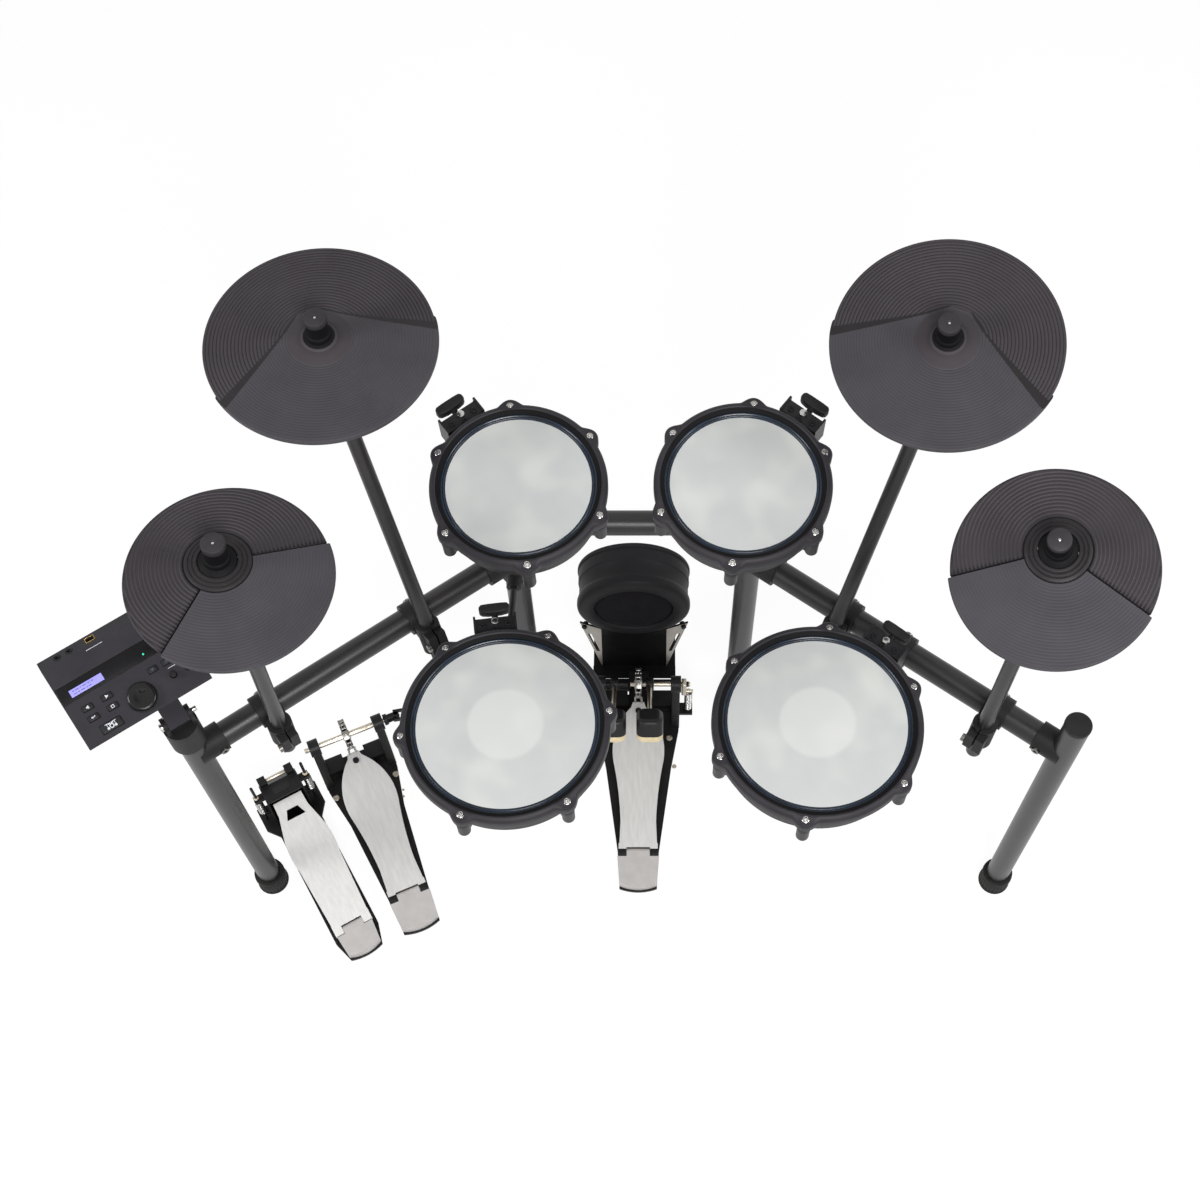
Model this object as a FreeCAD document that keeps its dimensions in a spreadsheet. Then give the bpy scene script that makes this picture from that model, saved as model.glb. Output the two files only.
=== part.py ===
"""Electronic drum kit on a tube rack, with a double bass-drum pedal and a hi-hat control pedal.

X points to the player's right, Y away from the player and Z up. The origin is on the floor,
under the middle of the kit's footprint. All lengths are millimetres, all angles degrees.
"""
import FreeCAD, Part
import math
import os

import Sketcher
from FreeCAD import Placement, Rotation, Vector

# Driving dimensions

SIZES = {
    # Middle of the footprint, measured from the middle of the rear legs
    "kit_middle_x": -75.08,
    "kit_middle_y": -174.38,
    # Clearances
    "fit_gap": 0.1,
    "turning_gap": 0.06,
    "loose_gap": 0.35,
    # Rack tubes; bar heights from the top of the rear legs, front legs from the side bars
    "tube_outer": 38.1,
    "tube_wall": 2.0,
    "front_leg_x": 624.0,
    "front_leg_y": -350.0,
    "front_leg_height": 96.0,
    "rear_leg_x": 183.0,
    "rear_leg_y": 0.0,
    "rear_leg_height": 724.0,
    "side_bar_height": -138.0,
    "side_bar_aim_x": 143.0,
    "side_bar_reach": 536.0,
    "cross_bar_height": -90.0,
    # Rack fittings
    "cap_thickness": 6.0,
    "cap_overlap": 0.6,
    "cap_plug_depth": 14.0,
    "foot_outer": 55.0,
    "foot_top": 51.0,
    "foot_height": 46.0,
    "foot_floor": 5.0,
    "foot_flutes": 18,
    "flute_radius": 2.0,
    "clamp_wall": 7.0,
    "corner_clamp_height": 42.0,
    "corner_socket_length": 44.0,
    "clamp_width": 36.0,
    "clamp_slot": 2.4,
    "bolt_radius": 3.5,
    "bolt_head": 6.0,
    # Cymbal arms
    "arm_outer": 22.2,
    "arm_offset": 42.0,
    "arm_collar_height": 46.0,
    "arm_tail": 62.0,
    "knuckle_drop": 62.0,
    "post_radius": 4.0,
    # Cymbals; heights of their rims from the side bars
    "swing_centre_drop": 18.0,
    "bell_radius": 38.0,
    "bell_wall": 5.7,
    "bell_hole": 9.0,
    "bell_cone_radius": 24.0,
    "seat_radius": 20.0,
    "seat_skirt": 9.0,
    "cap_flange": 17.0,
    "cap_tip": 12.5,
    "cap_top": 56.0,
    "crash_radius": 152.4,
    "crash_rim": 5.0,
    "crash_bell_edge": 42.0,
    "crash_front_step": 2.4,
    "small_radius": 127.0,
    "small_rim": 4.5,
    "small_bell_edge": 41.0,
    "small_offset": 20.0,
    "small_back_inset": 3.0,
    "sector_angle": 130.0,
    "sector_slit": 1.6,
    "sector_slit_depth": 2.0,
    "hi_hat_clamp_at": 117.0,
    "hi_hat_x": -476.0,
    "hi_hat_y": -326.0,
    "hi_hat_z": 488.0,
    "hi_hat_tilt": 4.8,
    "hi_hat_lean": 7.0,
    "hi_hat_facing": -48.5,
    "left_crash_clamp_at": 374.0,
    "left_crash_x": -396.0,
    "left_crash_y": 17.0,
    "left_crash_z": 487.0,
    "left_crash_tilt": 2.5,
    "left_crash_lean": -33.0,
    "left_crash_facing": -67.0,
    "right_crash_clamp_at": 374.0,
    "right_crash_x": 412.0,
    "right_crash_y": 18.0,
    "right_crash_z": 485.0,
    "right_crash_tilt": 11.6,
    "right_crash_lean": -126.0,
    "right_crash_facing": -111.0,
    "ride_clamp_at": 112.0,
    "ride_x": 513.0,
    "ride_y": -316.0,
    "ride_z": 492.0,
    "ride_tilt": 16.9,
    "ride_lean": -130.0,
    "ride_facing": -106.5,
    # Drum pads; heights of the heads and rod holders from the top of the rear legs
    "small_head_radius": 98.0,
    "large_head_radius": 122.0,
    "head_thickness": 0.8,
    "head_ring_inset": 1.5,
    "head_ring_outset": 11.0,
    "head_ring_depth": 12.0,
    "bearing_edge_wall": 4.0,
    "hoop_lip": 8.0,
    "hoop_width": 23.0,
    "hoop_depth": 15.0,
    "hoop_rise": 7.5,
    "lug_count": 6,
    "lug_radius": 12.0,
    "lug_setback": 2.0,
    "tower_radius": 9.0,
    "shell_outset": 12.0,
    "shell_depth": 60.0,
    "shell_wall": 4.0,
    "tension_bolt": 2.9,
    "tension_bolt_head": 4.8,
    "tension_bolt_length": 40.0,
    "trigger_base": 34.0,
    "trigger_tip": 15.0,
    "bracket_width": 58.0,
    "bracket_top": 7.0,
    "bracket_bottom": 52.0,
    "bracket_rod_out": 39.0,
    "bracket_past_rod": 8.0,
    "pad_rod": 10.5,
    "pad_rod_bend": 16.0,
    "wing_screw": 3.0,
    "wing_span": 44.0,
    "wing_drop": 24.0,
    "left_tom_x": -149.0,
    "left_tom_y": -90.0,
    "left_tom_z": 170.0,
    "left_tom_tilt": 5.5,
    "left_tom_bearing": 127.0,
    "right_tom_x": 154.0,
    "right_tom_y": -90.0,
    "right_tom_z": 175.0,
    "right_tom_tilt": 5.5,
    "right_tom_bearing": 52.0,
    "tom_holder_height": -34.0,
    "snare_x": -170.0,
    "snare_y": -362.0,
    "snare_z": -13.0,
    "snare_tilt": 0.0,
    "snare_bearing": 97.5,
    "snare_holder_height": -224.0,
    "floor_tom_x": 257.0,
    "floor_tom_y": -365.0,
    "floor_tom_z": 1.0,
    "floor_tom_tilt": 0.0,
    "floor_tom_bearing": 51.0,
    # Sound module; its pivot's height from the top of the left leg
    "module_turn": 35.25,
    "module_rest_tilt": 20.0,
    "module_pivot_height": 20.0,
    "module_pivot_radius": 12.0,
    "module_lift": 14.0,
    "module_width": 185.0,
    "module_depth": 124.0,
    "module_height": 36.0,
    "module_back_slope": 16.0,
    "module_back_drop": 15.0,
    "module_front_undercut": 9.0,
    "module_left": 117.0,
    "module_ahead": 16.5,
    "module_cup_depth": 44.0,
    "cheek_gap": 32.0,
    "cheek_thickness": 6.0,
    "window_from": 68.0,
    "window_to": 93.5,
    "window_depth": 2.0,
    "dial_radius": 19.0,
    "dial_height": 9.0,
    "dial_u": 93.5,
    "dial_v": 26.3,
    "knob_radius": 4.6,
    "knob_height": 8.0,
    "knob_near_u": 143.7,
    "knob_far_u": 165.5,
    "knob_v": 30.7,
    "control_depth": 8.0,
    "button_rise": 2.2,
    "button_travel": 1.2,
    "small_button_width": 15.0,
    "small_button_depth": 8.0,
    "button_left_u": 26.5,
    "button_right_u": 55.0,
    "button_upper_v": 51.5,
    "button_lower_v": 35.7,
    "wide_button_width": 30.0,
    "wide_button_depth": 13.0,
    "wide_button_u": 41.0,
    "wide_button_v": 14.7,
    "lit_button_width": 13.0,
    "lit_button_depth": 8.0,
    "lit_near_u": 124.0,
    "lit_far_u": 145.0,
    "lit_v": 51.5,
    "jack_bore": 3.2,
    "jack_depth": 14.0,
    "jack_first_u": 26.7,
    "jack_second_u": 44.3,
    "data_port_u": 75.5,
    "data_port_width": 12.0,
    "data_port_height": 9.0,
    # Bass-drum pad
    "kick_face_y": 60.0,
    "kick_centre_height": 225.0,
    "kick_radius": 98.0,
    "kick_depth": 81.0,
    "kick_rim_depth": 22.0,
    "kick_waist": 94.5,
    "kick_disc_radius": 68.0,
    "kick_disc_depth": 14.0,
    "kick_disc_recess": 3.0,
    "tower_width": 116.0,
    "tower_depth": 62.0,
    "tower_front_y": 46.0,
    "tower_sheet": 3.0,
    "tower_height": 168.0,
    "tower_base_length": 112.0,
    "tower_lip_length": 20.0,
    "tower_lip_width": 150.0,
    "tower_lip_height": 22.0,
    "stay_out": 96.0,
    "stay_back": 36.0,
    "stay_height": 138.0,
    "stay_slot": 7.0,
    "stay_knob": 4.5,
    # Bass-drum pedals
    "main_pedal_x": 8.0,
    "main_pedal_y": -34.0,
    "slave_pedal_x": -497.0,
    "slave_pedal_y": -131.0,
    "slave_pedal_turn": 24.0,
    "axle_height": 125.0,
    "axle_radius": 4.2,
    "cam_radius": 22.0,
    "cam_width": 11.0,
    "main_post_spread": 66.0,
    "slave_post_spread": 58.0,
    "post_width": 14.0,
    "post_head": 15.0,
    "post_foot": 46.0,
    "base_thickness": 5.0,
    "base_front": 34.0,
    "slave_base_front": 17.0,
    "base_half_width": 58.0,
    "hinge_setback": 272.0,
    "hinge_height": 17.0,
    "hinge_pin": 3.0,
    "hinge_knuckle": 7.0,
    "hinge_half_width": 34.0,
    "heel_tongue": 20.0,
    "heel_length": 64.0,
    "heel_half_width": 36.0,
    "footboard_length": 268.0,
    "footboard_thickness": 5.0,
    "footboard_widest": 44.0,
    "footboard_waist": 31.0,
    "footboard_toe": 13.0,
    "footboard_rise": 9.4,
    "beater_length": 148.0,
    "beater_rod": 4.0,
    "beater_hub": 11.0,
    "beater_rest": 52.4,
    "beater_width": 45.0,
    "beater_tall": 50.0,
    "beater_corner": 12.0,
    "beater_plastic": 22.0,
    "beater_felt": 22.0,
    "primary_beater_at": 20.0,
    "secondary_beater_at": -42.0,
    "axle_split": -14.0,
    "coupling_out": 34.0,
    "yoke_gap": 6.5,
    "yoke_thickness": 3.5,
    "yoke_width": 8.0,
    "yoke_length": 18.0,
    "spider_radius": 6.0,
    "drive_shaft_radius": 6.5,
    "chain_pitch": 9.0,
    "chain_link_width": 9.0,
    "chain_plate": 1.6,
    "chain_plate_height": 6.0,
    "chain_roller": 2.2,
    "chain_lift": 1.0,
    "spring_stud": 3.0,
    "spring_tab_height": 32.0,
    "spring_tab_thickness": 6.0,
    "spring_arm": 22.0,
    "spring_arm_turn": 8.0,
    # Hi-hat control pedal
    "hat_pedal_x": -477.4,
    "hat_pedal_y": -435.7,
    "hat_pedal_turn": 30.3,
    "hat_base_half": 44.0,
    "hat_board_length": 246.0,
    "hat_board_rise": 17.0,
    "hat_board_toe": 27.0,
    "hat_board_widest": 40.0,
    "hat_cover_from": 232.0,
    "hat_cover_to": 278.0,
    "hat_cover_half": 34.0,
    "hat_cover_height": 110.0,
    "hat_ear_rise": 13.0,
    "hat_rod_height": 148.0,
    "hat_rail": 4.5,
    "hat_cover_wall": 3.0,
    "hat_heel_length": 52.0,
    "hat_heel_half": 32.5,
    "hat_tongue": 18.0,
    # Springs
    "spring_wire": 2.0,
    "spring_mean_radius": 6.0,
    "spring_seat_gap": 0.3,
    "kick_spring_turns": 20,
    "kick_spring_out": 15.5,
    "kick_spring_ahead": -3.0,
    "hat_spring_turns": 12,
    "hat_spring_pitch": 4.0,
    "hat_spring_bottom": 42.0,
    "hat_spring_out": 12.0,
}

doc = FreeCAD.newDocument("ElectronicDrumKit")
sheet = doc.addObject("Spreadsheet::Sheet", "Sizes")
for row, (alias, number) in enumerate(SIZES.items(), start=1):
    sheet.set(f"A{row}", alias)
    sheet.set(f"B{row}", str(number))
    sheet.setAlias(f"B{row}", alias)
doc.recompute()


class Size(float):
    """A number that remembers the sheet formula it comes from."""

    def __new__(cls, number, formula):
        size = float.__new__(cls, number)
        size.formula = formula
        return size

    def __add__(self, other):
        return Size(float(self) + float(other), f"({self.formula} + {formula_of(other)})")

    def __radd__(self, other):
        return Size(float(other) + float(self), f"({formula_of(other)} + {self.formula})")

    def __sub__(self, other):
        return Size(float(self) - float(other), f"({self.formula} - {formula_of(other)})")

    def __rsub__(self, other):
        return Size(float(other) - float(self), f"({formula_of(other)} - {self.formula})")

    def __mul__(self, other):
        return Size(float(self) * float(other), f"({self.formula} * {formula_of(other)})")

    def __rmul__(self, other):
        return self * other

    def __truediv__(self, other):
        return Size(float(self) / float(other), f"({self.formula} / {formula_of(other)})")

    def __neg__(self):
        return Size(-float(self), f"(0 - {self.formula})")


def formula_of(value):
    """The sheet formula of a size, or the plain number itself."""
    return value.formula if isinstance(value, Size) else repr(float(value))


S = {alias: Size(number, f"Sizes.{alias}") for alias, number in SIZES.items()}
for alias in ("side_bar_height", "cross_bar_height", "tom_holder_height", "snare_holder_height",
              "left_tom_z", "right_tom_z", "snare_z", "floor_tom_z"):
    S[alias] = S["rear_leg_height"] + S[alias]
for alias in ("front_leg_height", "hi_hat_z", "left_crash_z", "right_crash_z", "ride_z"):
    S[alias] = S["side_bar_height"] + S[alias]
S["module_pivot_height"] = S["front_leg_height"] + S["module_pivot_height"]
HERE = Placement()
UP = Vector(0, 0, 1)
RIGHT = Vector(1, 0, 0)
NODES = []


# Small tools for shapes

def bind(thing, **sizes):
    """Set properties and tie each to its formula in the sheet."""
    for name, size in sizes.items():
        setattr(thing, name, float(size))
        if isinstance(size, Size):
            thing.setExpression(name, size.formula)
    return thing


def at(x, y, z, rotation=Rotation()):
    return Placement(Vector(float(x), float(y), float(z)), rotation)


def spot(x, y, z):
    """A point of the kit, from coordinates measured at the middle of the rear legs."""
    return Vector(float(x - S["kit_middle_x"]), float(y - S["kit_middle_y"]), float(z))


def aim(origin, direction):
    """A placement whose Z axis points along a direction."""
    return Placement(Vector(origin), Rotation(UP, Vector(direction)))


def frame(origin, x_axis, y_axis):
    """A placement from its X and Y axes."""
    return Placement(Vector(origin), Rotation(x_axis, y_axis, x_axis.cross(y_axis), "ZXY"))


def bearing(angle):
    """The level direction at an angle from X."""
    turn = math.radians(float(angle))
    return Vector(math.cos(turn), math.sin(turn), 0)


def cylinder(radius, height, place=HERE):
    thing = bind(doc.addObject("Part::Cylinder", "Cylinder"), Radius=radius, Height=height)
    thing.Placement = place
    return thing


def cone(bottom, top, height, place=HERE):
    thing = doc.addObject("Part::Cone", "Cone")
    bind(thing, Radius1=bottom, Radius2=top, Height=height)
    thing.Placement = place
    return thing


def ball(radius, place=HERE):
    thing = bind(doc.addObject("Part::Sphere", "Ball"), Radius=radius)
    thing.Placement = place
    return thing


def block(length, width, height, place=HERE):
    """A block centred on its place in X and Y, standing on it in Z."""
    thing = doc.addObject("Part::Box", "Block")
    bind(thing, Length=length, Width=width, Height=height)
    thing.Placement = place.multiply(at(-length / 2, -width / 2, 0))
    return thing


def hexagon(radius, height, place=HERE):
    thing = doc.addObject("Part::Prism", "Hexagon")
    thing.Polygon = 6
    bind(thing, Circumradius=radius, Height=height)
    thing.Placement = place
    return thing


def fuse(*things):
    thing = doc.addObject("Part::MultiFuse", "Fused")
    thing.Shapes = list(things)
    thing.Refine = True
    return thing


def collect(*things):
    """A group of separate solids."""
    thing = doc.addObject("Part::Compound", "Group")
    thing.Links = list(things)
    return thing


def cut(base, *tools):
    thing = doc.addObject("Part::Cut", "Cut")
    thing.Base = base
    thing.Tool = tools[0] if len(tools) == 1 else fuse(*tools)
    return thing


def shared(first, second):
    thing = doc.addObject("Part::Common", "Shared")
    thing.Base = first
    thing.Tool = second
    return thing


def copy(source, place):
    """Another instance of a part at its own place."""
    link = doc.addObject("App::Link", "Copy")
    link.LinkedObject = source
    link.Placement = place
    return link


def node(label, thing, place=None):
    """Name a finished sub-part and put it in its place."""
    if place is not None:
        thing.Placement = place
    thing.Label = label
    NODES.append(thing)
    return thing


def tube(outer, wall, length, place=HERE):
    thing = cut(cylinder(outer / 2, length), cylinder(outer / 2 - wall, length))
    thing.Placement = place
    return thing


def draw(sketch, corners):
    """Draw a closed outline of (x, y) corners; a third item is a point that the next edge arcs through."""
    count = len(corners)
    ends = []
    for index, corner in enumerate(corners):
        start = Vector(float(corner[0]), float(corner[1]), 0)
        following = corners[(index + 1) % count]
        end = Vector(float(following[0]), float(following[1]), 0)
        if len(corner) == 3:
            middle = Vector(float(corner[2][0]), float(corner[2][1]), 0)
            clockwise = (middle - start).cross(end - middle).z < 0
            sketch.addGeometry(Part.Arc(end, middle, start) if clockwise else Part.Arc(start, middle, end))
        else:
            sketch.addGeometry(Part.LineSegment(start, end))
        drawn = sketch.Geometry[index]
        ends.append((1, 2) if drawn.StartPoint.isEqual(start, 1e-6) else (2, 1))
    for index, corner in enumerate(corners):
        following = (index + 1) % count
        sketch.addConstraint(
            Sketcher.Constraint("Coincident", index, ends[index][1], following, ends[following][0]))
        for kind, size in (("DistanceX", corner[0]), ("DistanceY", corner[1])):
            number = sketch.addConstraint(
                Sketcher.Constraint(kind, -1, 1, index, ends[index][0], float(size)))
            if isinstance(size, Size):
                sketch.setExpression(f"Constraints[{number}]", size.formula)


def sketched_body(name, plane, corners):
    """A body with one closed sketch on one of its own planes."""
    body = doc.addObject("PartDesign::Body", name)
    sketch = body.newObject("Sketcher::SketchObject", f"{name}Outline")
    support = [feature for feature in body.Origin.OriginFeatures if feature.Role == plane][0]
    sketch.AttachmentSupport = (support, [""])
    sketch.MapMode = "FlatFace"
    draw(sketch, corners)
    return body, sketch


def turned(name, corners):
    """A body turned about Z from an outline of (radius, height) corners."""
    body, sketch = sketched_body(name, "XZ_Plane", corners)
    turning = body.newObject("PartDesign::Revolution", f"{name}Turning")
    turning.Profile = sketch
    turning.ReferenceAxis = (sketch, ["V_Axis"])
    turning.Angle = 360
    return body


def plate(name, corners, thickness, plane="XY_Plane", middle=False):
    """A body padded from an outline; middle pads it to both sides of the plane."""
    body, sketch = sketched_body(name, plane, corners)
    pad = body.newObject("PartDesign::Pad", f"{name}Pad")
    pad.Profile = sketch
    bind(pad, Length=thickness)
    pad.Midplane = middle
    return body


def mirrored(half):
    """A whole outline from its right half, listed from the bottom up."""
    left = []
    for index in range(len(half) - 1, -1, -1):
        corner = (-half[index][0], half[index][1])
        before = half[index - 1] if index > 0 else ()
        if len(before) == 3:
            corner = corner + ((-before[2][0], before[2][1]),)
        left.append(corner)
    return list(half) + left


def sphere_height(radius, out):
    """Height of a ball's surface above its centre, at a distance from its axis."""
    number = math.sqrt(float(radius) ** 2 - float(out) ** 2)
    return Size(number, f"sqrt({formula_of(radius)}^2 - {formula_of(out)}^2)")


# Rack

class Side:
    """One side bar of the rack: where it starts and which ways it runs and faces."""

    def __init__(self, sign):
        self.start = spot(sign * S["front_leg_x"], S["front_leg_y"], S["side_bar_height"])
        target = spot(sign * S["side_bar_aim_x"], S["rear_leg_y"], S["side_bar_height"])
        self.along = (target - self.start).normalize()
        self.inward = Vector(sign * -self.along.y, sign * self.along.x, 0)

    def point(self, distance):
        return self.start + self.along * float(distance)

    def clamp_frame(self, distance):
        """Axes of a clamp: X along the bar, Y to the inside, Z up."""
        return frame(self.point(distance), self.inward.cross(UP), self.inward)


SIDES = {-1: Side(-1), 1: Side(1)}
TUBE = S["tube_outer"] / 2
BORE = TUBE + S["fit_gap"]
CLAMP = TUBE + S["clamp_wall"]
FRONT_LEGS = {sign: spot(sign * S["front_leg_x"], S["front_leg_y"], 0) for sign in SIDES}
REAR_LEGS = {sign: spot(sign * S["rear_leg_x"], S["rear_leg_y"], 0) for sign in SIDES}


def build_legs():
    front_length = S["front_leg_height"] - S["cap_thickness"] - S["foot_floor"]
    rear_length = S["rear_leg_height"] - S["cap_thickness"] - S["foot_floor"]
    front = tube(S["tube_outer"], S["tube_wall"], front_length)
    rear = tube(S["tube_outer"], S["tube_wall"], rear_length)
    lift = Vector(0, 0, float(S["foot_floor"]))
    legs = [copy(front, Placement(leg + lift, Rotation())) for leg in FRONT_LEGS.values()]
    legs += [copy(rear, Placement(leg + lift, Rotation())) for leg in REAR_LEGS.values()]
    node("rack_legs", collect(*legs))


def build_caps():
    plug = TUBE - S["tube_wall"] - S["fit_gap"]
    rim = TUBE + S["cap_overlap"]
    edge = 1.0
    cap = turned("LegCap", [
        (0, -S["cap_plug_depth"]), (plug, -S["cap_plug_depth"]), (plug, 0), (rim, 0),
        (rim, S["cap_thickness"] - edge), (rim - edge, S["cap_thickness"]), (0, S["cap_thickness"])])
    front_top = Vector(0, 0, float(S["front_leg_height"] - S["cap_thickness"]))
    rear_top = Vector(0, 0, float(S["rear_leg_height"] - S["cap_thickness"]))
    places = [leg + front_top for leg in FRONT_LEGS.values()]
    places += [leg + rear_top for leg in REAR_LEGS.values()]
    node("leg_caps", collect(*[copy(cap, Placement(place, Rotation())) for place in places]))


def build_feet():
    cup = turned("LegFoot", [
        (0, 0), (S["foot_outer"] / 2, 0), (S["foot_outer"] / 2, S["foot_height"] * 0.25),
        (S["foot_top"] / 2, S["foot_height"]), (BORE, S["foot_height"]),
        (BORE, S["foot_floor"]), (0, S["foot_floor"])])
    count = int(S["foot_flutes"])
    flutes = []
    for index in range(count):
        edge = bearing(360.0 * index / count) * float(S["foot_outer"] / 2 + S["flute_radius"] * 0.4)
        flutes.append(cylinder(S["flute_radius"], S["foot_height"] * 0.62,
                               at(edge.x, edge.y, S["foot_height"] * 0.2)))
    foot = cut(cup, collect(*flutes))
    places = list(FRONT_LEGS.values()) + list(REAR_LEGS.values())
    node("leg_feet", collect(*[copy(foot, Placement(place, Rotation())) for place in places]))


def build_bars():
    start = CLAMP - 2
    side_length = S["side_bar_reach"] - start
    side_tube = tube(S["tube_outer"], S["tube_wall"], side_length)
    node("side_bars", collect(*[copy(side_tube, aim(side.point(start), side.along))
                                for side in SIDES.values()]))
    cross_length = 2 * (S["rear_leg_x"] - start)
    left = REAR_LEGS[-1] + Vector(float(start), 0, float(S["cross_bar_height"]))
    node("cross_bar", tube(S["tube_outer"], S["tube_wall"], cross_length), aim(left, RIGHT))


def build_corner_clamps():
    """Saddles at the front legs and split collars at the rear legs."""
    height = S["corner_clamp_height"]
    long_leg = S["rear_leg_height"]
    clamps = []
    bolts = []
    for sign, side in SIDES.items():
        saddle = cylinder(CLAMP - 3, S["corner_socket_length"], aim(side.point(0), side.along))
        leg_bore = cylinder(BORE, long_leg, Placement(FRONT_LEGS[sign], Rotation()))
        bar_bore = cylinder(BORE, S["side_bar_reach"], aim(side.point(CLAMP - 2), side.along))
        far_side = block(long_leg, long_leg, long_leg, frame(
            side.point(-long_leg / 2) - UP * float(long_leg / 2), side.along, side.inward))
        screw = aim(side.point(S["corner_socket_length"] - 10) + side.inward * float(CLAMP - 5), side.inward)
        clamps.append(cut(saddle, leg_bore, bar_bore, far_side, counterbore(screw)))
        bolts.append(bolt(screw))
        low = Vector(0, 0, float(S["side_bar_height"] - height / 2))
        collar = cylinder(CLAMP, height, Placement(REAR_LEGS[sign] + low, Rotation()))
        socket = cylinder(CLAMP - 2, S["corner_socket_length"], aim(
            side.point(S["side_bar_reach"] - S["corner_socket_length"] + 4), side.along))
        rear_bore = cylinder(BORE, long_leg, Placement(REAR_LEGS[sign], Rotation()))
        bar_hole = cylinder(BORE, S["side_bar_reach"] - 4, aim(side.point(4), side.along))
        clamps.append(cut(fuse(collar, socket), rear_bore, bar_hole))
        high = Vector(0, 0, float(S["cross_bar_height"] - height / 2 + 1))
        inner = Vector(-sign, 0, 0)
        upper = cylinder(CLAMP - 1, height - 2, Placement(REAR_LEGS[sign] + high, Rotation()))
        level = REAR_LEGS[sign] + Vector(0, 0, float(S["cross_bar_height"]))
        cross_socket = cylinder(CLAMP - 2, S["corner_socket_length"], aim(level, inner))
        cross_bore = cylinder(BORE, S["rear_leg_x"], aim(level + inner * float(CLAMP - 2), inner))
        rear_again = cylinder(BORE, long_leg, Placement(REAR_LEGS[sign], Rotation()))
        outer = aim(level - inner * float(CLAMP - 3), inner * -1)
        clamps.append(cut(fuse(upper, cross_socket), rear_again, cross_bore, counterbore(outer)))
        bolts.append(bolt(outer))
    node("corner_clamps", collect(*clamps))
    return bolts


def counterbore(place):
    """The seat of a clamp bolt, open outwards."""
    return cylinder(S["bolt_head"] + S["fit_gap"], S["bolt_head"] * 4, place)


def bolt(place):
    """A round-headed clamp bolt with a hexagon recess, its head standing on its place."""
    head = cylinder(S["bolt_head"], S["bolt_head"] * 0.8)
    socket = hexagon(S["bolt_head"] * 0.5, S["bolt_head"], at(0, 0, S["bolt_head"] * 0.4))
    thing = cut(head, socket)
    thing.Placement = place
    return thing


# Cymbals and their arms

class Cymbal:
    """One cymbal: its frame at the bell axis, and the arm that carries it."""

    def __init__(self, name, sign, small):
        self.name = name
        self.small = small
        self.side = SIDES[sign]
        self.clamp_at = S[f"{name}_clamp_at"]
        tilt = math.radians(float(S[f"{name}_tilt"]))
        normal = bearing(S[f"{name}_lean"]) * math.sin(tilt) + UP * math.cos(tilt)
        facing = bearing(S[f"{name}_facing"])
        back = ((facing - normal * facing.dot(normal)) * -1).normalize()
        rim = spot(S[f"{name}_x"], S[f"{name}_y"], S[f"{name}_z"])
        offset = S["small_offset"] if small else 0.0
        self.place = frame(rim + back * float(offset), back.cross(normal), back)
        self.normal = normal
        self.knuckle = self.place.Base - normal * float(S["knuckle_drop"])
        self.grip = self.side.point(self.clamp_at) + self.side.inward * float(S["arm_offset"])
        self.arm = (self.knuckle - self.grip).normalize()


CYMBALS = [
    Cymbal("hi_hat", -1, True),
    Cymbal("left_crash", -1, False),
    Cymbal("right_crash", 1, False),
    Cymbal("ride", 1, True),
]
ARM = S["arm_outer"] / 2


def bell_outline(edge_radius, edge_top, edge_bottom):
    """The bell's ball-shaped crown and recess, out to where the bow begins."""
    drop = S["swing_centre_drop"]
    crown = S["bell_radius"]
    recess = S["bell_radius"] - S["bell_wall"]
    hole = S["bell_hole"]
    shoulder = S["bell_cone_radius"]
    middle = (hole + shoulder) / 2
    top = [
        (hole, sphere_height(crown, hole) - drop,
         (middle, sphere_height(crown, middle) - drop)),
        (shoulder, sphere_height(crown, shoulder) - drop),
        (edge_radius, edge_top)]
    bottom = [
        (edge_radius, edge_bottom),
        (shoulder, sphere_height(recess, shoulder) - drop,
         (middle, sphere_height(recess, middle) - drop)),
        (hole, sphere_height(recess, hole) - drop)]
    return top, bottom


def crash_disc(name, lift):
    """The whole turned disc of a crash, lifted for its thicker front."""
    edge = S["crash_bell_edge"]
    rim = S["crash_radius"]
    top, bottom = bell_outline(edge, 7.0 + lift, 1.2)
    lip = 5.0
    outline = top + [(rim - lip, 0.6 + lift), (rim, lift - 0.6), (rim, -S["crash_rim"]),
                     (rim - lip, -S["crash_rim"])] + bottom
    return turned(name, outline)


def crash():
    """A crash: a low rear half and a raised front between two tangent edges of the bell."""
    low = crash_disc("CrashDisc", 0.0)
    high = crash_disc("CrashFront", S["crash_front_step"])
    wide = S["crash_radius"] + 8
    bell = S["crash_bell_edge"]
    front = plate("CrashFrontField", [
        (-wide, -wide), (wide, -wide), (wide, -22.0), (bell * 0.32, bell * 0.8),
        (bell * -0.32, bell * 0.8), (-wide, -22.0)], wide, middle=True)
    return fuse(low, shared(high, front))


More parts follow.
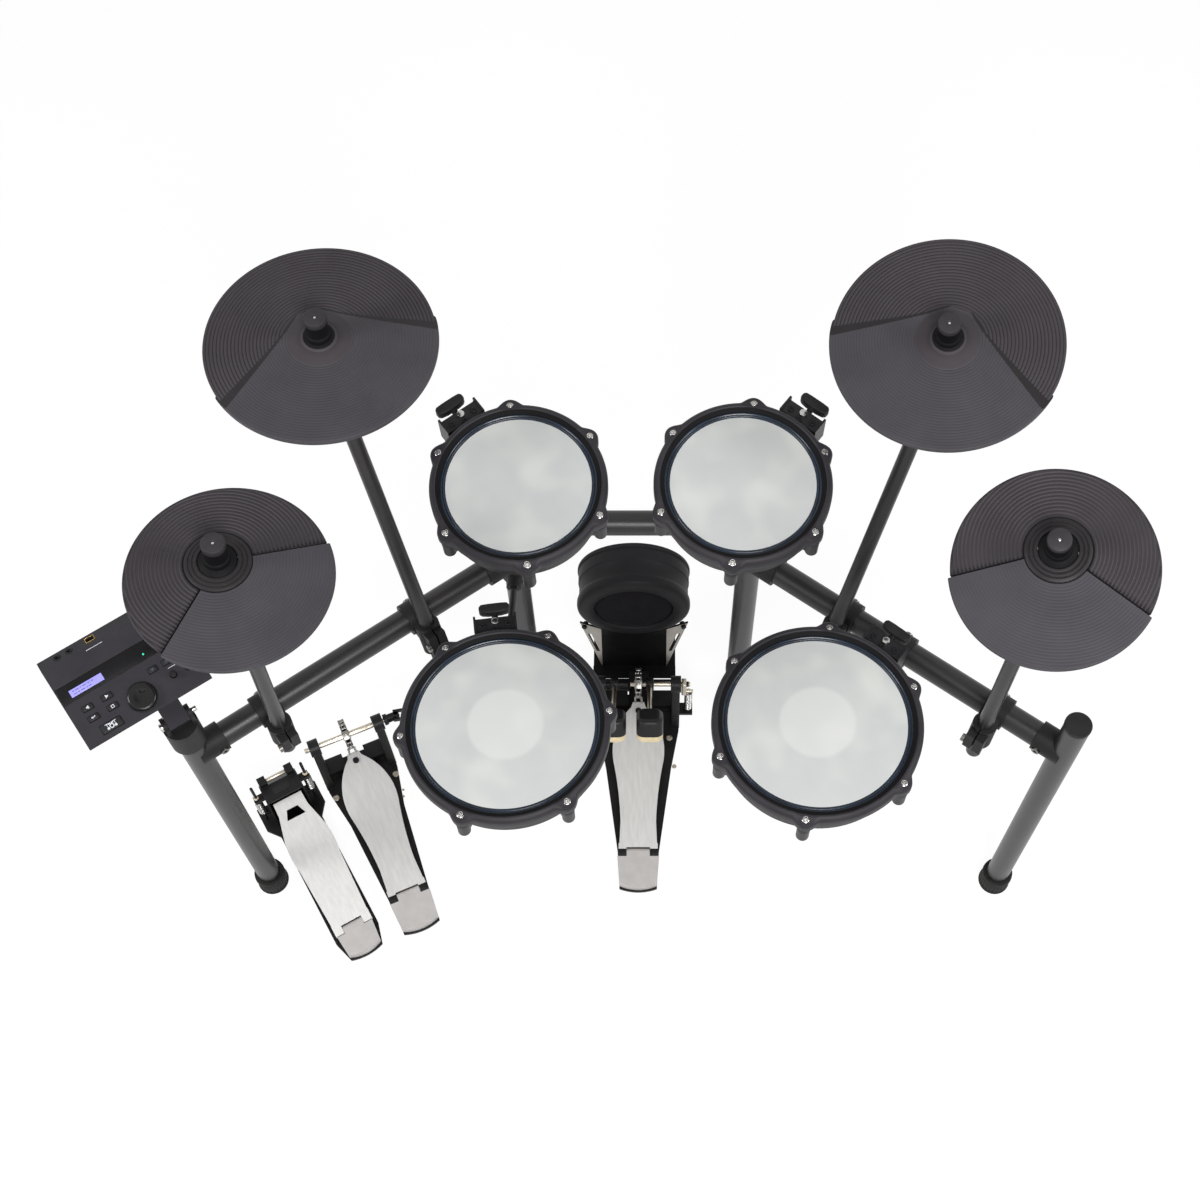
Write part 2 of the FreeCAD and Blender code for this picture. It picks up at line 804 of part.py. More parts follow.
def small_cymbal():
    """A ride or hi-hat: off-centre bell, and a front sector between two slits."""
    edge = S["small_bell_edge"]
    reach = S["small_radius"] + S["small_offset"] + 2
    step = 1.6
    top, bottom = bell_outline(edge, 9.0, 2.6)
    outline = top + [(edge, 9.0 - step), (reach, -1.2), (reach, -1.2 - S["small_rim"])] + bottom
    disc = turned("SmallDisc", outline)
    tall = S["small_radius"]
    centre = at(0, -S["small_offset"], -tall / 2)
    back_field = cylinder(S["small_radius"] - S["small_back_inset"], tall, centre)
    front_field = cylinder(S["small_radius"], tall, centre)
    half = math.radians(float(S["sector_angle"]) / 2)
    far = S["small_radius"] * 2
    wedge = plate("SectorField", [
        (0, 0), (far * -math.sin(half), far * -math.cos(half)), (0, far * -1.3),
        (far * math.sin(half), far * -math.cos(half))], tall, middle=True)
    field = fuse(back_field, shared(front_field, wedge))
    slits = []
    for sign in (-1, 1):
        turn = Rotation(UP, sign * float(S["sector_angle"]) / 2)
        length = S["small_radius"] * 1.3
        middle = turn.multVec(Vector(0, -float(edge + length / 2), 0))
        surface = 9.0 - step - S["sector_slit_depth"]
        slope = math.degrees(math.atan2(float(surface + S["sector_slit_depth"] + 1.2), float(reach - edge)))
        tilt = Rotation(RIGHT, slope)
        drop = math.tan(math.radians(slope)) * float(length / 2)
        slits.append(block(S["sector_slit"], length, tall,
                           Placement(middle + UP * (float(surface) - drop), turn.multiply(tilt))))
    return cut(shared(disc, field), *slits)


def build_cymbals():
    big = crash()
    little = small_cymbal()
    for cymbal in CYMBALS:
        source = little if cymbal.small else big
        node(f"{cymbal.name}_cymbal", collect(copy(source, HERE)), cymbal.place)


def build_arms():
    """Straight arms, tilters, rubber seats and screw caps of the four cymbals."""
    drop = S["swing_centre_drop"]
    post = S["post_radius"]
    seat_ball = S["bell_radius"] - S["bell_wall"] - S["loose_gap"]
    out = S["seat_radius"]
    bore = post + S["fit_gap"]
    middle = (bore + out) / 2
    shoulder = sphere_height(seat_ball, out) - drop
    seat = turned("CymbalSeat", [
        (bore, sphere_height(seat_ball, bore) - drop,
         (middle, sphere_height(seat_ball, middle) - drop)),
        (out, shoulder), (out - 2, shoulder - S["seat_skirt"]), (bore, shoulder - S["seat_skirt"])])
    cap_ball = S["bell_radius"] + S["loose_gap"]
    flange = S["cap_flange"]
    centre = (bore + flange) / 2
    skirt = sphere_height(cap_ball, flange) - drop
    cap = turned("CymbalCap", [
        (bore, sphere_height(cap_ball, bore) - drop,
         (centre, sphere_height(cap_ball, centre) - drop)),
        (flange, skirt), (flange, skirt + 6), (flange - 2, skirt + 8),
        (S["cap_tip"], S["cap_top"] - 1.5), (S["cap_tip"] - 1.5, S["cap_top"]), (bore, S["cap_top"])])
    arms = []
    tilters = []
    seats = []
    caps = []
    for cymbal in CYMBALS:
        reach = (cymbal.knuckle - cymbal.grip).Length
        tail = cymbal.grip - cymbal.arm * float(S["arm_tail"])
        arm_end = reach + S["arm_tail"] - ARM - 4
        arms.append(cylinder(ARM, arm_end, aim(tail, cymbal.arm)))
        sleeve_length = ARM * 2.4
        sleeve_base = cymbal.knuckle - cymbal.arm * float(sleeve_length)
        sleeve = cylinder(ARM + 4, sleeve_length, aim(sleeve_base, cymbal.arm))
        knuckle = ball(ARM + 5, Placement(cymbal.knuckle, Rotation()))
        stem = cylinder(ARM - 2, S["knuckle_drop"] + shoulder - S["seat_skirt"],
                        aim(cymbal.knuckle, cymbal.normal))
        spindle = cylinder(post, S["knuckle_drop"] + S["cap_top"] - 2,
                           aim(cymbal.knuckle, cymbal.normal))
        socket = cylinder(ARM + S["fit_gap"], reach, aim(
            cymbal.knuckle - cymbal.arm * float(reach + ARM + 4), cymbal.arm))
        tilters.append(cut(fuse(sleeve, knuckle, stem, spindle), socket))
        seats.append(copy(seat, cymbal.place))
        caps.append(copy(cap, cymbal.place))
    node("cymbal_arms", collect(*arms))
    node("cymbal_tilters", collect(*tilters))
    node("cymbal_seats", collect(*seats))
    node("cymbal_caps", collect(*caps))


def arm_clamp(cymbal):
    """A clamp with a ring on the side bar and a split collar for the arm, and its two bolts."""
    place = cymbal.side.clamp_frame(cymbal.clamp_at)
    inverse = place.Rotation.inverted()
    arm = inverse.multVec(cymbal.arm)
    width = S["clamp_width"]
    offset = S["arm_offset"]
    height = S["arm_collar_height"]
    wall = ARM + S["clamp_wall"]
    grip = Vector(0, float(offset), 0)
    low = grip - arm * float(height / 2)
    ring = cylinder(CLAMP - 1, width, at(-width / 2, 0, 0, Rotation(UP, RIGHT)))
    collar = cylinder(wall, height, aim(low, arm))
    neck = block(width - 6, offset, height * 0.62, at(0, offset / 2, height * -0.31))
    ear = block(width - 8, wall, height * 0.72, aim(low, arm).multiply(
        at(0, wall + 1, height * 0.14)))
    bar_bore = cylinder(BORE, width * 3, at(width * -1.5, 0, 0, Rotation(UP, RIGHT)))
    arm_bore = cylinder(ARM + S["fit_gap"], height * 3, aim(grip - arm * float(height * 1.5), arm))
    slot = block(S["clamp_slot"], wall * 2, height * 2, aim(low, arm).multiply(
        at(0, wall, height * -0.5)))
    outer = aim(Vector(0, -float(CLAMP - 3), 0), Vector(0, -1, 0))
    thing = cut(fuse(ring, collar, neck, ear), bar_bore, arm_bore, slot, counterbore(outer))
    thing.Placement = place
    spread = float(width / 2 - 4)
    pinch = aim(low, arm).multVec(Vector(spread, float(wall * 1.45), float(height / 2)))
    sideways = aim(low, arm).Rotation.multVec(RIGHT)
    bolts = [bolt(place.multiply(aim(pinch, sideways))), bolt(place.multiply(outer))]
    return thing, bolts


# Drum pads

class Pad:
    """One drum pad: its frame at the middle of the head, and the rod that carries it."""

    def __init__(self, name, large, holder_axis, holder_height):
        self.name = name
        self.head = S["large_head_radius"] if large else S["small_head_radius"]
        tilt = math.radians(float(S[f"{name}_tilt"]))
        self.normal = Vector(0, -math.sin(tilt), math.cos(tilt))
        out = bearing(S[f"{name}_bearing"])
        out = (out - self.normal * out.dot(self.normal)).normalize()
        centre = spot(S[f"{name}_x"], S[f"{name}_y"], S[f"{name}_z"])
        self.place = frame(centre, out, self.normal.cross(out))
        self.rod_out = self.head + S["bracket_rod_out"]
        top = self.place.multVec(Vector(float(self.rod_out), 0, 0))
        drop = (top.z - float(holder_height)) / self.normal.z
        self.corner = top - self.normal * drop
        self.holder = holder_axis(self.corner)
        level = Vector(self.holder.x - self.corner.x, self.holder.y - self.corner.y, 0)
        self.run = level.Length
        self.level = level.normalize()
        self.rod_length = drop


def rear_leg_axis(sign):
    return lambda corner: Vector(REAR_LEGS[sign].x, REAR_LEGS[sign].y, corner.z)


def side_bar_axis(sign):
    side = SIDES[sign]
    return lambda corner: side.point((corner - side.start).dot(side.along))


PADS = [
    Pad("left_tom", False, rear_leg_axis(-1), S["tom_holder_height"]),
    Pad("right_tom", False, rear_leg_axis(1), S["tom_holder_height"]),
    Pad("snare", True, rear_leg_axis(-1), S["snare_holder_height"]),
    Pad("floor_tom", True, side_bar_axis(1), S["side_bar_height"]),
]


def lug_places(pad, height, shift=0.0):
    """Places of the lugs, half a step off the bracket's direction."""
    count = int(S["lug_count"])
    out = float(pad.head + S["hoop_width"] - S["lug_setback"] + shift)
    for index in range(count):
        direction = bearing(360.0 * (index + 0.5) / count)
        yield at(direction.x * out, direction.y * out, height, Rotation(UP, 360.0 * (index + 0.5) / count))


def pad_shell(pad):
    """The moulded shell with its lug towers and rod bracket, and the trigger inside it."""
    head = pad.head
    edge = head + 0.5
    skin = head + S["shell_outset"]
    ledge = S["hoop_depth"] + 1
    top = S["head_thickness"] + S["loose_gap"]
    bottom = S["shell_depth"]
    wall = S["shell_wall"]
    inner = head - S["bearing_edge_wall"] + 0.5
    cup = turned(f"{pad.name}Cup", [
        (0, -bottom), (skin - 8, -bottom), (skin, wall * 2 - bottom), (skin, -ledge),
        (edge, -ledge), (edge, -top), (inner, -top), (inner, -ledge - wall),
        (inner, wall - bottom), (0, wall - bottom)])
    tower_bottom = bottom - 4
    tower_height = tower_bottom - ledge
    solids = [cup]
    for place in lug_places(pad, -tower_bottom):
        solids.append(cylinder(S["tower_radius"], tower_height, place))
    for place in lug_places(pad, -tower_bottom, shift=float(S["tower_radius"]) * -0.9):
        solids.append(block(S["tower_radius"] * 1.8, S["tower_radius"] * 1.5, tower_height, place))
    depth = S["bracket_bottom"]
    width = S["bracket_width"]
    far = pad.rod_out + S["bracket_past_rod"]
    neck_from = head + S["shell_outset"] - 3
    under = depth - ledge - 3
    solids.append(block(far - neck_from, width, under, at((far + neck_from) / 2, 0, -depth)))
    front = head + S["hoop_width"] + 3
    solids.append(block(far - front, width, depth - S["bracket_top"],
                        at((far + front) / 2, 0, -depth)))
    for sign in (-1, 1):
        solids.append(block(far - front + 4, 3.0, depth - S["bracket_top"] + 2,
                            at((far + front) / 2 + 2, sign * width / 2, -depth)))
    rod_bore = cylinder(S["pad_rod"] / 2 + S["turning_gap"], bottom * 2, at(pad.rod_out, 0, -bottom * 1.5))
    screw_bore = cylinder(S["wing_screw"] + S["turning_gap"], far, at(
        pad.rod_out, 0, -S["wing_drop"], Rotation(UP, RIGHT)))
    holes = [rod_bore, screw_bore]
    for place in lug_places(pad, -S["tension_bolt_length"] - 2):
        holes.append(cylinder(S["tension_bolt"] + S["fit_gap"], S["tension_bolt_length"], place))
    moulding = cut(fuse(*solids), *holes)
    trigger = cone(S["trigger_base"], S["trigger_tip"], bottom - wall - top - S["loose_gap"],
                   at(0, 0, wall - bottom))
    return collect(moulding, trigger)


def pad_head(pad):
    """The mesh head and the ring that it is bonded to."""
    head = pad.head
    inset = head + S["head_ring_inset"]
    outset = head + S["head_ring_outset"]
    rise = 1.5
    return turned(f"{pad.name}Head", [
        (0, -S["head_thickness"]), (inset, -S["head_thickness"]), (inset, -S["head_ring_depth"]),
        (outset, -S["head_ring_depth"]), (outset, rise), (inset, rise), (inset - 1, 0), (0, 0)])


def pad_hoop(pad):
    """The rubber-covered hoop with its six lug swellings, and the six tension bolts."""
    head = pad.head
    lip = head + S["hoop_lip"]
    seat = head + S["head_ring_outset"] + S["loose_gap"]
    wide = head + S["hoop_width"]
    rise = S["hoop_rise"]
    over = 1.5 + S["loose_gap"]
    ring = turned(f"{pad.name}Hoop", [
        (seat, -S["hoop_depth"]), (wide - 1, -S["hoop_depth"]), (wide, -S["hoop_depth"] * 0.6),
        (wide - 1, rise * 0.3, (wide - 3, rise * 0.75)), (wide - 8, rise), (lip + 2, rise - 1),
        (lip, rise * 0.5), (lip, over), (seat, over)])
    swells = [cylinder(S["lug_radius"], S["hoop_depth"] + rise * 0.45, place)
              for place in lug_places(pad, -S["hoop_depth"])]
    inside = cylinder(seat, S["hoop_depth"] + over, at(0, 0, -S["hoop_depth"]))
    opening = cylinder(lip, rise * 4, at(0, 0, -rise))
    level = rise * 0.45
    holes = [cylinder(S["tension_bolt"] + S["fit_gap"], rise * 6, place)
             for place in lug_places(pad, -rise * 3)]
    seats = [cylinder(S["tension_bolt_head"] + S["loose_gap"], rise * 2, place)
             for place in lug_places(pad, level)]
    hoop = cut(fuse(ring, *swells), inside, opening, *holes, *seats)
    length = S["tension_bolt_length"]
    shank = cylinder(S["tension_bolt"], length, at(0, 0, -length))
    crown = cylinder(S["tension_bolt_head"], 2.6)
    square = block(3.6, 3.6, 2.4, at(0, 0, 2.6))
    screw = fuse(shank, crown, square)
    return collect(hoop, *[copy(screw, place) for place in lug_places(pad, level)])


def wing_screw(pad):
    """The hand screw that locks the pad on its rod: a T-shaped grip on a short thread."""
    start = pad.rod_out + S["pad_rod"] / 2 + S["loose_gap"]
    face = pad.rod_out + S["bracket_past_rod"] + S["loose_gap"]
    stem = 13.0
    deep = 12.0
    thread = cylinder(S["wing_screw"], face - start + stem, at(start, 0, 0, Rotation(UP, RIGHT)))
    collar = cylinder(S["wing_screw"] + 3, 3.0, at(face, 0, 0, Rotation(UP, RIGHT)))
    half = S["wing_span"] / 2
    near = face + stem - 2
    far = near + deep
    grip = plate(f"{pad.name}Grip", [
        (near + 2, -8.0), (near, 7 - half), (near + 2, 1 - half), (near + deep / 2, -half),
        (far - 2, 1 - half), (far, 7 - half), (far - 2, -8.0), (far - 2, 8.0), (far, half - 7),
        (far - 2, half - 1), (near + deep / 2, half), (near + 2, half - 1), (near, half - 7),
        (near + 2, 8.0)], 11.0, middle=True)
    return fuse(thread, collar, grip)


def build_pads():
    for pad in PADS:
        node(f"{pad.name}_shell", pad_shell(pad), pad.place)
        node(f"{pad.name}_hoop", pad_hoop(pad), pad.place)
        node(f"{pad.name}_head", collect(pad_head(pad)), pad.place)
        node(f"{pad.name}_wing_screw", wing_screw(pad), pad.place.multiply(at(0, 0, -S["wing_drop"])))


def build_pad_rods():
    """The bent rods that carry the pads."""
    radius = S["pad_rod"] / 2
    bend = S["pad_rod_bend"]
    rods = []
    for pad in PADS:
        between = pad.normal.getAngle(pad.level)
        tangent = float(bend) / math.tan(between / 2)
        first = pad.corner + pad.normal * tangent
        upright = cylinder(radius, pad.rod_length - tangent - 1, aim(first, pad.normal))
        middle = (pad.normal + pad.level).normalize()
        centre = pad.corner + middle * (float(bend) / math.sin(between / 2))
        quarter = doc.addObject("Part::Torus", "Bend")
        bind(quarter, Radius1=bend, Radius2=radius, Angle3=180.0 - math.degrees(between))
        quarter.Placement = frame(centre, (first - centre).normalize(), pad.normal * -1)
        foot = cylinder(radius, pad.run - tangent - TUBE - 2, aim(
            pad.corner + pad.level * tangent, pad.level))
        rods.append(fuse(upright, quarter, foot))
    node("pad_rods", collect(*rods))


def pad_holder(pad, axis):
    """A collar on a rack tube with a socket for a pad rod, and its bolt."""
    width = S["clamp_width"]
    ring = cylinder(CLAMP - 1, width, aim(pad.holder - axis * float(width / 2), axis))
    socket_length = CLAMP + 14
    outward = pad.level * -1
    socket = cylinder(S["pad_rod"] + 1, socket_length, aim(pad.holder, outward))
    tube_bore = cylinder(BORE, width * 3, aim(pad.holder - axis * float(width * 1.5), axis))
    rod_bore = cylinder(S["pad_rod"] / 2 + S["fit_gap"], socket_length, aim(
        pad.holder + outward * float(TUBE + 1.5), outward))
    outer = aim(pad.holder + pad.level * float(CLAMP - 3), pad.level)
    thing = cut(fuse(ring, socket), tube_bore, rod_bore, counterbore(outer))
    return thing, bolt(outer)


def build_bar_clamps(bolts):
    """All clamps that carry a cymbal arm or a pad rod, and every clamp bolt of the rack."""
    clamps = []
    for cymbal in CYMBALS:
        thing, pair = arm_clamp(cymbal)
        clamps.append(thing)
        bolts.extend(pair)
    for pad in PADS:
        axis = SIDES[1].along if pad.name == "floor_tom" else UP
        thing, screw = pad_holder(pad, axis)
        clamps.append(thing)
        bolts.append(screw)
    node("bar_clamps", collect(*clamps))
    node("clamp_bolts", collect(*bolts))


# Sound module

PIVOT = Placement(FRONT_LEGS[-1] + Vector(0, 0, float(S["module_pivot_height"])),
                  Rotation(UP, float(S["module_turn"])))
MODULE = PIVOT.multiply(at(0, 0, 0, Rotation(RIGHT, float(S["module_rest_tilt"]))))
PANEL = S["module_lift"] + S["module_height"]


def panel_place(u, v, height=0.0):
    """A place on the module's panel, from its front left corner."""
    return at(u - S["module_left"], v + S["module_ahead"], PANEL + height)


def build_module_bracket():
    """A cup on the left leg with two cheeks that hold the module's pivot bolt."""
    low = S["front_leg_height"] - S["cap_thickness"] - S["module_cup_depth"] - S["module_pivot_height"]
    top = S["front_leg_height"] + 1 - S["module_pivot_height"]
    cup = cylinder(CLAMP - 1, top - low + 3, at(0, 0, low))
    leg_bore = cylinder(TUBE + S["cap_overlap"] + S["fit_gap"], top - low, at(0, 0, low))
    solids = [cup]
    radius = S["module_pivot_radius"]
    middle = (S["cheek_gap"] + S["cheek_thickness"]) / 2
    for sign in (-1, 1):
        lean = at(sign * middle - S["cheek_thickness"] / 2, 0, 0, Rotation(UP, RIGHT))
        solids.append(cylinder(radius, S["cheek_thickness"], lean))
        solids.append(block(S["cheek_thickness"], radius * 2, radius - low * 0.4,
                            at(sign * middle, 0, low * 0.4 - radius)))
    pin_length = S["cheek_gap"] + S["cheek_thickness"] * 2 + 10
    pin_place = at(pin_length * -0.5 + 3, 0, 0, Rotation(UP, RIGHT))
    frame_piece = cut(fuse(*solids), leg_bore,
                      cylinder(S["bolt_radius"] + S["fit_gap"], pin_length, pin_place))
    pin = cylinder(S["bolt_radius"], pin_length, pin_place)
    node("module_bracket", collect(frame_piece, pin), PIVOT)


CONTROLS = {
    "previous_button": ("small", S["button_left_u"], S["button_upper_v"]),
    "next_button": ("small", S["button_right_u"], S["button_upper_v"]),
    "exit_button": ("small", S["button_left_u"], S["button_lower_v"]),
    "menu_button": ("small", S["button_right_u"], S["button_lower_v"]),
    "kit_button": ("wide", S["wide_button_u"], S["wide_button_v"]),
    "coach_button": ("lit", S["lit_near_u"], S["lit_v"]),
    "metronome_button": ("lit", S["lit_far_u"], S["lit_v"]),
}
KNOBS = {"volume_knob": S["knob_near_u"], "balance_knob": S["knob_far_u"]}


def build_module():
    """The case with its hollows for the controls, its window and its tongue, then the controls."""
    width = S["module_width"]
    depth = S["module_depth"]
    slope = S["module_back_slope"]
    height = S["module_height"]
    edge = 2.0
    undercut = S["module_front_undercut"]
    profile = plate("ModuleCase", [
        (undercut, 0), (depth + slope, 0), (depth + slope, height - S["module_back_drop"]), (depth, height),
        (edge, height), (0, height - edge)], width, plane="YZ_Plane")
    profile.Placement = at(-S["module_left"], S["module_ahead"], S["module_lift"])
    radius = S["module_pivot_radius"] - 1
    tongue_width = S["cheek_gap"] - S["loose_gap"] * 2
    tongue_place = at(tongue_width * -0.5, 0, 0, Rotation(UP, RIGHT))
    tongue = cylinder(radius, tongue_width, tongue_place)
    web_reach = S["module_ahead"] + undercut + 24
    web = block(tongue_width, radius + web_reach, radius, at(
        0, (web_reach - radius) / 2, S["module_lift"] + 2 - radius))
    hollows = [cylinder(S["bolt_radius"] + S["turning_gap"], width, at(
        width * -0.5, 0, 0, Rotation(UP, RIGHT)))]
    gap = S["loose_gap"]
    deep = S["control_depth"]
    for kind, u, v in CONTROLS.values():
        hollows.append(block(S[f"{kind}_button_width"] + gap * 2, S[f"{kind}_button_depth"] + gap * 2,
                             deep + 1, panel_place(u, v, -deep)))
    for u in KNOBS.values():
        hollows.append(cylinder(S["knob_radius"] + gap, deep + 1, panel_place(u, S["knob_v"], -deep)))
    hollows.append(cylinder(S["dial_radius"] + gap, deep + 1, panel_place(S["dial_u"], S["dial_v"], -deep)))
    window_depth = S["window_to"] - S["window_from"]
    window_middle = (S["window_to"] + S["window_from"]) / 2
    hollows.append(block(width - 4, window_depth, S["window_depth"] + 1,
                         panel_place(width / 2, window_middle, -S["window_depth"])))
    for u in (S["jack_first_u"], S["jack_second_u"]):
        hollows.append(cylinder(S["jack_bore"], S["jack_depth"], jack_axis(u)))
    hollows.append(block(S["data_port_width"], S["data_port_height"], S["jack_depth"],
                         jack_axis(S["data_port_u"])))
    case = cut(fuse(profile, tongue, web), *hollows)
    window = block(width - 4 - gap * 2, window_depth - gap * 2, S["window_depth"],
                   panel_place(width / 2, window_middle, -S["window_depth"]))
    node("module_case", collect(case, window), MODULE)
    floor = gap - deep
    for name, (kind, u, v) in CONTROLS.items():
        rise = S["button_rise"]
        button = block(S[f"{kind}_button_width"], S[f"{kind}_button_depth"],
                       deep - S["button_travel"] - gap + rise)
        node(name, button, MODULE.multiply(panel_place(u, v, floor + S["button_travel"])).multiply(
            at(-S[f"{kind}_button_width"] / 2, -S[f"{kind}_button_depth"] / 2, 0)))
    for name, u in KNOBS.items():
        knob = turned(name.title().replace("_", ""), [
            (0, 0), (S["knob_radius"], 0), (S["knob_radius"] * 0.9, deep + S["knob_height"] - 1),
            (S["knob_radius"] * 0.8, deep + S["knob_height"]), (0, deep + S["knob_height"])])
        node(name, knob, MODULE.multiply(panel_place(u, S["knob_v"], floor)))
    dial_top = deep + S["dial_height"]
    dial = turned("Dial", [
        (0, 0), (S["dial_radius"], 0), (S["dial_radius"], dial_top - 3), (S["dial_radius"] - 2, dial_top),
        (S["dial_radius"] * 0.5, dial_top - 0.8), (0, dial_top - 1.2)])
    dimple = cylinder(2.6, 3.0, at(S["dial_radius"] * 0.45, 0, dial_top - 2.4))
    node("module_dial", cut(dial, dimple), MODULE.multiply(panel_place(S["dial_u"], S["dial_v"], floor)))


def jack_axis(u):
    """A place that sinks a hole into the sloping back edge, with Z pointing out of it."""
    slope = S["module_back_slope"]
    drop = S["module_back_drop"]
    bevel = math.degrees(math.atan2(float(slope), float(drop)))
    mouth = panel_place(u, S["module_depth"] + slope / 2, -drop / 2)
    return mouth.multiply(at(0, 0, 0, Rotation(RIGHT, bevel - 90.0))).multiply(
        at(0, 0, 2 - S["jack_depth"]))


# Bass-drum pad and its tower

def build_kick():
    face = spot(0, S["kick_face_y"], S["kick_centre_height"])
    place = frame(face, RIGHT, UP * -1)
    radius = S["kick_radius"]
    rim = S["kick_rim_depth"]
    waist = S["kick_waist"]
    depth = S["kick_depth"]
    disc = S["kick_disc_radius"] + S["loose_gap"]
    pocket = S["kick_disc_depth"] + S["kick_disc_recess"]
    back_rim = 15.0
    shell = turned("KickShell", [
        (disc, 0), (radius - 6, 0, (radius - 1.6, 2.0)), (radius, 7.0), (radius, rim - 6), (waist, rim),
        (waist, depth - back_rim - 2), (radius, depth - back_rim), (radius, depth - 3), (radius - 3, depth),
        (0, depth), (0, pocket), (disc, pocket)])
    cushion = turned("KickCushion", [
        (0, S["kick_disc_recess"] - 2), (S["kick_disc_radius"] * 0.6, S["kick_disc_recess"] - 1.4),
        (S["kick_disc_radius"] - 1, S["kick_disc_recess"]),
        (S["kick_disc_radius"], S["kick_disc_recess"] + 1),
        (S["kick_disc_radius"], pocket - S["loose_gap"]), (0, pocket - S["loose_gap"])])
    node("kick_pad_shell", shell, place)
    node("kick_cushion", cushion, place)
    width = S["tower_width"]
    front = S["tower_front_y"]
    gauge = S["tower_sheet"]
    high = S["tower_height"]
    deep = S["tower_depth"]
    floor = spot(0, 0, 0)
    lean = S["kick_face_y"] + 4 - front
    channel = plate("TowerChannel", [
        (front, 0), (front + deep + lean, 0), (front + deep + lean, high), (front + lean, high),
        (front + lean, high * 0.72)], width, plane="YZ_Plane", middle=True)
    inner = plate("TowerHollow", [
        (front + gauge, gauge), (front + deep + lean + 1, gauge), (front + deep + lean + 1, high + 1),
        (front + lean + gauge, high + 1), (front + lean + gauge, high * 0.72)],
        width - gauge * 2, plane="YZ_Plane", middle=True)
    cradle = cylinder(radius + S["loose_gap"], S["kick_depth"] * 2, at(
        0, S["kick_face_y"] - S["kick_depth"], S["kick_centre_height"], Rotation(UP, Vector(0, 1, 0))))
    base = block(S["tower_lip_width"], S["tower_base_length"], gauge, at(
        0, front + S["tower_base_length"] / 2 - 8, 0))
    lip_y = front - S["tower_lip_length"] / 2
    lip = block(S["tower_lip_width"], S["tower_lip_length"] + 4, gauge, at(
        0, lip_y + 2, S["tower_lip_height"] - gauge))
    apron = block(S["tower_lip_width"], gauge, S["tower_lip_height"], at(0, front + 2, 0))
    channel_cut = cut(channel, inner, cradle)
    saddle = block(width - gauge * 2, deep - gauge, 12.0, at(
        0, front + lean + gauge + (deep - gauge) / 2, S["kick_centre_height"] - radius - 24))
    saddle_cut = cut(saddle, copy(cradle, cradle.Placement))
    stays = []
    for sign in (-1, 1):
        root = Vector(sign * float(width / 2 - gauge), float(front + 6), float(gauge))
        tip = Vector(sign * float(S["stay_out"]), float(front + S["stay_back"]), float(S["stay_height"]))
        inner_top = Vector(sign * float(width / 2 - gauge), float(front + lean + 4), float(S["stay_height"]))
        stays.append(kick_stay(root, tip, inner_top, gauge))
    tower = fuse(channel_cut, saddle_cut, base, lip, apron, *stays)
    node("kick_tower", tower, Placement(floor, Rotation()))


def kick_stay(root, tip, inner_top, gauge):
    """A slotted side plate that flares from the tower's foot to a knob beside the pad."""
    along = (tip - root).normalize()
    length = (tip - root).Length
    inward = inner_top - root
    rise = inward.dot(along)
    inward = inward - along * rise
    depth = inward.Length
    place = frame(root, along, inward.normalize())
    sheet_plate = plate("KickStay", [(0, 0), (length, 0), (rise, depth)], gauge, middle=True)
    slot = block(length * 0.36, S["stay_slot"], gauge * 3, at(length * 0.6, 9.0, gauge * -1.5))
    knob = cylinder(S["stay_knob"], gauge + 9, at(length - 9, 7.0, (gauge + 9) / -2))
    thing = fuse(cut(sheet_plate, slot), knob)
    thing.Placement = place
    return thing


# Pedals

class Pedal:
    """A pedal's frame: origin on the floor under its axle, Y along the footboard to the toe."""

    def __init__(self, x, y, turn, spread):
        self.place = Placement(spot(x, y, 0), Rotation(UP, float(turn)))
        self.spread = spread

    def axle(self, along=0.0):
        return self.place.multiply(at(along, 0, S["axle_height"]))


MAIN = Pedal(S["main_pedal_x"], S["main_pedal_y"], 0.0, S["main_post_spread"])
SLAVE = Pedal(S["slave_pedal_x"], S["slave_pedal_y"], S["slave_pedal_turn"], S["slave_post_spread"])
HAT = Placement(spot(S["hat_pedal_x"], S["hat_pedal_y"], 0), Rotation(UP, float(S["hat_pedal_turn"])))
SIDEWAYS = Rotation(UP, RIGHT)


def pedal_post(spread, sign):
    """A tapered post with a round bearing head, standing on the base plate."""
    width = S["post_width"]
    head = S["post_head"]
    foot = S["post_foot"]
    high = S["axle_height"]
    base = S["base_thickness"]
    web = plate("PedalPost", [
        (foot * -0.7, base), (foot * 0.3, base), (head * 0.6, high), (head * -0.6, high)],
        width, plane="YZ_Plane", middle=True)
    web.Placement = at(sign * spread, 0, 0)
    boss = cylinder(head, width + 4, at(sign * spread - width / 2 - 2, 0, high, SIDEWAYS))
    return fuse(web, boss)


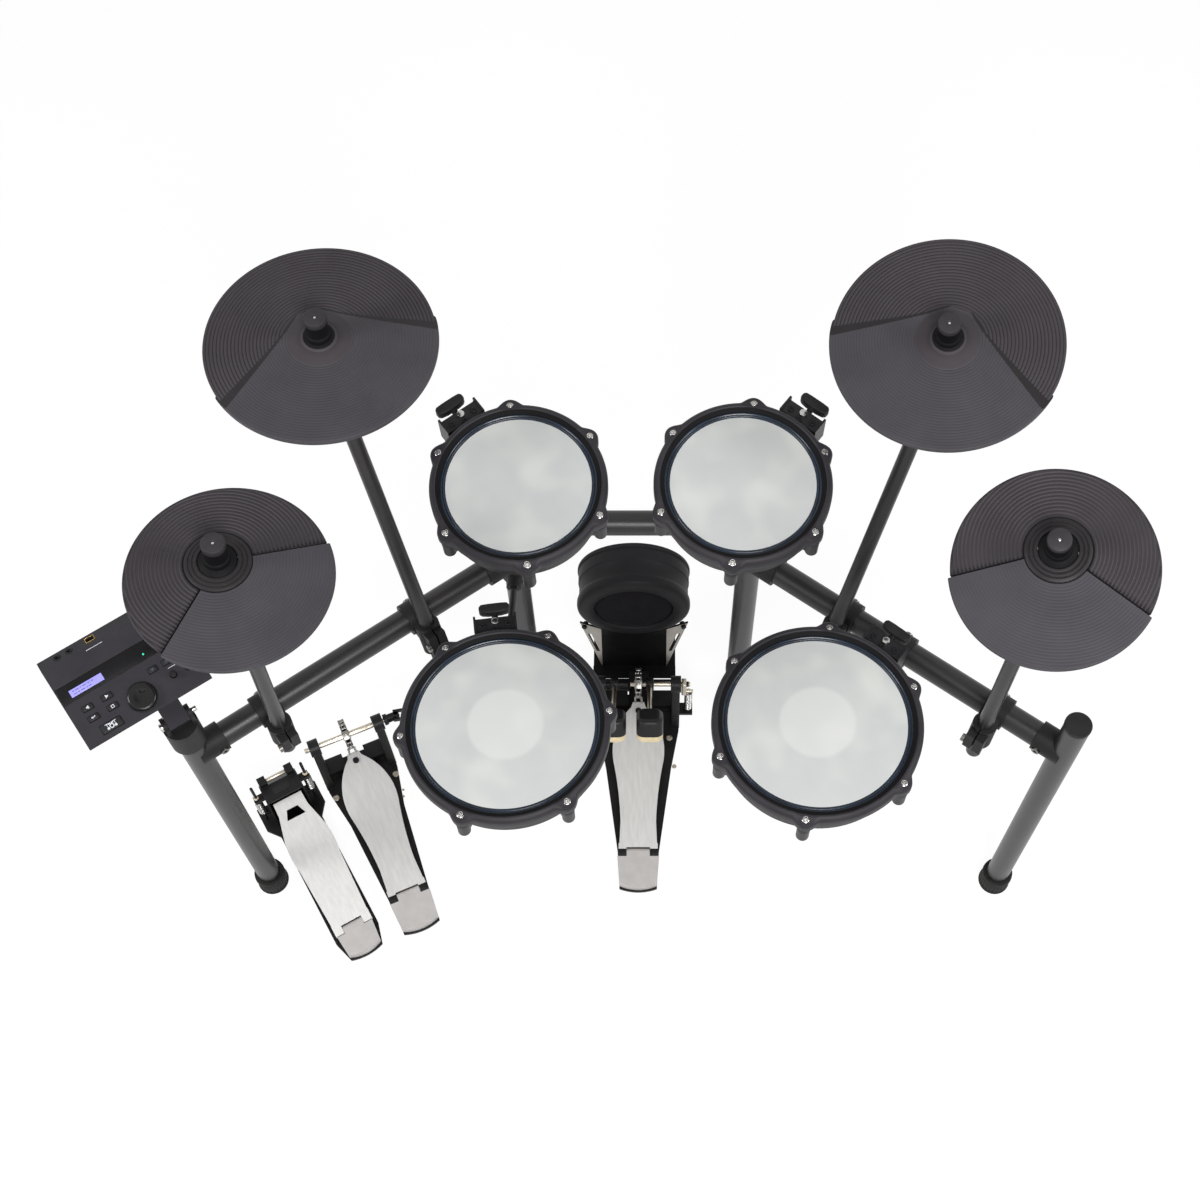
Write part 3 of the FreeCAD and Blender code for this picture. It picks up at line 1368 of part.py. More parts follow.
def pedal_base(pedal, front):
    """The floor plate, the two front blocks and the two posts of a bass-drum pedal."""
    wide = S["base_half_width"] + (pedal.spread - S["slave_post_spread"])
    back = S["hinge_setback"] + S["heel_length"] + 3
    outline = mirrored([
        (S["heel_half_width"] * 0.9, 6 - back), (S["heel_half_width"], -S["hinge_setback"] + 6),
        (wide - 8, -S["post_foot"] * 2.4), (wide + 6, -S["post_foot"] * 0.8), (wide + 8, front)])
    outline[-1] = outline[-1] + ((0, -back),)
    floor = plate("PedalFloor", outline, S["base_thickness"])
    inner = S["footboard_toe"] + 7
    length = pedal.spread - inner
    blocks = [block(length, 30.0, 20.0, at(
        sign * (inner + length / 2), front - 15, S["base_thickness"] - 1)) for sign in (-1, 1)]
    body = fuse(floor, pedal_post(pedal.spread, -1), pedal_post(pedal.spread, 1), *blocks)
    bore = cylinder(S["axle_radius"] + S["turning_gap"], pedal.spread * 4, at(
        pedal.spread * -2, 0, S["axle_height"], SIDEWAYS))
    base = cut(body, bore)
    base.Placement = pedal.place
    return base


def hat_base():
    """The hi-hat pedal's floor plate with two side rails, widened at the front to carry the springs."""
    half = S["hat_base_half"]
    base = S["base_thickness"]
    front = S["hat_cover_to"]
    back = S["hat_heel_length"] + 2.5
    rail = S["hat_rail"]
    edge = S["hinge_half_width"] + 1 + rail
    outline = mirrored([
        (S["hat_heel_half"] * 0.9, 5 - back), (edge, -12.0), (edge, front * 0.76), (half + 12, front * 0.84),
        (half + 12, front)])
    outline[-1] = outline[-1] + ((0, -back),)
    floor = plate("HatFloor", outline, base)
    length = front * 0.76 + 12
    rails = [block(rail, length, 8.0, at(sign * (edge - rail / 2), length / 2 - 12, base - 1))
             for sign in (-1, 1)]
    thing = fuse(floor, *rails)
    thing.Placement = HAT
    return thing


def build_pedal_bases():
    jaw = block(36.0, 26.0, 7.0, MAIN.place.multiply(at(
        0, S["tower_front_y"] - S["main_pedal_y"] - S["tower_lip_length"] - 3,
        S["tower_lip_height"] + S["fit_gap"])))
    jaw_leg = block(36.0, 7.0, S["tower_lip_height"] + 2, MAIN.place.multiply(at(
        0, S["tower_front_y"] - S["main_pedal_y"] - S["tower_lip_length"] - 12.5, S["base_thickness"])))
    tab_reach = S["post_width"] / 2 + S["kick_spring_out"] + 8
    tab = block(tab_reach, 22.0, S["spring_tab_thickness"], MAIN.place.multiply(at(
        S["main_post_spread"] + tab_reach / 2, S["kick_spring_ahead"] - 2,
        S["spring_tab_height"] - S["spring_tab_thickness"])))
    tongue = block(36.0, 26.0, S["base_thickness"], MAIN.place.multiply(at(0, S["base_front"] + 7, 0)))
    main = fuse(pedal_base(MAIN, S["base_front"]), tongue, jaw, jaw_leg, tab)
    slave = pedal_base(SLAVE, S["slave_base_front"])
    node("pedal_bases", collect(main, slave, hat_base()))


def heel_plate(half, length, tongue):
    """A heel plate with a rounded back and a hinge tongue, and its hinge pin."""
    hinge = S["hinge_height"]
    gap = S["loose_gap"]
    knuckle = S["hinge_knuckle"]
    base = S["base_thickness"]
    start = knuckle + 1.5
    thick = hinge + knuckle - base
    slab = plate("HeelSlab", [
        (-half, -start), (half * -0.9, 7 - length, (0, -length)), (half * 0.9, 7 - length),
        (half, -start)], thick)
    slab.Placement = at(0, 0, base)
    arm = block(tongue * 2, start + 4, thick, at(0, -start / 2 - 2, base))
    barrel = cylinder(knuckle, tongue * 2, at(-tongue, 0, hinge, SIDEWAYS))
    room = cylinder(knuckle + gap, half, at(tongue, 0, hinge, SIDEWAYS))
    other = cylinder(knuckle + gap, half, at(-tongue - half, 0, hinge, SIDEWAYS))
    bore = cylinder(S["hinge_pin"] + S["fit_gap"], half * 3, at(half * -1.5, 0, hinge, SIDEWAYS))
    body = cut(fuse(slab, arm, barrel), room, other, bore)
    pin = cylinder(S["hinge_pin"], S["hinge_half_width"] * 2, at(-S["hinge_half_width"], 0, hinge, SIDEWAYS))
    return collect(body, pin)


def pedal_hinge(pedal):
    return pedal.place.multiply(at(0, -S["hinge_setback"], 0))


def build_heels():
    wide = heel_plate(S["heel_half_width"], S["heel_length"], S["heel_tongue"])
    narrow = heel_plate(S["hat_heel_half"], S["hat_heel_length"], S["hat_tongue"])
    node("pedal_heels", collect(copy(wide, pedal_hinge(MAIN)), copy(wide, pedal_hinge(SLAVE)),
                                copy(narrow, HAT)))


def footboard_knuckles(tongue, thickness):
    """The two outer hinge barrels of a footboard and the flanges that join them to the board."""
    knuckle = S["hinge_knuckle"]
    gap = S["loose_gap"]
    width = S["hinge_half_width"] - tongue - gap
    solids = []
    for sign in (-1, 1):
        start = tongue + gap if sign > 0 else -S["hinge_half_width"]
        middle = sign * (S["hinge_half_width"] + tongue + gap) / 2
        solids.append(cylinder(knuckle, width, at(start, 0, 0, SIDEWAYS)))
        solids.append(block(width, knuckle * 2.9, thickness, at(
            middle, knuckle * 0.75, knuckle - thickness)))
    return solids


def footboard(outline, tongue, thickness):
    """A footboard hinged at its own origin, level, with Y to the toe."""
    knuckle = S["hinge_knuckle"]
    board = plate("FootBoard", outline, thickness)
    board.Placement = at(0, 0, knuckle - thickness)
    bore = cylinder(S["hinge_pin"] + S["turning_gap"], S["hinge_half_width"] * 4, at(
        S["hinge_half_width"] * -2, 0, 0, SIDEWAYS))
    return cut(fuse(board, *footboard_knuckles(tongue, thickness)), bore)


def build_footboards():
    length = S["footboard_length"]
    start = S["hinge_knuckle"] + 1.5
    widest = S["footboard_widest"]
    waist = S["footboard_waist"]
    toe = S["footboard_toe"]
    outline = mirrored([
        (S["hinge_half_width"] - 1, start), (waist, length * 0.2, (waist + 3.5, length * 0.38)),
        (widest, length * 0.6, (widest * 0.93, length * 0.79)), (toe, length * 0.965), (toe - 3, length)])
    thickness = S["footboard_thickness"]
    tilt = Rotation(RIGHT, float(S["footboard_rise"]))
    board = footboard(outline, S["heel_tongue"], thickness)
    lift = at(0, 0, S["hinge_height"], tilt)
    node("main_footboard", collect(copy(board, HERE)), pedal_hinge(MAIN).multiply(lift))
    node("slave_footboard", collect(copy(board, HERE)), pedal_hinge(SLAVE).multiply(lift))
    hat_length = S["hat_board_length"]
    hat_widest = S["hat_board_widest"]
    hat_toe = S["hat_board_toe"]
    hat_outline = mirrored([
        (S["hinge_half_width"] - 1, start),
        (hat_widest - 2, hat_length * 0.5, (hat_widest, hat_length * 0.62)),
        (hat_widest - 2, hat_length * 0.72), (hat_toe, hat_length * 0.9), (hat_toe - 1, hat_length)])
    hat_board = footboard(hat_outline, S["hat_tongue"], thickness)
    slot = plate("HatSlot", [
        (-17.0, hat_length * 0.85), (17.0, hat_length * 0.85), (10.0, hat_length * 0.92),
        (-10.0, hat_length * 0.92)], thickness * 8, middle=True)
    hat_lift = at(0, 0, S["hinge_height"], Rotation(RIGHT, float(S["hat_board_rise"])))
    node("hat_footboard", cut(hat_board, slot), HAT.multiply(hat_lift))


def yoke(place, turn):
    """A fork of a shaft coupling: a hub and two prongs, pointing along X at its place."""
    gap = S["yoke_gap"]
    thick = S["yoke_thickness"]
    length = S["yoke_length"]
    hub = cylinder(gap + thick, 7.0, at(-length - 5, 0, 0, SIDEWAYS))
    prongs = [block(length + 7, S["yoke_width"], thick, at(
        (S["yoke_width"] / 2 - length - 1) / 2, 0, gap if sign > 0 else -gap - thick)) for sign in (-1, 1)]
    thing = fuse(hub, *prongs)
    thing.Placement = place.multiply(at(0, 0, 0, Rotation(RIGHT, turn)))
    return thing


def beater_solids(along):
    """Hub and rod as one solid list, then the plastic and felt halves of the head."""
    width = S["beater_width"] / 2
    tall = S["beater_tall"] / 2
    corner = S["beater_corner"]
    length = S["beater_length"]
    bulge = corner * (1 - math.sqrt(0.5))
    outline = [
        (corner - width, -tall), (width - corner, -tall, (width - bulge, bulge - tall)),
        (width, corner - tall),
        (width, tall - corner, (width - bulge, tall - bulge)), (width - corner, tall),
        (corner - width, tall, (bulge - width, tall - bulge)), (-width, tall - corner),
        (-width, corner - tall, (bulge - width, bulge - tall))]
    plastic = plate("BeaterPlastic", outline, S["beater_plastic"], plane="XZ_Plane")
    felt = plate("BeaterFelt", outline, S["beater_felt"], plane="XZ_Plane")
    plastic.Placement = at(along, S["beater_plastic"], length)
    felt.Placement = at(along, 0, length)
    bore = cylinder(S["beater_rod"], length + tall, at(along, 0, 0))
    hub = cylinder(S["beater_hub"], 14.0, at(along - 7, 0, 0, SIDEWAYS))
    rod = cylinder(S["beater_rod"], length - 2, at(along, 0, 0))
    drilled = cut(plastic, bore)
    felt_cut = cut(felt, copy(bore, bore.Placement))
    return [hub, rod], [drilled, felt_cut]


def build_beaters():
    """The main pedal's two half axles: the primary beater with its cam and the secondary one."""
    spread = S["main_post_spread"]
    radius = S["axle_radius"]
    end = spread + S["post_width"] / 2 + 2
    rest = Rotation(RIGHT, float(S["beater_rest"]))
    place = MAIN.axle().multiply(Placement(Vector(), rest))
    split = S["axle_split"]
    axle = cylinder(radius, end + 16 - split, at(split, 0, 0, SIDEWAYS))
    cam = cylinder(S["cam_radius"], S["cam_width"], at(S["cam_width"] / -2, 0, 0, SIDEWAYS))
    arm_length = S["spring_arm"]
    crank = block(6.0, 14.0, arm_length + 12, at(0, 0, -arm_length - 4))
    stud = cylinder(S["spring_stud"], S["kick_spring_out"] + 2, at(0, 0, -arm_length, SIDEWAYS))
    lever = fuse(crank, stud)
    lever.Placement = at(end + 4, 0, 0, Rotation(RIGHT, -float(S["beater_rest"] + S["spring_arm_turn"])))
    metal, head = beater_solids(S["primary_beater_at"])
    node("primary_beater", collect(fuse(axle, cam, lever, *metal), *head), place)
    far = -end - S["post_width"] / 2 - 4
    left_axle = cylinder(radius, split - 4 - far, at(far, 0, 0, SIDEWAYS))
    fork = yoke(at(-spread - S["coupling_out"], 0, 0, Rotation(UP, 180.0)), float(S["beater_rest"]))
    metal, head = beater_solids(S["secondary_beater_at"])
    node("secondary_beater", collect(fuse(left_axle, fork, *metal), *head), place)


def build_slave_drive():
    """The slave pedal's hexagon axle with its cam, and the shaft that drives the second beater."""
    spread = S["slave_post_spread"]
    radius = S["axle_radius"]
    end = spread + S["post_width"] / 2 + 2
    journals = [cylinder(radius, S["post_width"] + 20, at(
        sign * spread - S["post_width"] / 2 - 10, 0, 0, SIDEWAYS)) for sign in (-1, 1)]
    inner = spread - S["post_width"] / 2 - 3
    bar = hexagon(radius + 0.8, inner * 2, at(-inner, 0, 0, SIDEWAYS))
    cam = cylinder(S["cam_radius"], S["cam_width"], at(S["cam_width"] / -2, 0, 0, SIDEWAYS))
    tail = cylinder(radius, S["coupling_out"] - S["yoke_length"], at(end - 6, 0, 0, SIDEWAYS))
    fork = yoke(at(spread + S["coupling_out"], 0, 0), 0.0)
    node("slave_axle", fuse(bar, cam, tail, fork, *journals), SLAVE.axle())
    start = SLAVE.axle(spread + S["coupling_out"]).Base
    finish = MAIN.axle(-S["main_post_spread"] - S["coupling_out"]).Base
    along = (finish - start).normalize()
    length = (finish - start).Length
    reach = S["yoke_length"]
    shaft = cylinder(S["drive_shaft_radius"], length - reach * 2, at(reach, 0, 0, SIDEWAYS))
    near = yoke(at(0, 0, 0, Rotation(UP, 180.0)), 90.0)
    far = yoke(at(length, 0, 0), 90.0)
    spiders = [ball(S["spider_radius"], at(0, 0, 0)), ball(S["spider_radius"], at(length, 0, 0))]
    stems = [cylinder(2.0, S["yoke_gap"] * 2 + 2, at(x, S["yoke_gap"] + 1, 0, Rotation(UP, Vector(0, -1, 0))))
             for x in (0.0, length)]
    level = UP.cross(along)
    node("drive_shaft", fuse(shaft, near, far, *spiders, *stems), frame(start, along, level))


def chain_points(toe):
    """Pin centres of a chain over a cam and down to a footboard's toe, in the plane across the axle."""
    radius = float(S["cam_radius"] + S["chain_plate_height"] / 2 + S["chain_lift"])
    pitch = float(S["chain_pitch"])
    step = 2 * math.asin(pitch / 2 / radius)
    distance = toe.Length
    leave = math.atan2(toe.z, toe.y) + math.acos(radius / distance)
    straight = math.sqrt(distance ** 2 - radius ** 2)
    count = int(straight / pitch)
    tangent = Vector(0, math.sin(leave), -math.cos(leave))
    edge = Vector(0, math.cos(leave) * radius, math.sin(leave) * radius)
    points = [edge + tangent * (pitch * index) for index in range(count, 0, -1)]
    wrapped = 11
    points += [Vector(0, math.cos(leave + step * index) * radius, math.sin(leave + step * index) * radius)
               for index in range(wrapped)]
    return points


def chain_link(start, end, half_width):
    """Two side plates, rounded at both ends, that join two chain pins."""
    along = end - start
    turn = Rotation(Vector(0, 1, 0), along)
    half = S["chain_plate_height"] / 2
    length = along.Length
    outline = [
        (-half, 0, (0, -half)), (half, 0), (half, length, (0, length + float(half))), (-half, length)]
    solids = []
    for sign in (-1, 1):
        side = plate("ChainPlate", outline, S["chain_plate"], middle=True)
        side.Placement = Placement(start + RIGHT * (sign * float(half_width)), turn.multiply(
            Rotation(Vector(0, 1, 0), 90.0)))
        solids.append(side)
    return solids


def chain(toe):
    """A roller chain: wide and narrow links in turn, on pins with rollers."""
    points = chain_points(toe)
    wide = S["chain_link_width"] / 2
    narrow = wide - S["chain_plate"] - 0.4
    solids = []
    for index, point in enumerate(points):
        pin_length = S["chain_link_width"] + S["chain_plate"]
        solids.append(cylinder(S["chain_roller"], pin_length, at(
            pin_length / -2, point.y, point.z, SIDEWAYS)))
        if index + 1 < len(points):
            solids += chain_link(point, points[index + 1], wide if index % 2 else narrow)
    return fuse(*solids)


def build_chains():
    rise = math.radians(float(S["footboard_rise"]))
    length = float(S["footboard_length"])
    lift = float(S["hinge_knuckle"])
    ahead = length * math.cos(rise) - lift * math.sin(rise) - float(S["hinge_setback"])
    above = length * math.sin(rise) + lift * math.cos(rise) + float(S["hinge_height"] - S["axle_height"])
    toe = Vector(0, ahead + 6, above + 4)
    links = chain(toe)
    node("pedal_chains", collect(copy(links, MAIN.axle()), copy(links, SLAVE.axle())))


# Springs

def biarc(start, start_way, end, end_way):
    """Two arcs that leave one point and reach another along given directions."""
    span = end - start
    both = start_way + end_way
    square = both.dot(both) - 4
    linear = -2 * span.dot(both)
    constant = span.dot(span)
    reach = (-linear - math.sqrt(linear ** 2 - 4 * square * constant)) / (2 * square)
    if reach < 0:
        reach = (-linear + math.sqrt(linear ** 2 - 4 * square * constant)) / (2 * square)
    middle = (start + start_way * reach + end - end_way * reach) * 0.5
    return [arc_from(start, start_way, middle), arc_from(end, end_way * -1, middle)]


def arc_from(point, way, end):
    """An arc that leaves a point along a direction and ends at another point."""
    chord = end - point
    inward = (chord - way * chord.dot(way)).normalize()
    radius = chord.dot(chord) / (2 * inward.dot(chord))
    centre = point + inward * radius
    middle = centre + ((point - centre) + (end - centre)).normalize() * radius
    return Part.Arc(point, middle, end).toShape()


def spring_shape(turns, pitch):
    """A close-wound extension spring about Z with straight ends, and its least gap to itself."""
    radius = float(S["spring_mean_radius"])
    wire = float(S["spring_wire"])
    quarter = math.pi / 2
    climb = float(pitch) / 4
    slope = Vector(0, radius, float(pitch) / (2 * math.pi)).normalize()
    edges = []
    points = []
    for index in range(int(turns) * 4):
        ends = []
        for step in (index, index + 1):
            turn = Rotation(UP, math.degrees(step * quarter))
            ends.append((turn.multVec(Vector(radius, 0, 0)) + UP * (climb * step), turn.multVec(slope)))
        edges += biarc(ends[0][0], ends[0][1], ends[1][0], ends[1][1])
        points.append(ends[0])
    first, way = points[0]
    last, last_way = ends[1]
    edges.insert(0, Part.makeLine(first - way * wire, first))
    edges.append(Part.makeLine(last, last + last_way * wire))
    path = Part.Wire(Part.__sortEdges__(edges))
    section = Part.Wire(Part.makeCircle(wire / 2, first - way * wire, way))
    pipe = Part.BRepOffsetAPI.MakePipeShell(path)
    pipe.add(section)
    pipe.build()
    pipe.makeSolid()
    gap = min((a[0] - b[0]).Length for i, a in enumerate(points) for b in points[i + 3:]) - wire
    print(f"spring of {int(turns)} turns: least gap to itself {gap:.2f} mm")
    return pipe.shape()


def spring(name, turns, pitch, place):
    thing = doc.addObject("Part::Feature", name)
    thing.Shape = spring_shape(turns, pitch)
    thing.Placement = place
    return thing


def build_springs():
    out = S["main_post_spread"] + S["post_width"] / 2 + S["kick_spring_out"]
    end_room = S["spring_seat_gap"] + S["spring_wire"] * 0.62
    bottom = S["spring_tab_height"] + end_room
    stud_drop = S["spring_arm"] * math.cos(math.radians(float(S["spring_arm_turn"]))) + S["spring_stud"]
    top = S["axle_height"] - stud_drop - end_room
    kick = spring("KickSpring", S["kick_spring_turns"], (top - bottom) / S["kick_spring_turns"],
                  MAIN.place.multiply(at(out, S["kick_spring_ahead"], bottom)))
    side = S["hat_cover_half"] + S["hat_spring_out"]
    middle = (S["hat_cover_from"] + S["hat_cover_to"]) / 2
    hats = [spring(f"HatSpring{label}", S["hat_spring_turns"], S["hat_spring_pitch"],
                   HAT.multiply(at(sign * side, middle, S["hat_spring_bottom"])))
            for label, sign in (("Left", -1), ("Right", 1))]
    node("pedal_springs", collect(kick, *hats))


def build_hat_cover():
    """The hi-hat pedal's sensor cover: a hood with spring arms, rods, and ears that hold a bar."""
    half = S["hat_cover_half"]
    wall = S["hat_cover_wall"]
    back = S["hat_cover_from"]
    front = S["hat_cover_to"]
    high = S["hat_cover_height"]
    base = S["base_thickness"]
    hood = plate("HatHood", [
        (back, base), (front, base), (front, high - 18), (front - 14, high), (back, high)],
        half * 2, plane="YZ_Plane", middle=True)
    room = plate("HatRoom", [
        (back - 1, base - 1), (front - wall, base - 1), (front - wall, high - 20),
        (front - 16, high - wall), (back - 1, high - wall)],
        half * 2 - wall * 2, plane="YZ_Plane", middle=True)
    solids = [hood]
    middle = (back + front) / 2
    side = half + S["hat_spring_out"]
    end_room = S["spring_seat_gap"] + S["spring_wire"] * 0.62
    arm_height = 8.0
    ear = 14.0
    top = S["hat_spring_bottom"] + S["hat_spring_turns"] * S["hat_spring_pitch"] + end_room
    for sign in (-1, 1):
        for low in (top, S["hat_spring_bottom"] - end_room - arm_height):
            solids.append(block(S["hat_spring_out"] + 8, 12.0, arm_height, at(
                sign * (half + S["hat_spring_out"] / 2 + 1), middle, low)))
        solids.append(cylinder(2.5, S["hat_rod_height"] - base, at(sign * side, middle, base)))
        ear_at = half - ear / 2 - 2
        solids.append(block(ear, 16.0, 20 + S["hat_ear_rise"], at(sign * ear_at, front - 8, high - 20)))
    bar_length = (half - ear - 2) * 2
    bar = cylinder(3.5, bar_length, at(bar_length / -2, front - 8, high + S["hat_ear_rise"] - 7, SIDEWAYS))
    node("hat_cover", collect(cut(fuse(*solids), room), bar), HAT)


def export(folder):
    """Write one STEP file for each finished sub-part, after checking every object."""
    doc.recompute()
    broken = [thing.Label for thing in doc.Objects
              if any(word in thing.State for word in ("Invalid", "Error"))]
    for thing in NODES:
        if thing.Shape.isNull() or not thing.Shape.isValid() or not thing.Shape.Solids:
            broken.append(thing.Label)
    if broken:
        raise RuntimeError(f"failed objects: {sorted(set(broken))}")
    os.makedirs(folder, exist_ok=True)
    for thing in NODES:
        thing.Shape.exportStep(os.path.join(folder, f"{thing.Label}.step"))


build_legs()
build_caps()
build_feet()
build_bars()
build_bar_clamps(build_corner_clamps())
build_arms()
build_cymbals()
build_pad_rods()
build_pads()
build_module_bracket()
build_module()
build_kick()
build_pedal_bases()
build_heels()
build_footboards()
build_beaters()
build_slave_drive()
build_chains()
build_springs()
build_hat_cover()
export("parts")
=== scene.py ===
"""Looks of an electronic drum kit: meshes, finishes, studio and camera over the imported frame.

Lengths are millimetres in the frame's own axes, X to the player's right, Y away from the player and
Z up. They become metres when a mesh is made.
"""

import logging
from dataclasses import dataclass, replace
from enum import Enum
from math import acos, asin, atan2, cos, degrees, hypot, pi, radians, sin, sqrt
from typing import Callable, Optional, Sequence

import bmesh
import bpy
from bmesh.types import BMEdge, BMFace, BMesh
from bpy.types import ID, Material, Mesh, Node, NodeSocket, NodeTree, Object
from mathutils import Matrix, Vector


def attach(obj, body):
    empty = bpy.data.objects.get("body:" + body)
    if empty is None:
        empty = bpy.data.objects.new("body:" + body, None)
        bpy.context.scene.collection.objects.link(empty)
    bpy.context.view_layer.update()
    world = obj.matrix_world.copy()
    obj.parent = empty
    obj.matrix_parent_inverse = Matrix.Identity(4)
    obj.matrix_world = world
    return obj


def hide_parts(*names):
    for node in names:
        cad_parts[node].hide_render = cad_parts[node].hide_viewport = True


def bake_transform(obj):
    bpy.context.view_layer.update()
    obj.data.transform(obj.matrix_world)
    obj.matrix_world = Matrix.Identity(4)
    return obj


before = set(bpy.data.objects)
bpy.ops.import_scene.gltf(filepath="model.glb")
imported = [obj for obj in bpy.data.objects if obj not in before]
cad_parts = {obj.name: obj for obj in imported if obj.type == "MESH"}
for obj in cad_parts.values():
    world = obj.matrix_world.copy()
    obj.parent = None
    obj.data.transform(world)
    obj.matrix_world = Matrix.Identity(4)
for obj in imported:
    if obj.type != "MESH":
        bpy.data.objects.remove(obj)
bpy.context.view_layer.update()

LOG = logging.getLogger("drum_kit")
MM = 0.001
TURN = 2 * pi
UP = Vector((0, 0, 1))
RIGHT = Vector((1, 0, 0))
HERE = Matrix.Identity(4)
# Middle of the rear legs in the frame's axes
MIDDLE_X = 75.08
MIDDLE_Y = 174.38
Outline = Sequence[tuple[float, float]]


# Places

def spot(x: float, y: float, z: float = 0.0) -> Vector:
    """Turns a point measured from the middle of the rear legs into the frame's own point."""
    return Vector((x + MIDDLE_X, y + MIDDLE_Y, z))


def move(x: float, y: float, z: float = 0.0) -> Matrix:
    """A place that only moves."""
    return Matrix.Translation((x, y, z))


def turn(angle: float, axis: str) -> Matrix:
    """A place that only turns, in degrees."""
    return Matrix.Rotation(radians(angle), 4, axis)


def axes(origin: Vector, along_x: Vector, along_y: Vector) -> Matrix:
    """A place with given X and Y axes.

    Args:
        origin: where the place stands.
        along_x: direction of its X axis.
        along_y: direction of its Y axis, square to along_x.

    Returns:
        The place as a matrix.
    """
    third = along_x.cross(along_y)
    columns = Matrix((along_x, along_y, third)).transposed().to_4x4()
    return Matrix.Translation(origin) @ columns


def aim(origin: Vector, direction: Vector) -> Matrix:
    """A place whose Z axis points in a direction."""
    return Matrix.Translation(origin) @ direction.to_track_quat("Z", "Y").to_matrix().to_4x4()


def bearing(angle: float) -> Vector:
    """The level direction at an angle from X, in degrees."""
    return Vector((cos(radians(angle)), sin(radians(angle)), 0))


def on_circle(angle: float, radius: float, height: float) -> Vector:
    """The point at an angle in radians, a distance from Z and a height."""
    return Vector((radius * cos(angle), radius * sin(angle), height))


def metres(place: Matrix) -> Matrix:
    """Turns a place in millimetres into one in metres.

    Args:
        place: the place in millimetres.

    Returns:
        The place in metres.
    """
    made = place.copy()
    made.translation = place.translation * MM
    return made


# Finishes

def linear(code: str) -> tuple[float, float, float, float]:
    """Turns an sRGB hex colour into linear values with full alpha.

    Args:
        code: six hex digits after a hash.

    Returns:
        Red, green, blue and alpha.
    """
    values = []
    for start in (1, 3, 5):
        part = int(code[start:start + 2], 16) / 255
        values.append(part / 12.92 if part <= 0.04045 else ((part + 0.055) / 1.055) ** 2.4)
    return values[0], values[1], values[2], 1.0


def add(tree: NodeTree, kind: str, inputs: Optional[dict] = None, **settings) -> Node:
    """Adds a node with its settings and links.

    Args:
        tree: the node tree.
        kind: the node's type.
        inputs: values or output sockets by input name or number.
        settings: the node's own options.

    Returns:
        The new node.
    """
    made = tree.nodes.new(kind)
    for name, value in settings.items():
        setattr(made, name, value)
    for name, value in (inputs or {}).items():
        if isinstance(value, NodeSocket):
            tree.links.new(value, made.inputs[name])
        else:
            made.inputs[name].default_value = value
    return made


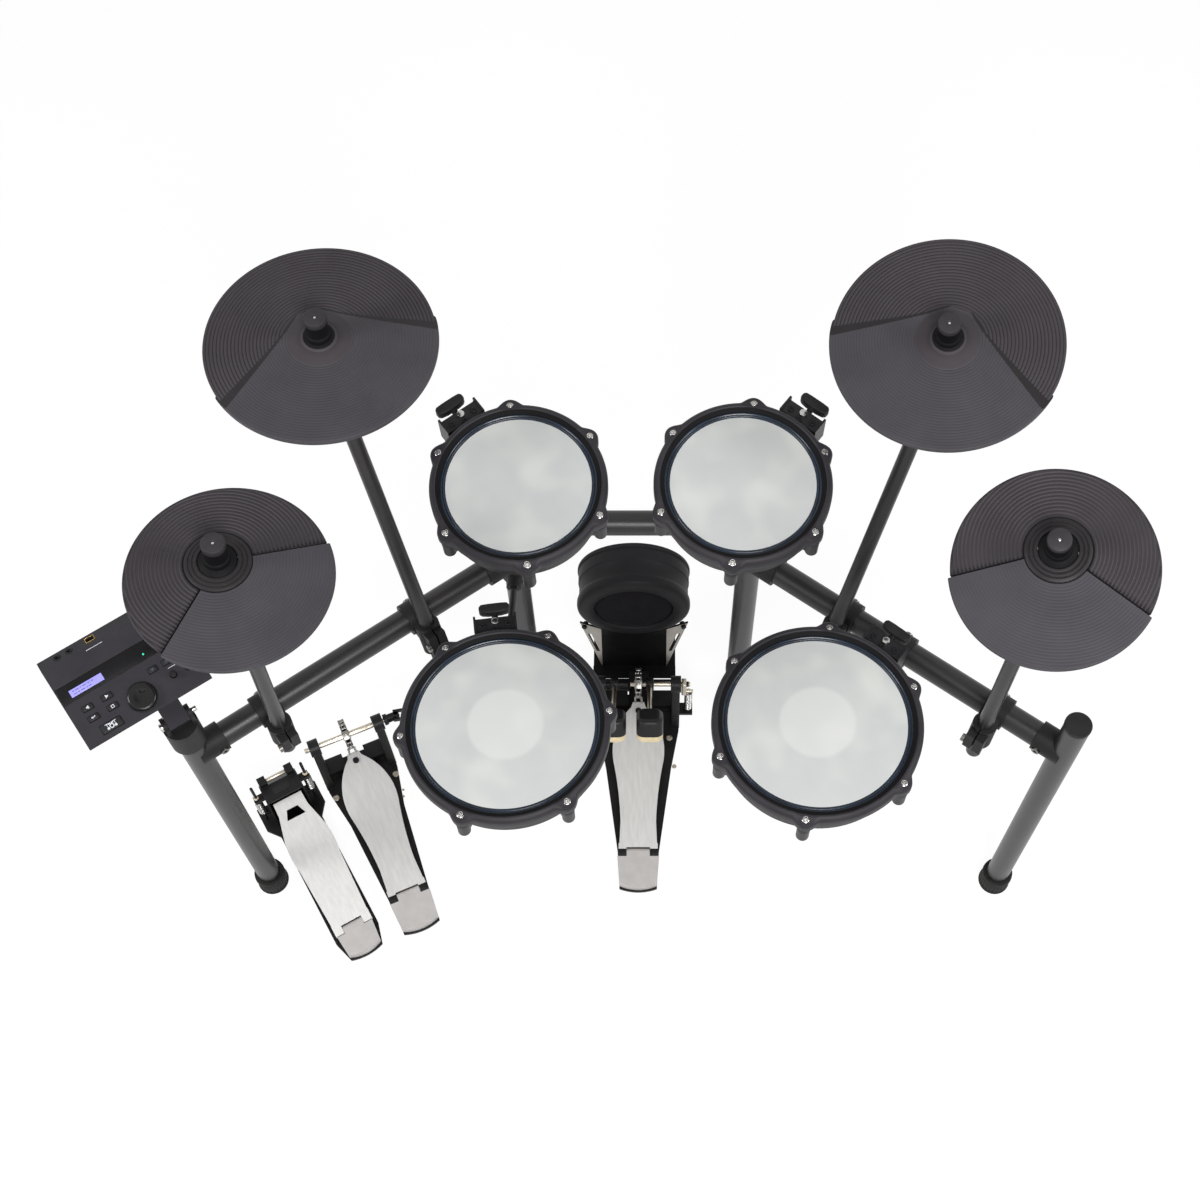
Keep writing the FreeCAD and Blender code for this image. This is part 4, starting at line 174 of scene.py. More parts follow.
@dataclass(frozen=True)
class Finish:
    """A surface with two close tones, a fine grain, a roughness that varies, worn edges and painted shade in
    its hollows.
    """

    name: str
    colour: str
    tone: str
    roughness: float
    grain_mm: float
    grain_depth_mm: float
    mottle_mm: float = 45.0
    metallic: float = 0.0
    edge_mm: float = 0.6
    wear: str = ""
    stretch: tuple[float, float, float] = (1.0, 1.0, 1.0)
    grain_turn: float = 0.0
    sheen: float = 0.0
    specular: float = 0.5
    # Strength of the painted shade laid in hollows
    painted_crease_shade: float = 0.0
    tones_at: tuple[float, float] = (0.3, 0.72)
    wear_share: float = 0.5
    # Colour of the painted shade laid in hollows
    painted_crease_colour: str = "#0b0a0b"
    gloss_spread: float = 0.07

    def pattern(self, tree: NodeTree, size_mm: float, detail: float) -> Node:
        """Adds a noise whose features have a real size, turned and stretched along the grain.

        Args:
            tree: the node tree.
            size_mm: size of a feature.
            detail: how much fine detail it has.

        Returns:
            The noise node.
        """
        source = add(tree, "ShaderNodeTexCoord").outputs["Object"]
        if self.stretch != (1.0, 1.0, 1.0):
            turned = add(tree, "ShaderNodeMapping", {
                "Vector": source, "Rotation": (0, 0, radians(-self.grain_turn))})
            source = add(tree, "ShaderNodeMapping", {
                "Vector": turned.outputs["Vector"], "Scale": self.stretch}).outputs["Vector"]
        return add(tree, "ShaderNodeTexNoise", {
            "Vector": source, "Scale": 1 / (size_mm * MM), "Detail": detail, "Roughness": 0.55})

    def base(self, tree: NodeTree, normal: NodeSocket) -> NodeSocket:
        """Adds the colour: two tones mixed by a broad mottle, with painted shade in the hollows or lighter
        worn edges.

        Args:
            tree: the node tree.
            normal: the normal with its edges rounded.

        Returns:
            The colour's socket.
        """
        mottle = self.pattern(tree, self.mottle_mm, 3.0)
        tones = add(tree, "ShaderNodeValToRGB", {"Fac": mottle.outputs["Fac"]})
        codes = self.colour, self.tone
        for element, position, code in zip(tones.color_ramp.elements, self.tones_at, codes):
            element.position = position
            element.color = linear(code)
        # Painted shade: hollows such as the bottoms of grooves, found by their pointiness, are darkened
        # towards a near-black
        if self.painted_crease_shade:
            hollow = add(tree, "ShaderNodeMapRange", {
                "Value": add(tree, "ShaderNodeNewGeometry").outputs["Pointiness"],
                "From Min": 0.5, "From Max": 0.45, "To Min": 0.0, "To Max": self.painted_crease_shade})
            return add(tree, "ShaderNodeMix", {
                0: hollow.outputs["Result"], 6: tones.outputs["Color"], 7: linear(self.painted_crease_colour)},
                data_type="RGBA").outputs[2]
        if not self.wear:
            return tones.outputs["Color"]
        flat = add(tree, "ShaderNodeNewGeometry").outputs["Normal"]
        likeness = add(tree, "ShaderNodeVectorMath", {0: normal, 1: flat}, operation="DOT_PRODUCT")
        edge = add(tree, "ShaderNodeMapRange", {
            "Value": likeness.outputs["Value"], "From Min": 0.97, "From Max": 0.8, "To Min": 0.0,
            "To Max": self.wear_share})
        worn = add(tree, "ShaderNodeMix", {
            0: edge.outputs["Result"], 6: tones.outputs["Color"], 7: linear(self.wear)}, data_type="RGBA")
        return worn.outputs[2]

    def make(self) -> Material:
        """Builds the finish as a material, or returns it where it is already there.

        Returns:
            The material.
        """
        if self.name in bpy.data.materials:
            return bpy.data.materials[self.name]
        material = bpy.data.materials.new(self.name)
        material.use_nodes = True
        tree = material.node_tree
        shader = tree.nodes["Principled BSDF"]
        rounded = add(tree, "ShaderNodeBevel", {"Radius": self.edge_mm * MM}, samples=4)
        grain = self.pattern(tree, self.grain_mm, 2.0)
        bump = add(tree, "ShaderNodeBump", {
            "Height": grain.outputs["Fac"], "Distance": self.grain_depth_mm * MM, "Strength": 1.0,
            "Normal": rounded.outputs["Normal"]})
        gloss = add(tree, "ShaderNodeMapRange", {
            "Value": grain.outputs["Fac"], "From Min": 0.25, "From Max": 0.75,
            "To Min": max(self.roughness - self.gloss_spread, 0.02),
            "To Max": min(self.roughness + self.gloss_spread, 1.0)})
        tree.links.new(self.base(tree, rounded.outputs["Normal"]), shader.inputs["Base Color"])
        tree.links.new(gloss.outputs["Result"], shader.inputs["Roughness"])
        tree.links.new(bump.outputs["Normal"], shader.inputs["Normal"])
        shader.inputs["Metallic"].default_value = self.metallic
        shader.inputs["Sheen Weight"].default_value = self.sheen
        shader.inputs["Specular IOR Level"].default_value = self.specular
        return material


@dataclass(frozen=True)
class WovenHead(Finish):
    """Two-ply mesh of a drum head: a fine open weave with soft pale clouds of painted reflection, paler over
    the trigger's foam.
    """

    thread_mm: float = 1.3
    # Size and colour of the soft pale clouds, painted reflections of the lamps
    cloud_mm: float = 70.0
    painted_reflection_colour: str = "#d3d4d0"
    foam_mm: float = 52.0
    foam_colour: str = "#d9dad8"
    foam_share: float = 0.0
    foam_edge_mm: float = 4.0
    thread_depth_mm: float = 0.05

    def base(self, tree: NodeTree, normal: NodeSocket) -> NodeSocket:
        """Adds the cloth's colour with soft clouds of painted reflection, and a paler disc where the foam
        lies behind it.

        Args:
            tree: the node tree.
            normal: the normal with its edges rounded.

        Returns:
            The colour's socket.
        """
        uv = add(tree, "ShaderNodeTexCoord").outputs["UV"]
        # Painted reflections: soft pale clouds over the cloth
        cloud = add(tree, "ShaderNodeTexNoise", {
            "Vector": uv, "Scale": 1 / (self.cloud_mm * MM), "Detail": 1.0})
        soft = add(tree, "ShaderNodeMapRange", {
            "Value": cloud.outputs["Fac"], "From Min": 0.45, "From Max": 0.75, "To Min": 0.0, "To Max": 0.8},
            interpolation_type="SMOOTHSTEP")
        cloth = add(tree, "ShaderNodeMix", {
            0: soft.outputs["Result"], 6: super().base(tree, normal), 7: linear(self.painted_reflection_colour)},
            data_type="RGBA")
        away = add(tree, "ShaderNodeVectorMath", {0: uv}, operation="LENGTH")
        inside = add(tree, "ShaderNodeMapRange", {
            "Value": away.outputs["Value"], "From Min": (self.foam_mm + self.foam_edge_mm) * MM,
            "From Max": (self.foam_mm - self.foam_edge_mm) * MM, "To Min": 0.0, "To Max": self.foam_share},
            interpolation_type="SMOOTHSTEP")
        tinted = add(tree, "ShaderNodeMix", {
            0: inside.outputs["Result"], 6: cloth.outputs[2], 7: linear(self.foam_colour)}, data_type="RGBA")
        return tinted.outputs[2]

    def make(self) -> Material:
        """Builds the cloth and adds the weave's threads to its relief.

        Returns:
            The material.
        """
        fresh = self.name not in bpy.data.materials
        material = super().make()
        if not fresh:
            return material
        tree = material.node_tree
        shader = tree.nodes["Principled BSDF"]
        below = shader.inputs["Normal"].links[0].from_socket
        uv = add(tree, "ShaderNodeTexCoord").outputs["UV"]
        # The real mesh has about 24 threads to the centimetre; it is drawn three times as coarse to show
        for direction in ("X", "Y"):
            thread = add(tree, "ShaderNodeTexWave", {"Vector": uv, "Scale": 0.314 / (self.thread_mm * MM)},
                         bands_direction=direction)
            below = add(tree, "ShaderNodeBump", {
                "Height": thread.outputs["Fac"], "Distance": self.thread_depth_mm * MM, "Strength": 0.5,
                "Normal": below}).outputs["Normal"]
        tree.links.new(below, shader.inputs["Normal"])
        return material


@dataclass(frozen=True)
class Lamp:
    """A lit window or print: a pale film with light behind it, unevenly bright in soft clouds."""

    name: str
    colour: str
    tone: str
    glow: float
    cloud_mm: float = 14.0

    def make(self) -> Material:
        """Builds the film as a material, or returns it where it is already there.

        Returns:
            The material.
        """
        if self.name in bpy.data.materials:
            return bpy.data.materials[self.name]
        material = bpy.data.materials.new(self.name)
        material.use_nodes = True
        tree = material.node_tree
        shader = tree.nodes["Principled BSDF"]
        source = add(tree, "ShaderNodeTexCoord").outputs["Object"]
        cloud = add(tree, "ShaderNodeTexNoise", {
            "Vector": source, "Scale": 1 / (self.cloud_mm * MM), "Detail": 1.0})
        tones = add(tree, "ShaderNodeValToRGB", {"Fac": cloud.outputs["Fac"]})
        tones.color_ramp.elements[0].color = linear(self.colour)
        tones.color_ramp.elements[1].color = linear(self.tone)
        tree.links.new(tones.outputs["Color"], shader.inputs["Base Color"])
        tree.links.new(tones.outputs["Color"], shader.inputs["Emission Color"])
        shader.inputs["Emission Strength"].default_value = self.glow
        shader.inputs["Roughness"].default_value = 0.25
        return material


# Powder-coated steel tube: soft black, satin, with the faint orange peel of baked powder
TUBE_POWDER = Finish("powder_coated_steel", "#232122", "#2b2929", 0.34, 1.2, 0.02, 60, edge_mm=0.5,
    wear="#454142", specular=0.4)
# Glass-filled nylon mouldings: black, dull, fine spark-eroded grain, paler where the edges rub
NYLON = Finish("moulded_nylon", "#201f20", "#2a292a", 0.5, 0.9, 0.04, 30, edge_mm=0.9, wear="#3b3a3b",
    specular=0.15)
# Soft rubber over the hoops: charcoal, matt, slightly dusty
HOOP_RUBBER = Finish("hoop_cover_rubber", "#29272b", "#323034", 0.5, 0.8, 0.05, 50, edge_mm=0.8, specular=0.2)
# Cymbal rubber of the playing fields: charcoal, matt, with a soft bloom and painted shade in its shallow
# grooves
CYMBAL_RUBBER = Finish("smooth_cymbal_rubber", "#424044", "#4a484c", 0.55, 0.9, 0.03, 70, edge_mm=0.15,
    specular=0.15, painted_crease_shade=0.5)
# Grooved back of a cymbal: the same compound, a little darker overall and darker still between its ridges,
# both painted shade of the grooves
GROOVE_RUBBER = Finish("grooved_rubber", "#3f3b3f", "#474347", 0.55, 0.9, 0.03, 70, edge_mm=0.15,
    specular=0.12, painted_crease_shade=0.75)
# Bell rubber: the same compound, moulded darker and smoother; on the crashes' ramps it is painted shade
BELL_AND_RAMP_SHADE_RUBBER = Finish("bell_rubber", "#211e20", "#292628", 0.45, 0.9, 0.03, 40, edge_mm=0.4, specular=0.2)
# Core rubber: black, under the playing fields; also laid as painted shade in the hoops' channels and the
# slits' beds
CORE_AND_SHADE_RUBBER = Finish("core_rubber", "#0b0a0c", "#111012", 0.6, 0.9, 0.03, 40, edge_mm=0.3, specular=0.1)
# Cap nuts: matt charcoal ABS
CAP_ABS = Finish("cap_abs", "#2f2d2f", "#383638", 0.5, 0.7, 0.03, 20, edge_mm=0.6, specular=0.2)
# Foot rubber: black, dull
FOOT_RUBBER = Finish("tread_rubber", "#1f1e1e", "#292827", 0.65, 1.4, 0.06, 25, edge_mm=0.8, specular=0.15)
# Pad shell ABS: black, fine grain
SHELL_ABS = Finish("shell_abs", "#1a191b", "#232224", 0.4, 0.8, 0.03, 40, edge_mm=0.8, wear="#343335",
    specular=0.25)
# Head ring: blue-black lacquered aluminium
HEAD_RING = Finish("lacquered_ring", "#0c151f", "#162638", 0.22, 2.0, 0.004, 30, edge_mm=0.4, specular=0.4)
# Head mesh: two plies of woven polyester, pale grey, with soft pale clouds of painted reflection; the larger
# heads show their foam as a paler disc
SMALL_HEAD = WovenHead("woven_mesh_head", "#bfc2c1", "#c6c8c7", 0.5, 2.4, 0.02, 60, edge_mm=0.2, sheen=0.1,
    specular=0.25)
LARGE_HEAD = replace(SMALL_HEAD, name="woven_mesh_head_over_foam", colour="#c0c3c2", tone="#c7c9c8",
    foam_share=0.6)
# Chromed steel: bright, very smooth
CHROME = Finish("chromed_steel", "#c6c5c2", "#adaca9", 0.22, 3.0, 0.004, 12, metallic=1.0, edge_mm=0.3)
# Zinc-plated steel: grey, a little cloudy
ZINC = Finish("zinc_plated_steel", "#8a8884", "#706e6a", 0.3, 1.2, 0.01, 8, metallic=1.0, edge_mm=0.3)
# Satin nickel plate: warm grey
NICKEL = Finish("satin_nickel", "#bfb7a8", "#aaa294", 0.32, 1.2, 0.01, 8, metallic=1.0, edge_mm=0.4)
# Brushed aluminium: pale grey with fine lines along the board, each board's lines at its own angle
BRUSHED = Finish("brushed_aluminium", "#d2d1cf", "#c6c5c3", 0.5, 0.7, 0.012, 5, metallic=0.3, edge_mm=0.8,
    stretch=(1.0, 0.06, 1.0), specular=0.3)
BRUSHED_SLAVE = replace(BRUSHED, name="brushed_aluminium_slave", grain_turn=24.0)
BRUSHED_HAT = replace(BRUSHED, name="brushed_aluminium_hat", grain_turn=30.3)
# Heel plates: the same alloy, bead-blasted
HEEL_ALLOY = Finish("blasted_aluminium", "#c8c4c2", "#bebab8", 0.5, 0.8, 0.015, 18, metallic=0.3, edge_mm=0.8,
    specular=0.3)
# Cast pedal parts: black satin powder coat, thin on the edges
PEDAL_POWDER = Finish("black_pedal_coat", "#121112", "#1b1a1b", 0.4, 1.0, 0.03, 25, edge_mm=1.0,
    wear="#3a393a", specular=0.2)
# Kick tower: black satin powder coat in the pad's shade
TOWER_POWDER = Finish("black_tower_coat", "#0b0a0c", "#121113", 0.45, 1.0, 0.03, 25, edge_mm=0.8,
    wear="#2a292a", specular=0.12)
# Steel plate of the kick tower's sides: bare, warm grey
PLATE_STEEL = Finish("bare_steel_plate", "#a29c95", "#b0aaa2", 0.45, 0.9, 0.015, 14, metallic=0.4,
    edge_mm=0.3)
# Wool felt of the beaters: cream, fibrous
FELT = Finish("wool_felt", "#e9d9b4", "#dfcda4", 0.9, 1.1, 0.35, 9, edge_mm=2.0, sheen=0.3, specular=0.1)
# Kick rubber: black, matt
KICK_RUBBER = Finish("kick_rubber", "#1e1d1f", "#262527", 0.5, 0.9, 0.04, 50, edge_mm=1.2, specular=0.12)
# Kick striking cloth: black woven nylon over foam
KICK_CLOTH = Finish("kick_strike_cloth", "#141217", "#1a181d", 0.75, 0.8, 0.12, 22, edge_mm=0.5, sheen=0.02,
    specular=0.05)
# Module ABS: blue-charcoal, fine spark grain
MODULE_ABS = Finish("module_abs", "#27252a", "#2f2d32", 0.45, 0.6, 0.03, 35, edge_mm=0.9, wear="#474448",
    specular=0.2)
# Knob ABS: black, dull
KNOB_ABS = Finish("knob_abs", "#101011", "#171718", 0.5, 0.7, 0.02, 12, edge_mm=0.5, specular=0.2)
# Acrylic window: black, smooth
ACRYLIC = Finish("black_acrylic", "#0d0c0e", "#131214", 0.35, 4.0, 0.002, 60, edge_mm=0.3, specular=0.15)
# Gloss-moulded dial
DIAL_GLOSS = Finish("gloss_dial", "#0e0e0f", "#151516", 0.2, 3.0, 0.004, 20, edge_mm=0.5, specular=0.3)
# Silicone buttons: dark grey, silky
SILICONE = Finish("silicone_button", "#1a1a1c", "#222224", 0.5, 0.6, 0.02, 8, edge_mm=0.5, specular=0.2)
# Brass of the port's edge
BRASS = Finish("brass", "#b89a5c", "#a5884c", 0.28, 1.0, 0.01, 5, metallic=1.0, edge_mm=0.2)
# Ivory nylon of the hi-hat pedal's balls: cream, smooth
IVORY = Finish("ivory_nylon", "#e4d9bd", "#dacdae", 0.4, 1.0, 0.01, 6, edge_mm=0.4)
# Screen print: off-white ink
INK = Finish("screen_print_ink", "#cfd2d6", "#dcdfe2", 0.5, 0.5, 0.01, 3, edge_mm=0.1)
# Screen print on the lit display: dark ink
DARK_INK = Finish("dark_print_ink", "#22243a", "#2a2c44", 0.5, 0.5, 0.01, 3, edge_mm=0.1)
# Lit display film: violet-blue backlight
LCD_FILM = Lamp("lcd_film", "#8f8be0", "#9d99e8", 0.25)
# Indicator lens: teal light
LED_FILM = Lamp("led_film", "#14b892", "#35d3af", 0.6)
# Translucent squares of the lit buttons
LIT_DOTS = Lamp("lit_dots", "#333a46", "#3d4450", 0.03)


# Pieces

def show(name: str, data: ID) -> Object:
    """Puts a new object into the scene.

    Args:
        name: the object's name.
        data: its mesh, light or camera.

    Returns:
        The object.
    """
    made = bpy.data.objects.new(name, data)
    bpy.context.scene.collection.objects.link(made)
    return made


@dataclass(frozen=True)
class Reach:
    """Where a piece that crosses a joint leaves its first body and where it has joined the second.

    Attributes:
        body: the second body.
        start: the last point on the first body, in metres.
        end: the first point on the second body, in metres.
    """

    body: str
    start: Vector
    end: Vector


def piece(name: str, mesh: Mesh, finish: Finish | Lamp, body: str,
          stands_for: Sequence[str] = (), reach: Optional[Reach] = None) -> Object:
    """Makes an object of a mesh, dresses it and lets it ride on a body; a piece with a reach is left
    unattached, in place.

    Args:
        name: the piece's name.
        mesh: its mesh, in place.
        finish: its finish.
        body: the body that carries it.
        stands_for: the nodes that it replaces.
        reach: the second body, for a piece that crosses a joint.

    Returns:
        The object.
    """
    thing = show(name, mesh)
    mesh.materials.clear()
    mesh.materials.append(finish.make())
    if reach is None:
        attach(thing, body)
    else:
        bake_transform(thing)
    if stands_for:
        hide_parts(*stands_for)
    LOG.info("%s on %s, %d faces", name, body, len(mesh.polygons))
    return thing


def dress(finish: Finish, *nodes: str) -> None:
    """Gives nodes of the frame their finish.

    Args:
        finish: the finish.
        nodes: the nodes' names.
    """
    for node in nodes:
        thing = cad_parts[node]
        for index in range(max(len(thing.material_slots), 1)):
            thing.material_slots[index].material = finish.make()
        LOG.info("%s dressed in %s", node, finish.name)


# Meshes

def net(rows: Sequence[Sequence[Vector]], loop: bool, ring: bool, capped: bool = False) -> BMesh:
    """Joins rows of points into a surface.

    Args:
        rows: equally long rows of points.
        loop: the last row joins the first.
        ring: each row is closed.
        capped: the first and last rows are filled.

    Returns:
        The surface.
    """
    part = bmesh.new()
    grid = [[part.verts.new(point) for point in row] for row in rows]
    width = len(grid[0])
    for index in range(len(grid) if loop else len(grid) - 1):
        here = grid[index]
        there = grid[(index + 1) % len(grid)]
        for step in range(width if ring else width - 1):
            after = (step + 1) % width
            part.faces.new((here[step], there[step], there[after], here[after]))
    if capped:
        part.faces.new(grid[0])
        part.faces.new(reversed(grid[-1]))
    return part


def hexagon(radius: float) -> list[tuple[float, float]]:
    """Corners of a hexagon."""
    return [(radius * bearing(60 * step).x, radius * bearing(60 * step).y) for step in range(6)]


class Shaper:
    """Builds one mesh from turned, extruded and lofted forms, in millimetres."""

    sharp_from: float = 38.0

    def __init__(self) -> None:
        """Starts with nothing."""
        self.work = bmesh.new()

    def take(self, part: BMesh, place: Matrix, round_by: float = 0.0) -> None:
        """Rounds a part's sharp edges, places it and joins it to the mesh.

        Args:
            part: the part, which is freed.
            place: where it goes.
            round_by: radius of its edges.
        """
        bmesh.ops.remove_doubles(part, verts=part.verts, dist=1e-4)
        if round_by:
            limit = radians(self.sharp_from)
            sharp = [edge for edge in part.edges
                     if len(edge.link_faces) == 2 and edge.calc_face_angle(0.0) > limit]
            bmesh.ops.bevel(part, geom=sharp, offset=round_by, offset_type="OFFSET", segments=3, profile=0.5,
                            affect="EDGES", clamp_overlap=True)
        bmesh.ops.recalc_face_normals(part, faces=part.faces)
        part.transform(place)
        joined = bpy.data.meshes.new("joined")
        part.to_mesh(joined)
        part.free()
        self.work.from_mesh(joined)
        bpy.data.meshes.remove(joined)

    def join(self, mesh: Mesh) -> None:
        """Joins a mesh in metres to the work."""
        mesh.transform(Matrix.Scale(1 / MM, 4))
        self.work.from_mesh(mesh)

    def loft(self, rows: Sequence[Sequence[Vector]], place: Matrix, round_by: float = 0.0) -> None:
        """Joins closed rows of points into a solid."""
        self.take(net(rows, loop=False, ring=True, capped=True), place, round_by)

    def turned(self, profile: Outline, place: Matrix = HERE, steps: int = 96, ring: bool = False,
               shape: Optional[Callable[[float, float, float], Vector]] = None) -> None:
        """Turns a profile about Z.

        Args:
            profile: radius and height of each point.
            place: where the form goes.
            steps: divisions round the axis.
            ring: the profile is closed, as a hoop's section is.
            shape: gives the point for an angle, a radius and a height, where it isn't plainly turned.
        """
        shape = shape or on_circle
        rows = []
        for index in range(steps):
            angle = TURN * index / steps
            rows.append([shape(angle, radius, height) for radius, height in profile])
        self.take(net(rows, loop=True, ring=ring), place)

    def prism(self, outline: Outline, low: float, high: float, place: Matrix = HERE,
              round_by: float = 0.0) -> None:
        """Extrudes an outline from one height to another."""
        rows = [[Vector((x, y, height)) for x, y in outline] for height in (low, high)]
        self.loft(rows, place, round_by)

    def block(self, length: float, width: float, height: float, place: Matrix = HERE,
              round_by: float = 0.8) -> None:
        """A rounded block that stands on its place.

        Args:
            length: its size in X, centred.
            width: its size in Y, centred.
            height: its size in Z.
            place: where it stands.
            round_by: radius of its edges.
        """
        half = length / 2
        side = width / 2
        self.prism([(-half, -side), (half, -side), (half, side), (-half, side)], 0, height, place, round_by)

    def rod(self, start: Vector, end: Vector, radius: float, steps: int = 32, round_by: float = 0.4) -> None:
        """A round bar between two points, with rounded rims.

        Args:
            start: middle of its first face.
            end: middle of its last face.
            radius: half its thickness.
            steps: divisions round it.
            round_by: radius of its rims.
        """
        length = (end - start).length
        edge = min(round_by, radius * 0.5, length * 0.4)
        bite = edge * 0.3
        self.turned([
            (0, 0), (radius - edge, 0), (radius - bite, bite), (radius, edge), (radius, length - edge),
            (radius - bite, length - bite), (radius - edge, length), (0, length)],
            aim(start, end - start), steps)

    def bar(self, place: Matrix, start: Sequence[float], end: Sequence[float], radius: float, steps: int = 32,
            round_by: float = 0.4) -> None:
        """A round bar between two points of a place."""
        self.rod(place @ Vector(start), place @ Vector(end), radius, steps, round_by)

    def hex_socket_bolt(self, place: Matrix, radius: float, height: float) -> None:
        """A cap screw's head with a rounded rim and a sunk socket.

        Args:
            place: where it stands.
            radius: half the head's width.
            height: the head's height.
        """
        inner = radius * 0.48
        floor = height * 0.35
        self.turned([(0, floor), (inner, floor), (inner, height), (radius * 0.82, height),
                     (radius * 0.95, height * 0.93), (radius, height * 0.8), (radius, 0), (0, 0)], place, 28)

    def mesh(self, name: str, smooth: float = 32.0) -> Mesh:
        """Ends the work as a mesh in metres.

        Args:
            name: the mesh's name.
            smooth: faces that meet at less than this angle shade as one surface.

        Returns:
            The mesh.
        """
        self.work.transform(Matrix.Scale(MM, 4))
        made = bpy.data.meshes.new(name)
        self.work.to_mesh(made)
        self.work.free()
        made.polygons.foreach_set("use_smooth", [True] * len(made.polygons))
        made.set_sharp_from_angle(angle=radians(smooth))
        return made

    def put(self, name: str, finish: Finish | Lamp, body: str, slot: str, stands_for: Sequence[str] = (),
            smooth: float = 32.0, reach: Optional[Reach] = None) -> Object:
        """Ends the work as a piece; its arguments are those of mesh and piece."""
        return piece(name, self.mesh(name, smooth), finish, body, stands_for, reach)


# Repeated forms

class Repeater:
    """A Geometry Nodes tree whose inputs are set by their identifiers."""

    def __init__(self, name: str) -> None:
        """Starts a tree.

        Args:
            name: the tree's name.
        """
        self.tree = bpy.data.node_groups.new(name, "GeometryNodeTree")
        self.tree.interface.new_socket("Geometry", in_out="OUTPUT", socket_type="NodeSocketGeometry")
        self.names: dict[str, str] = {}
        self.entry = add(self.tree, "NodeGroupInput")

    def ask(self, label: str, kind: str) -> NodeSocket:
        """Adds a named input.

        Args:
            label: its name.
            kind: its socket's type.

        Returns:
            Its socket inside the tree.
        """
        made = self.tree.interface.new_socket(label, in_out="INPUT", socket_type=kind)
        self.names[label] = made.identifier
        return self.entry.outputs[label]

    def close(self, geometry: NodeSocket) -> "Repeater":
        """Ends the tree in realised geometry with its material.

        Args:
            geometry: the socket of what was built.

        Returns:
            The tree itself.
        """
        finish = self.ask("Finish", "NodeSocketMaterial")
        real = add(self.tree, "GeometryNodeRealizeInstances", {"Geometry": geometry})
        dressed = add(self.tree, "GeometryNodeSetMaterial", {
            "Geometry": real.outputs["Geometry"], "Material": finish})
        leave = add(self.tree, "NodeGroupOutput")
        self.tree.links.new(dressed.outputs["Geometry"], leave.inputs["Geometry"])
        return self

    def run(self, place: Matrix, finish: Finish, start: Optional[Mesh] = None,
            **values) -> Mesh:
        """Runs the tree and gives its result as a plain mesh.

        Args:
            place: where the result goes, in millimetres.
            finish: its finish.
            start: the mesh that the tree starts from.
            values: the tree's other inputs, by label.

        Returns:
            The placed mesh, in metres.
        """
        carrier = bpy.data.objects.new("carrier", start or bpy.data.meshes.new("carrier"))
        modifier = carrier.modifiers.new("repeat", "NODES")
        modifier.node_group = self.tree
        for label, value in values.items():
            modifier[self.names[label]] = value
        modifier[self.names["Finish"]] = finish.make()
        bpy.context.scene.collection.objects.link(carrier)
        ready = carrier.evaluated_get(bpy.context.evaluated_depsgraph_get())
        made = bpy.data.meshes.new_from_object(ready)
        carrier.modifiers.clear()
        bpy.data.objects.remove(carrier)
        made.transform(metres(place))
        return made


def ring_repeater() -> Repeater:
    """Builds a tree that stands one unit at equal steps round a circle, its X axis pointing outwards.

    Returns:
        The tree.
    """
    made = Repeater("ring_of_units")
    count = made.ask("Count", "NodeSocketInt")
    radius = made.ask("Radius", "NodeSocketFloat")
    first = made.ask("First", "NodeSocketFloat")
    unit = made.ask("Unit", "NodeSocketObject")
    circle = add(made.tree, "GeometryNodeMeshCircle", {"Vertices": count, "Radius": radius})
    spin = add(made.tree, "ShaderNodeCombineXYZ", {"Z": first})
    turned = add(made.tree, "GeometryNodeTransform", {
        "Geometry": circle.outputs["Mesh"], "Rotation": spin.outputs["Vector"]})
    outward = add(made.tree, "GeometryNodeInputPosition")
    facing = add(made.tree, "FunctionNodeAlignRotationToVector", {"Vector": outward.outputs["Position"]},
                 axis="X", pivot_axis="Z")
    shape = add(made.tree, "GeometryNodeObjectInfo", {"Object": unit, "As Instance": True})
    stood = add(made.tree, "GeometryNodeInstanceOnPoints", {
        "Points": turned.outputs["Geometry"], "Instance": shape.outputs["Geometry"],
        "Rotation": facing.outputs["Rotation"]})
    return made.close(stood.outputs["Instances"])


def chain_repeater() -> Repeater:
    """Builds a tree that sets outer and inner chain links in turn on a line of pins, each turned to its run.

    Returns:
        The tree.
    """
    made = Repeater("roller_chain")
    pins = made.ask("Pins", "NodeSocketGeometry")
    outer = made.ask("Outer", "NodeSocketObject")
    inner = made.ask("Inner", "NodeSocketObject")
    tilt = add(made.tree, "GeometryNodeInputNamedAttribute", {"Name": "tilt"}, data_type="FLOAT")
    spin = add(made.tree, "ShaderNodeCombineXYZ", {"X": tilt.outputs["Attribute"]})
    index = add(made.tree, "GeometryNodeInputIndex")
    odd = add(made.tree, "ShaderNodeMath", {0: index.outputs["Index"], 1: 2.0}, operation="MODULO")
    even = add(made.tree, "ShaderNodeMath", {0: 1.0, 1: odd.outputs["Value"]}, operation="SUBTRACT")
    both = add(made.tree, "GeometryNodeJoinGeometry")
    for link, choice in ((outer, odd), (inner, even)):
        shape = add(made.tree, "GeometryNodeObjectInfo", {"Object": link, "As Instance": True})
        stood = add(made.tree, "GeometryNodeInstanceOnPoints", {
            "Points": pins, "Instance": shape.outputs["Geometry"], "Selection": choice.outputs["Value"],
            "Rotation": spin.outputs["Vector"]})
        made.tree.links.new(stood.outputs["Instances"], both.inputs["Geometry"])
    return made.close(both.outputs["Geometry"])


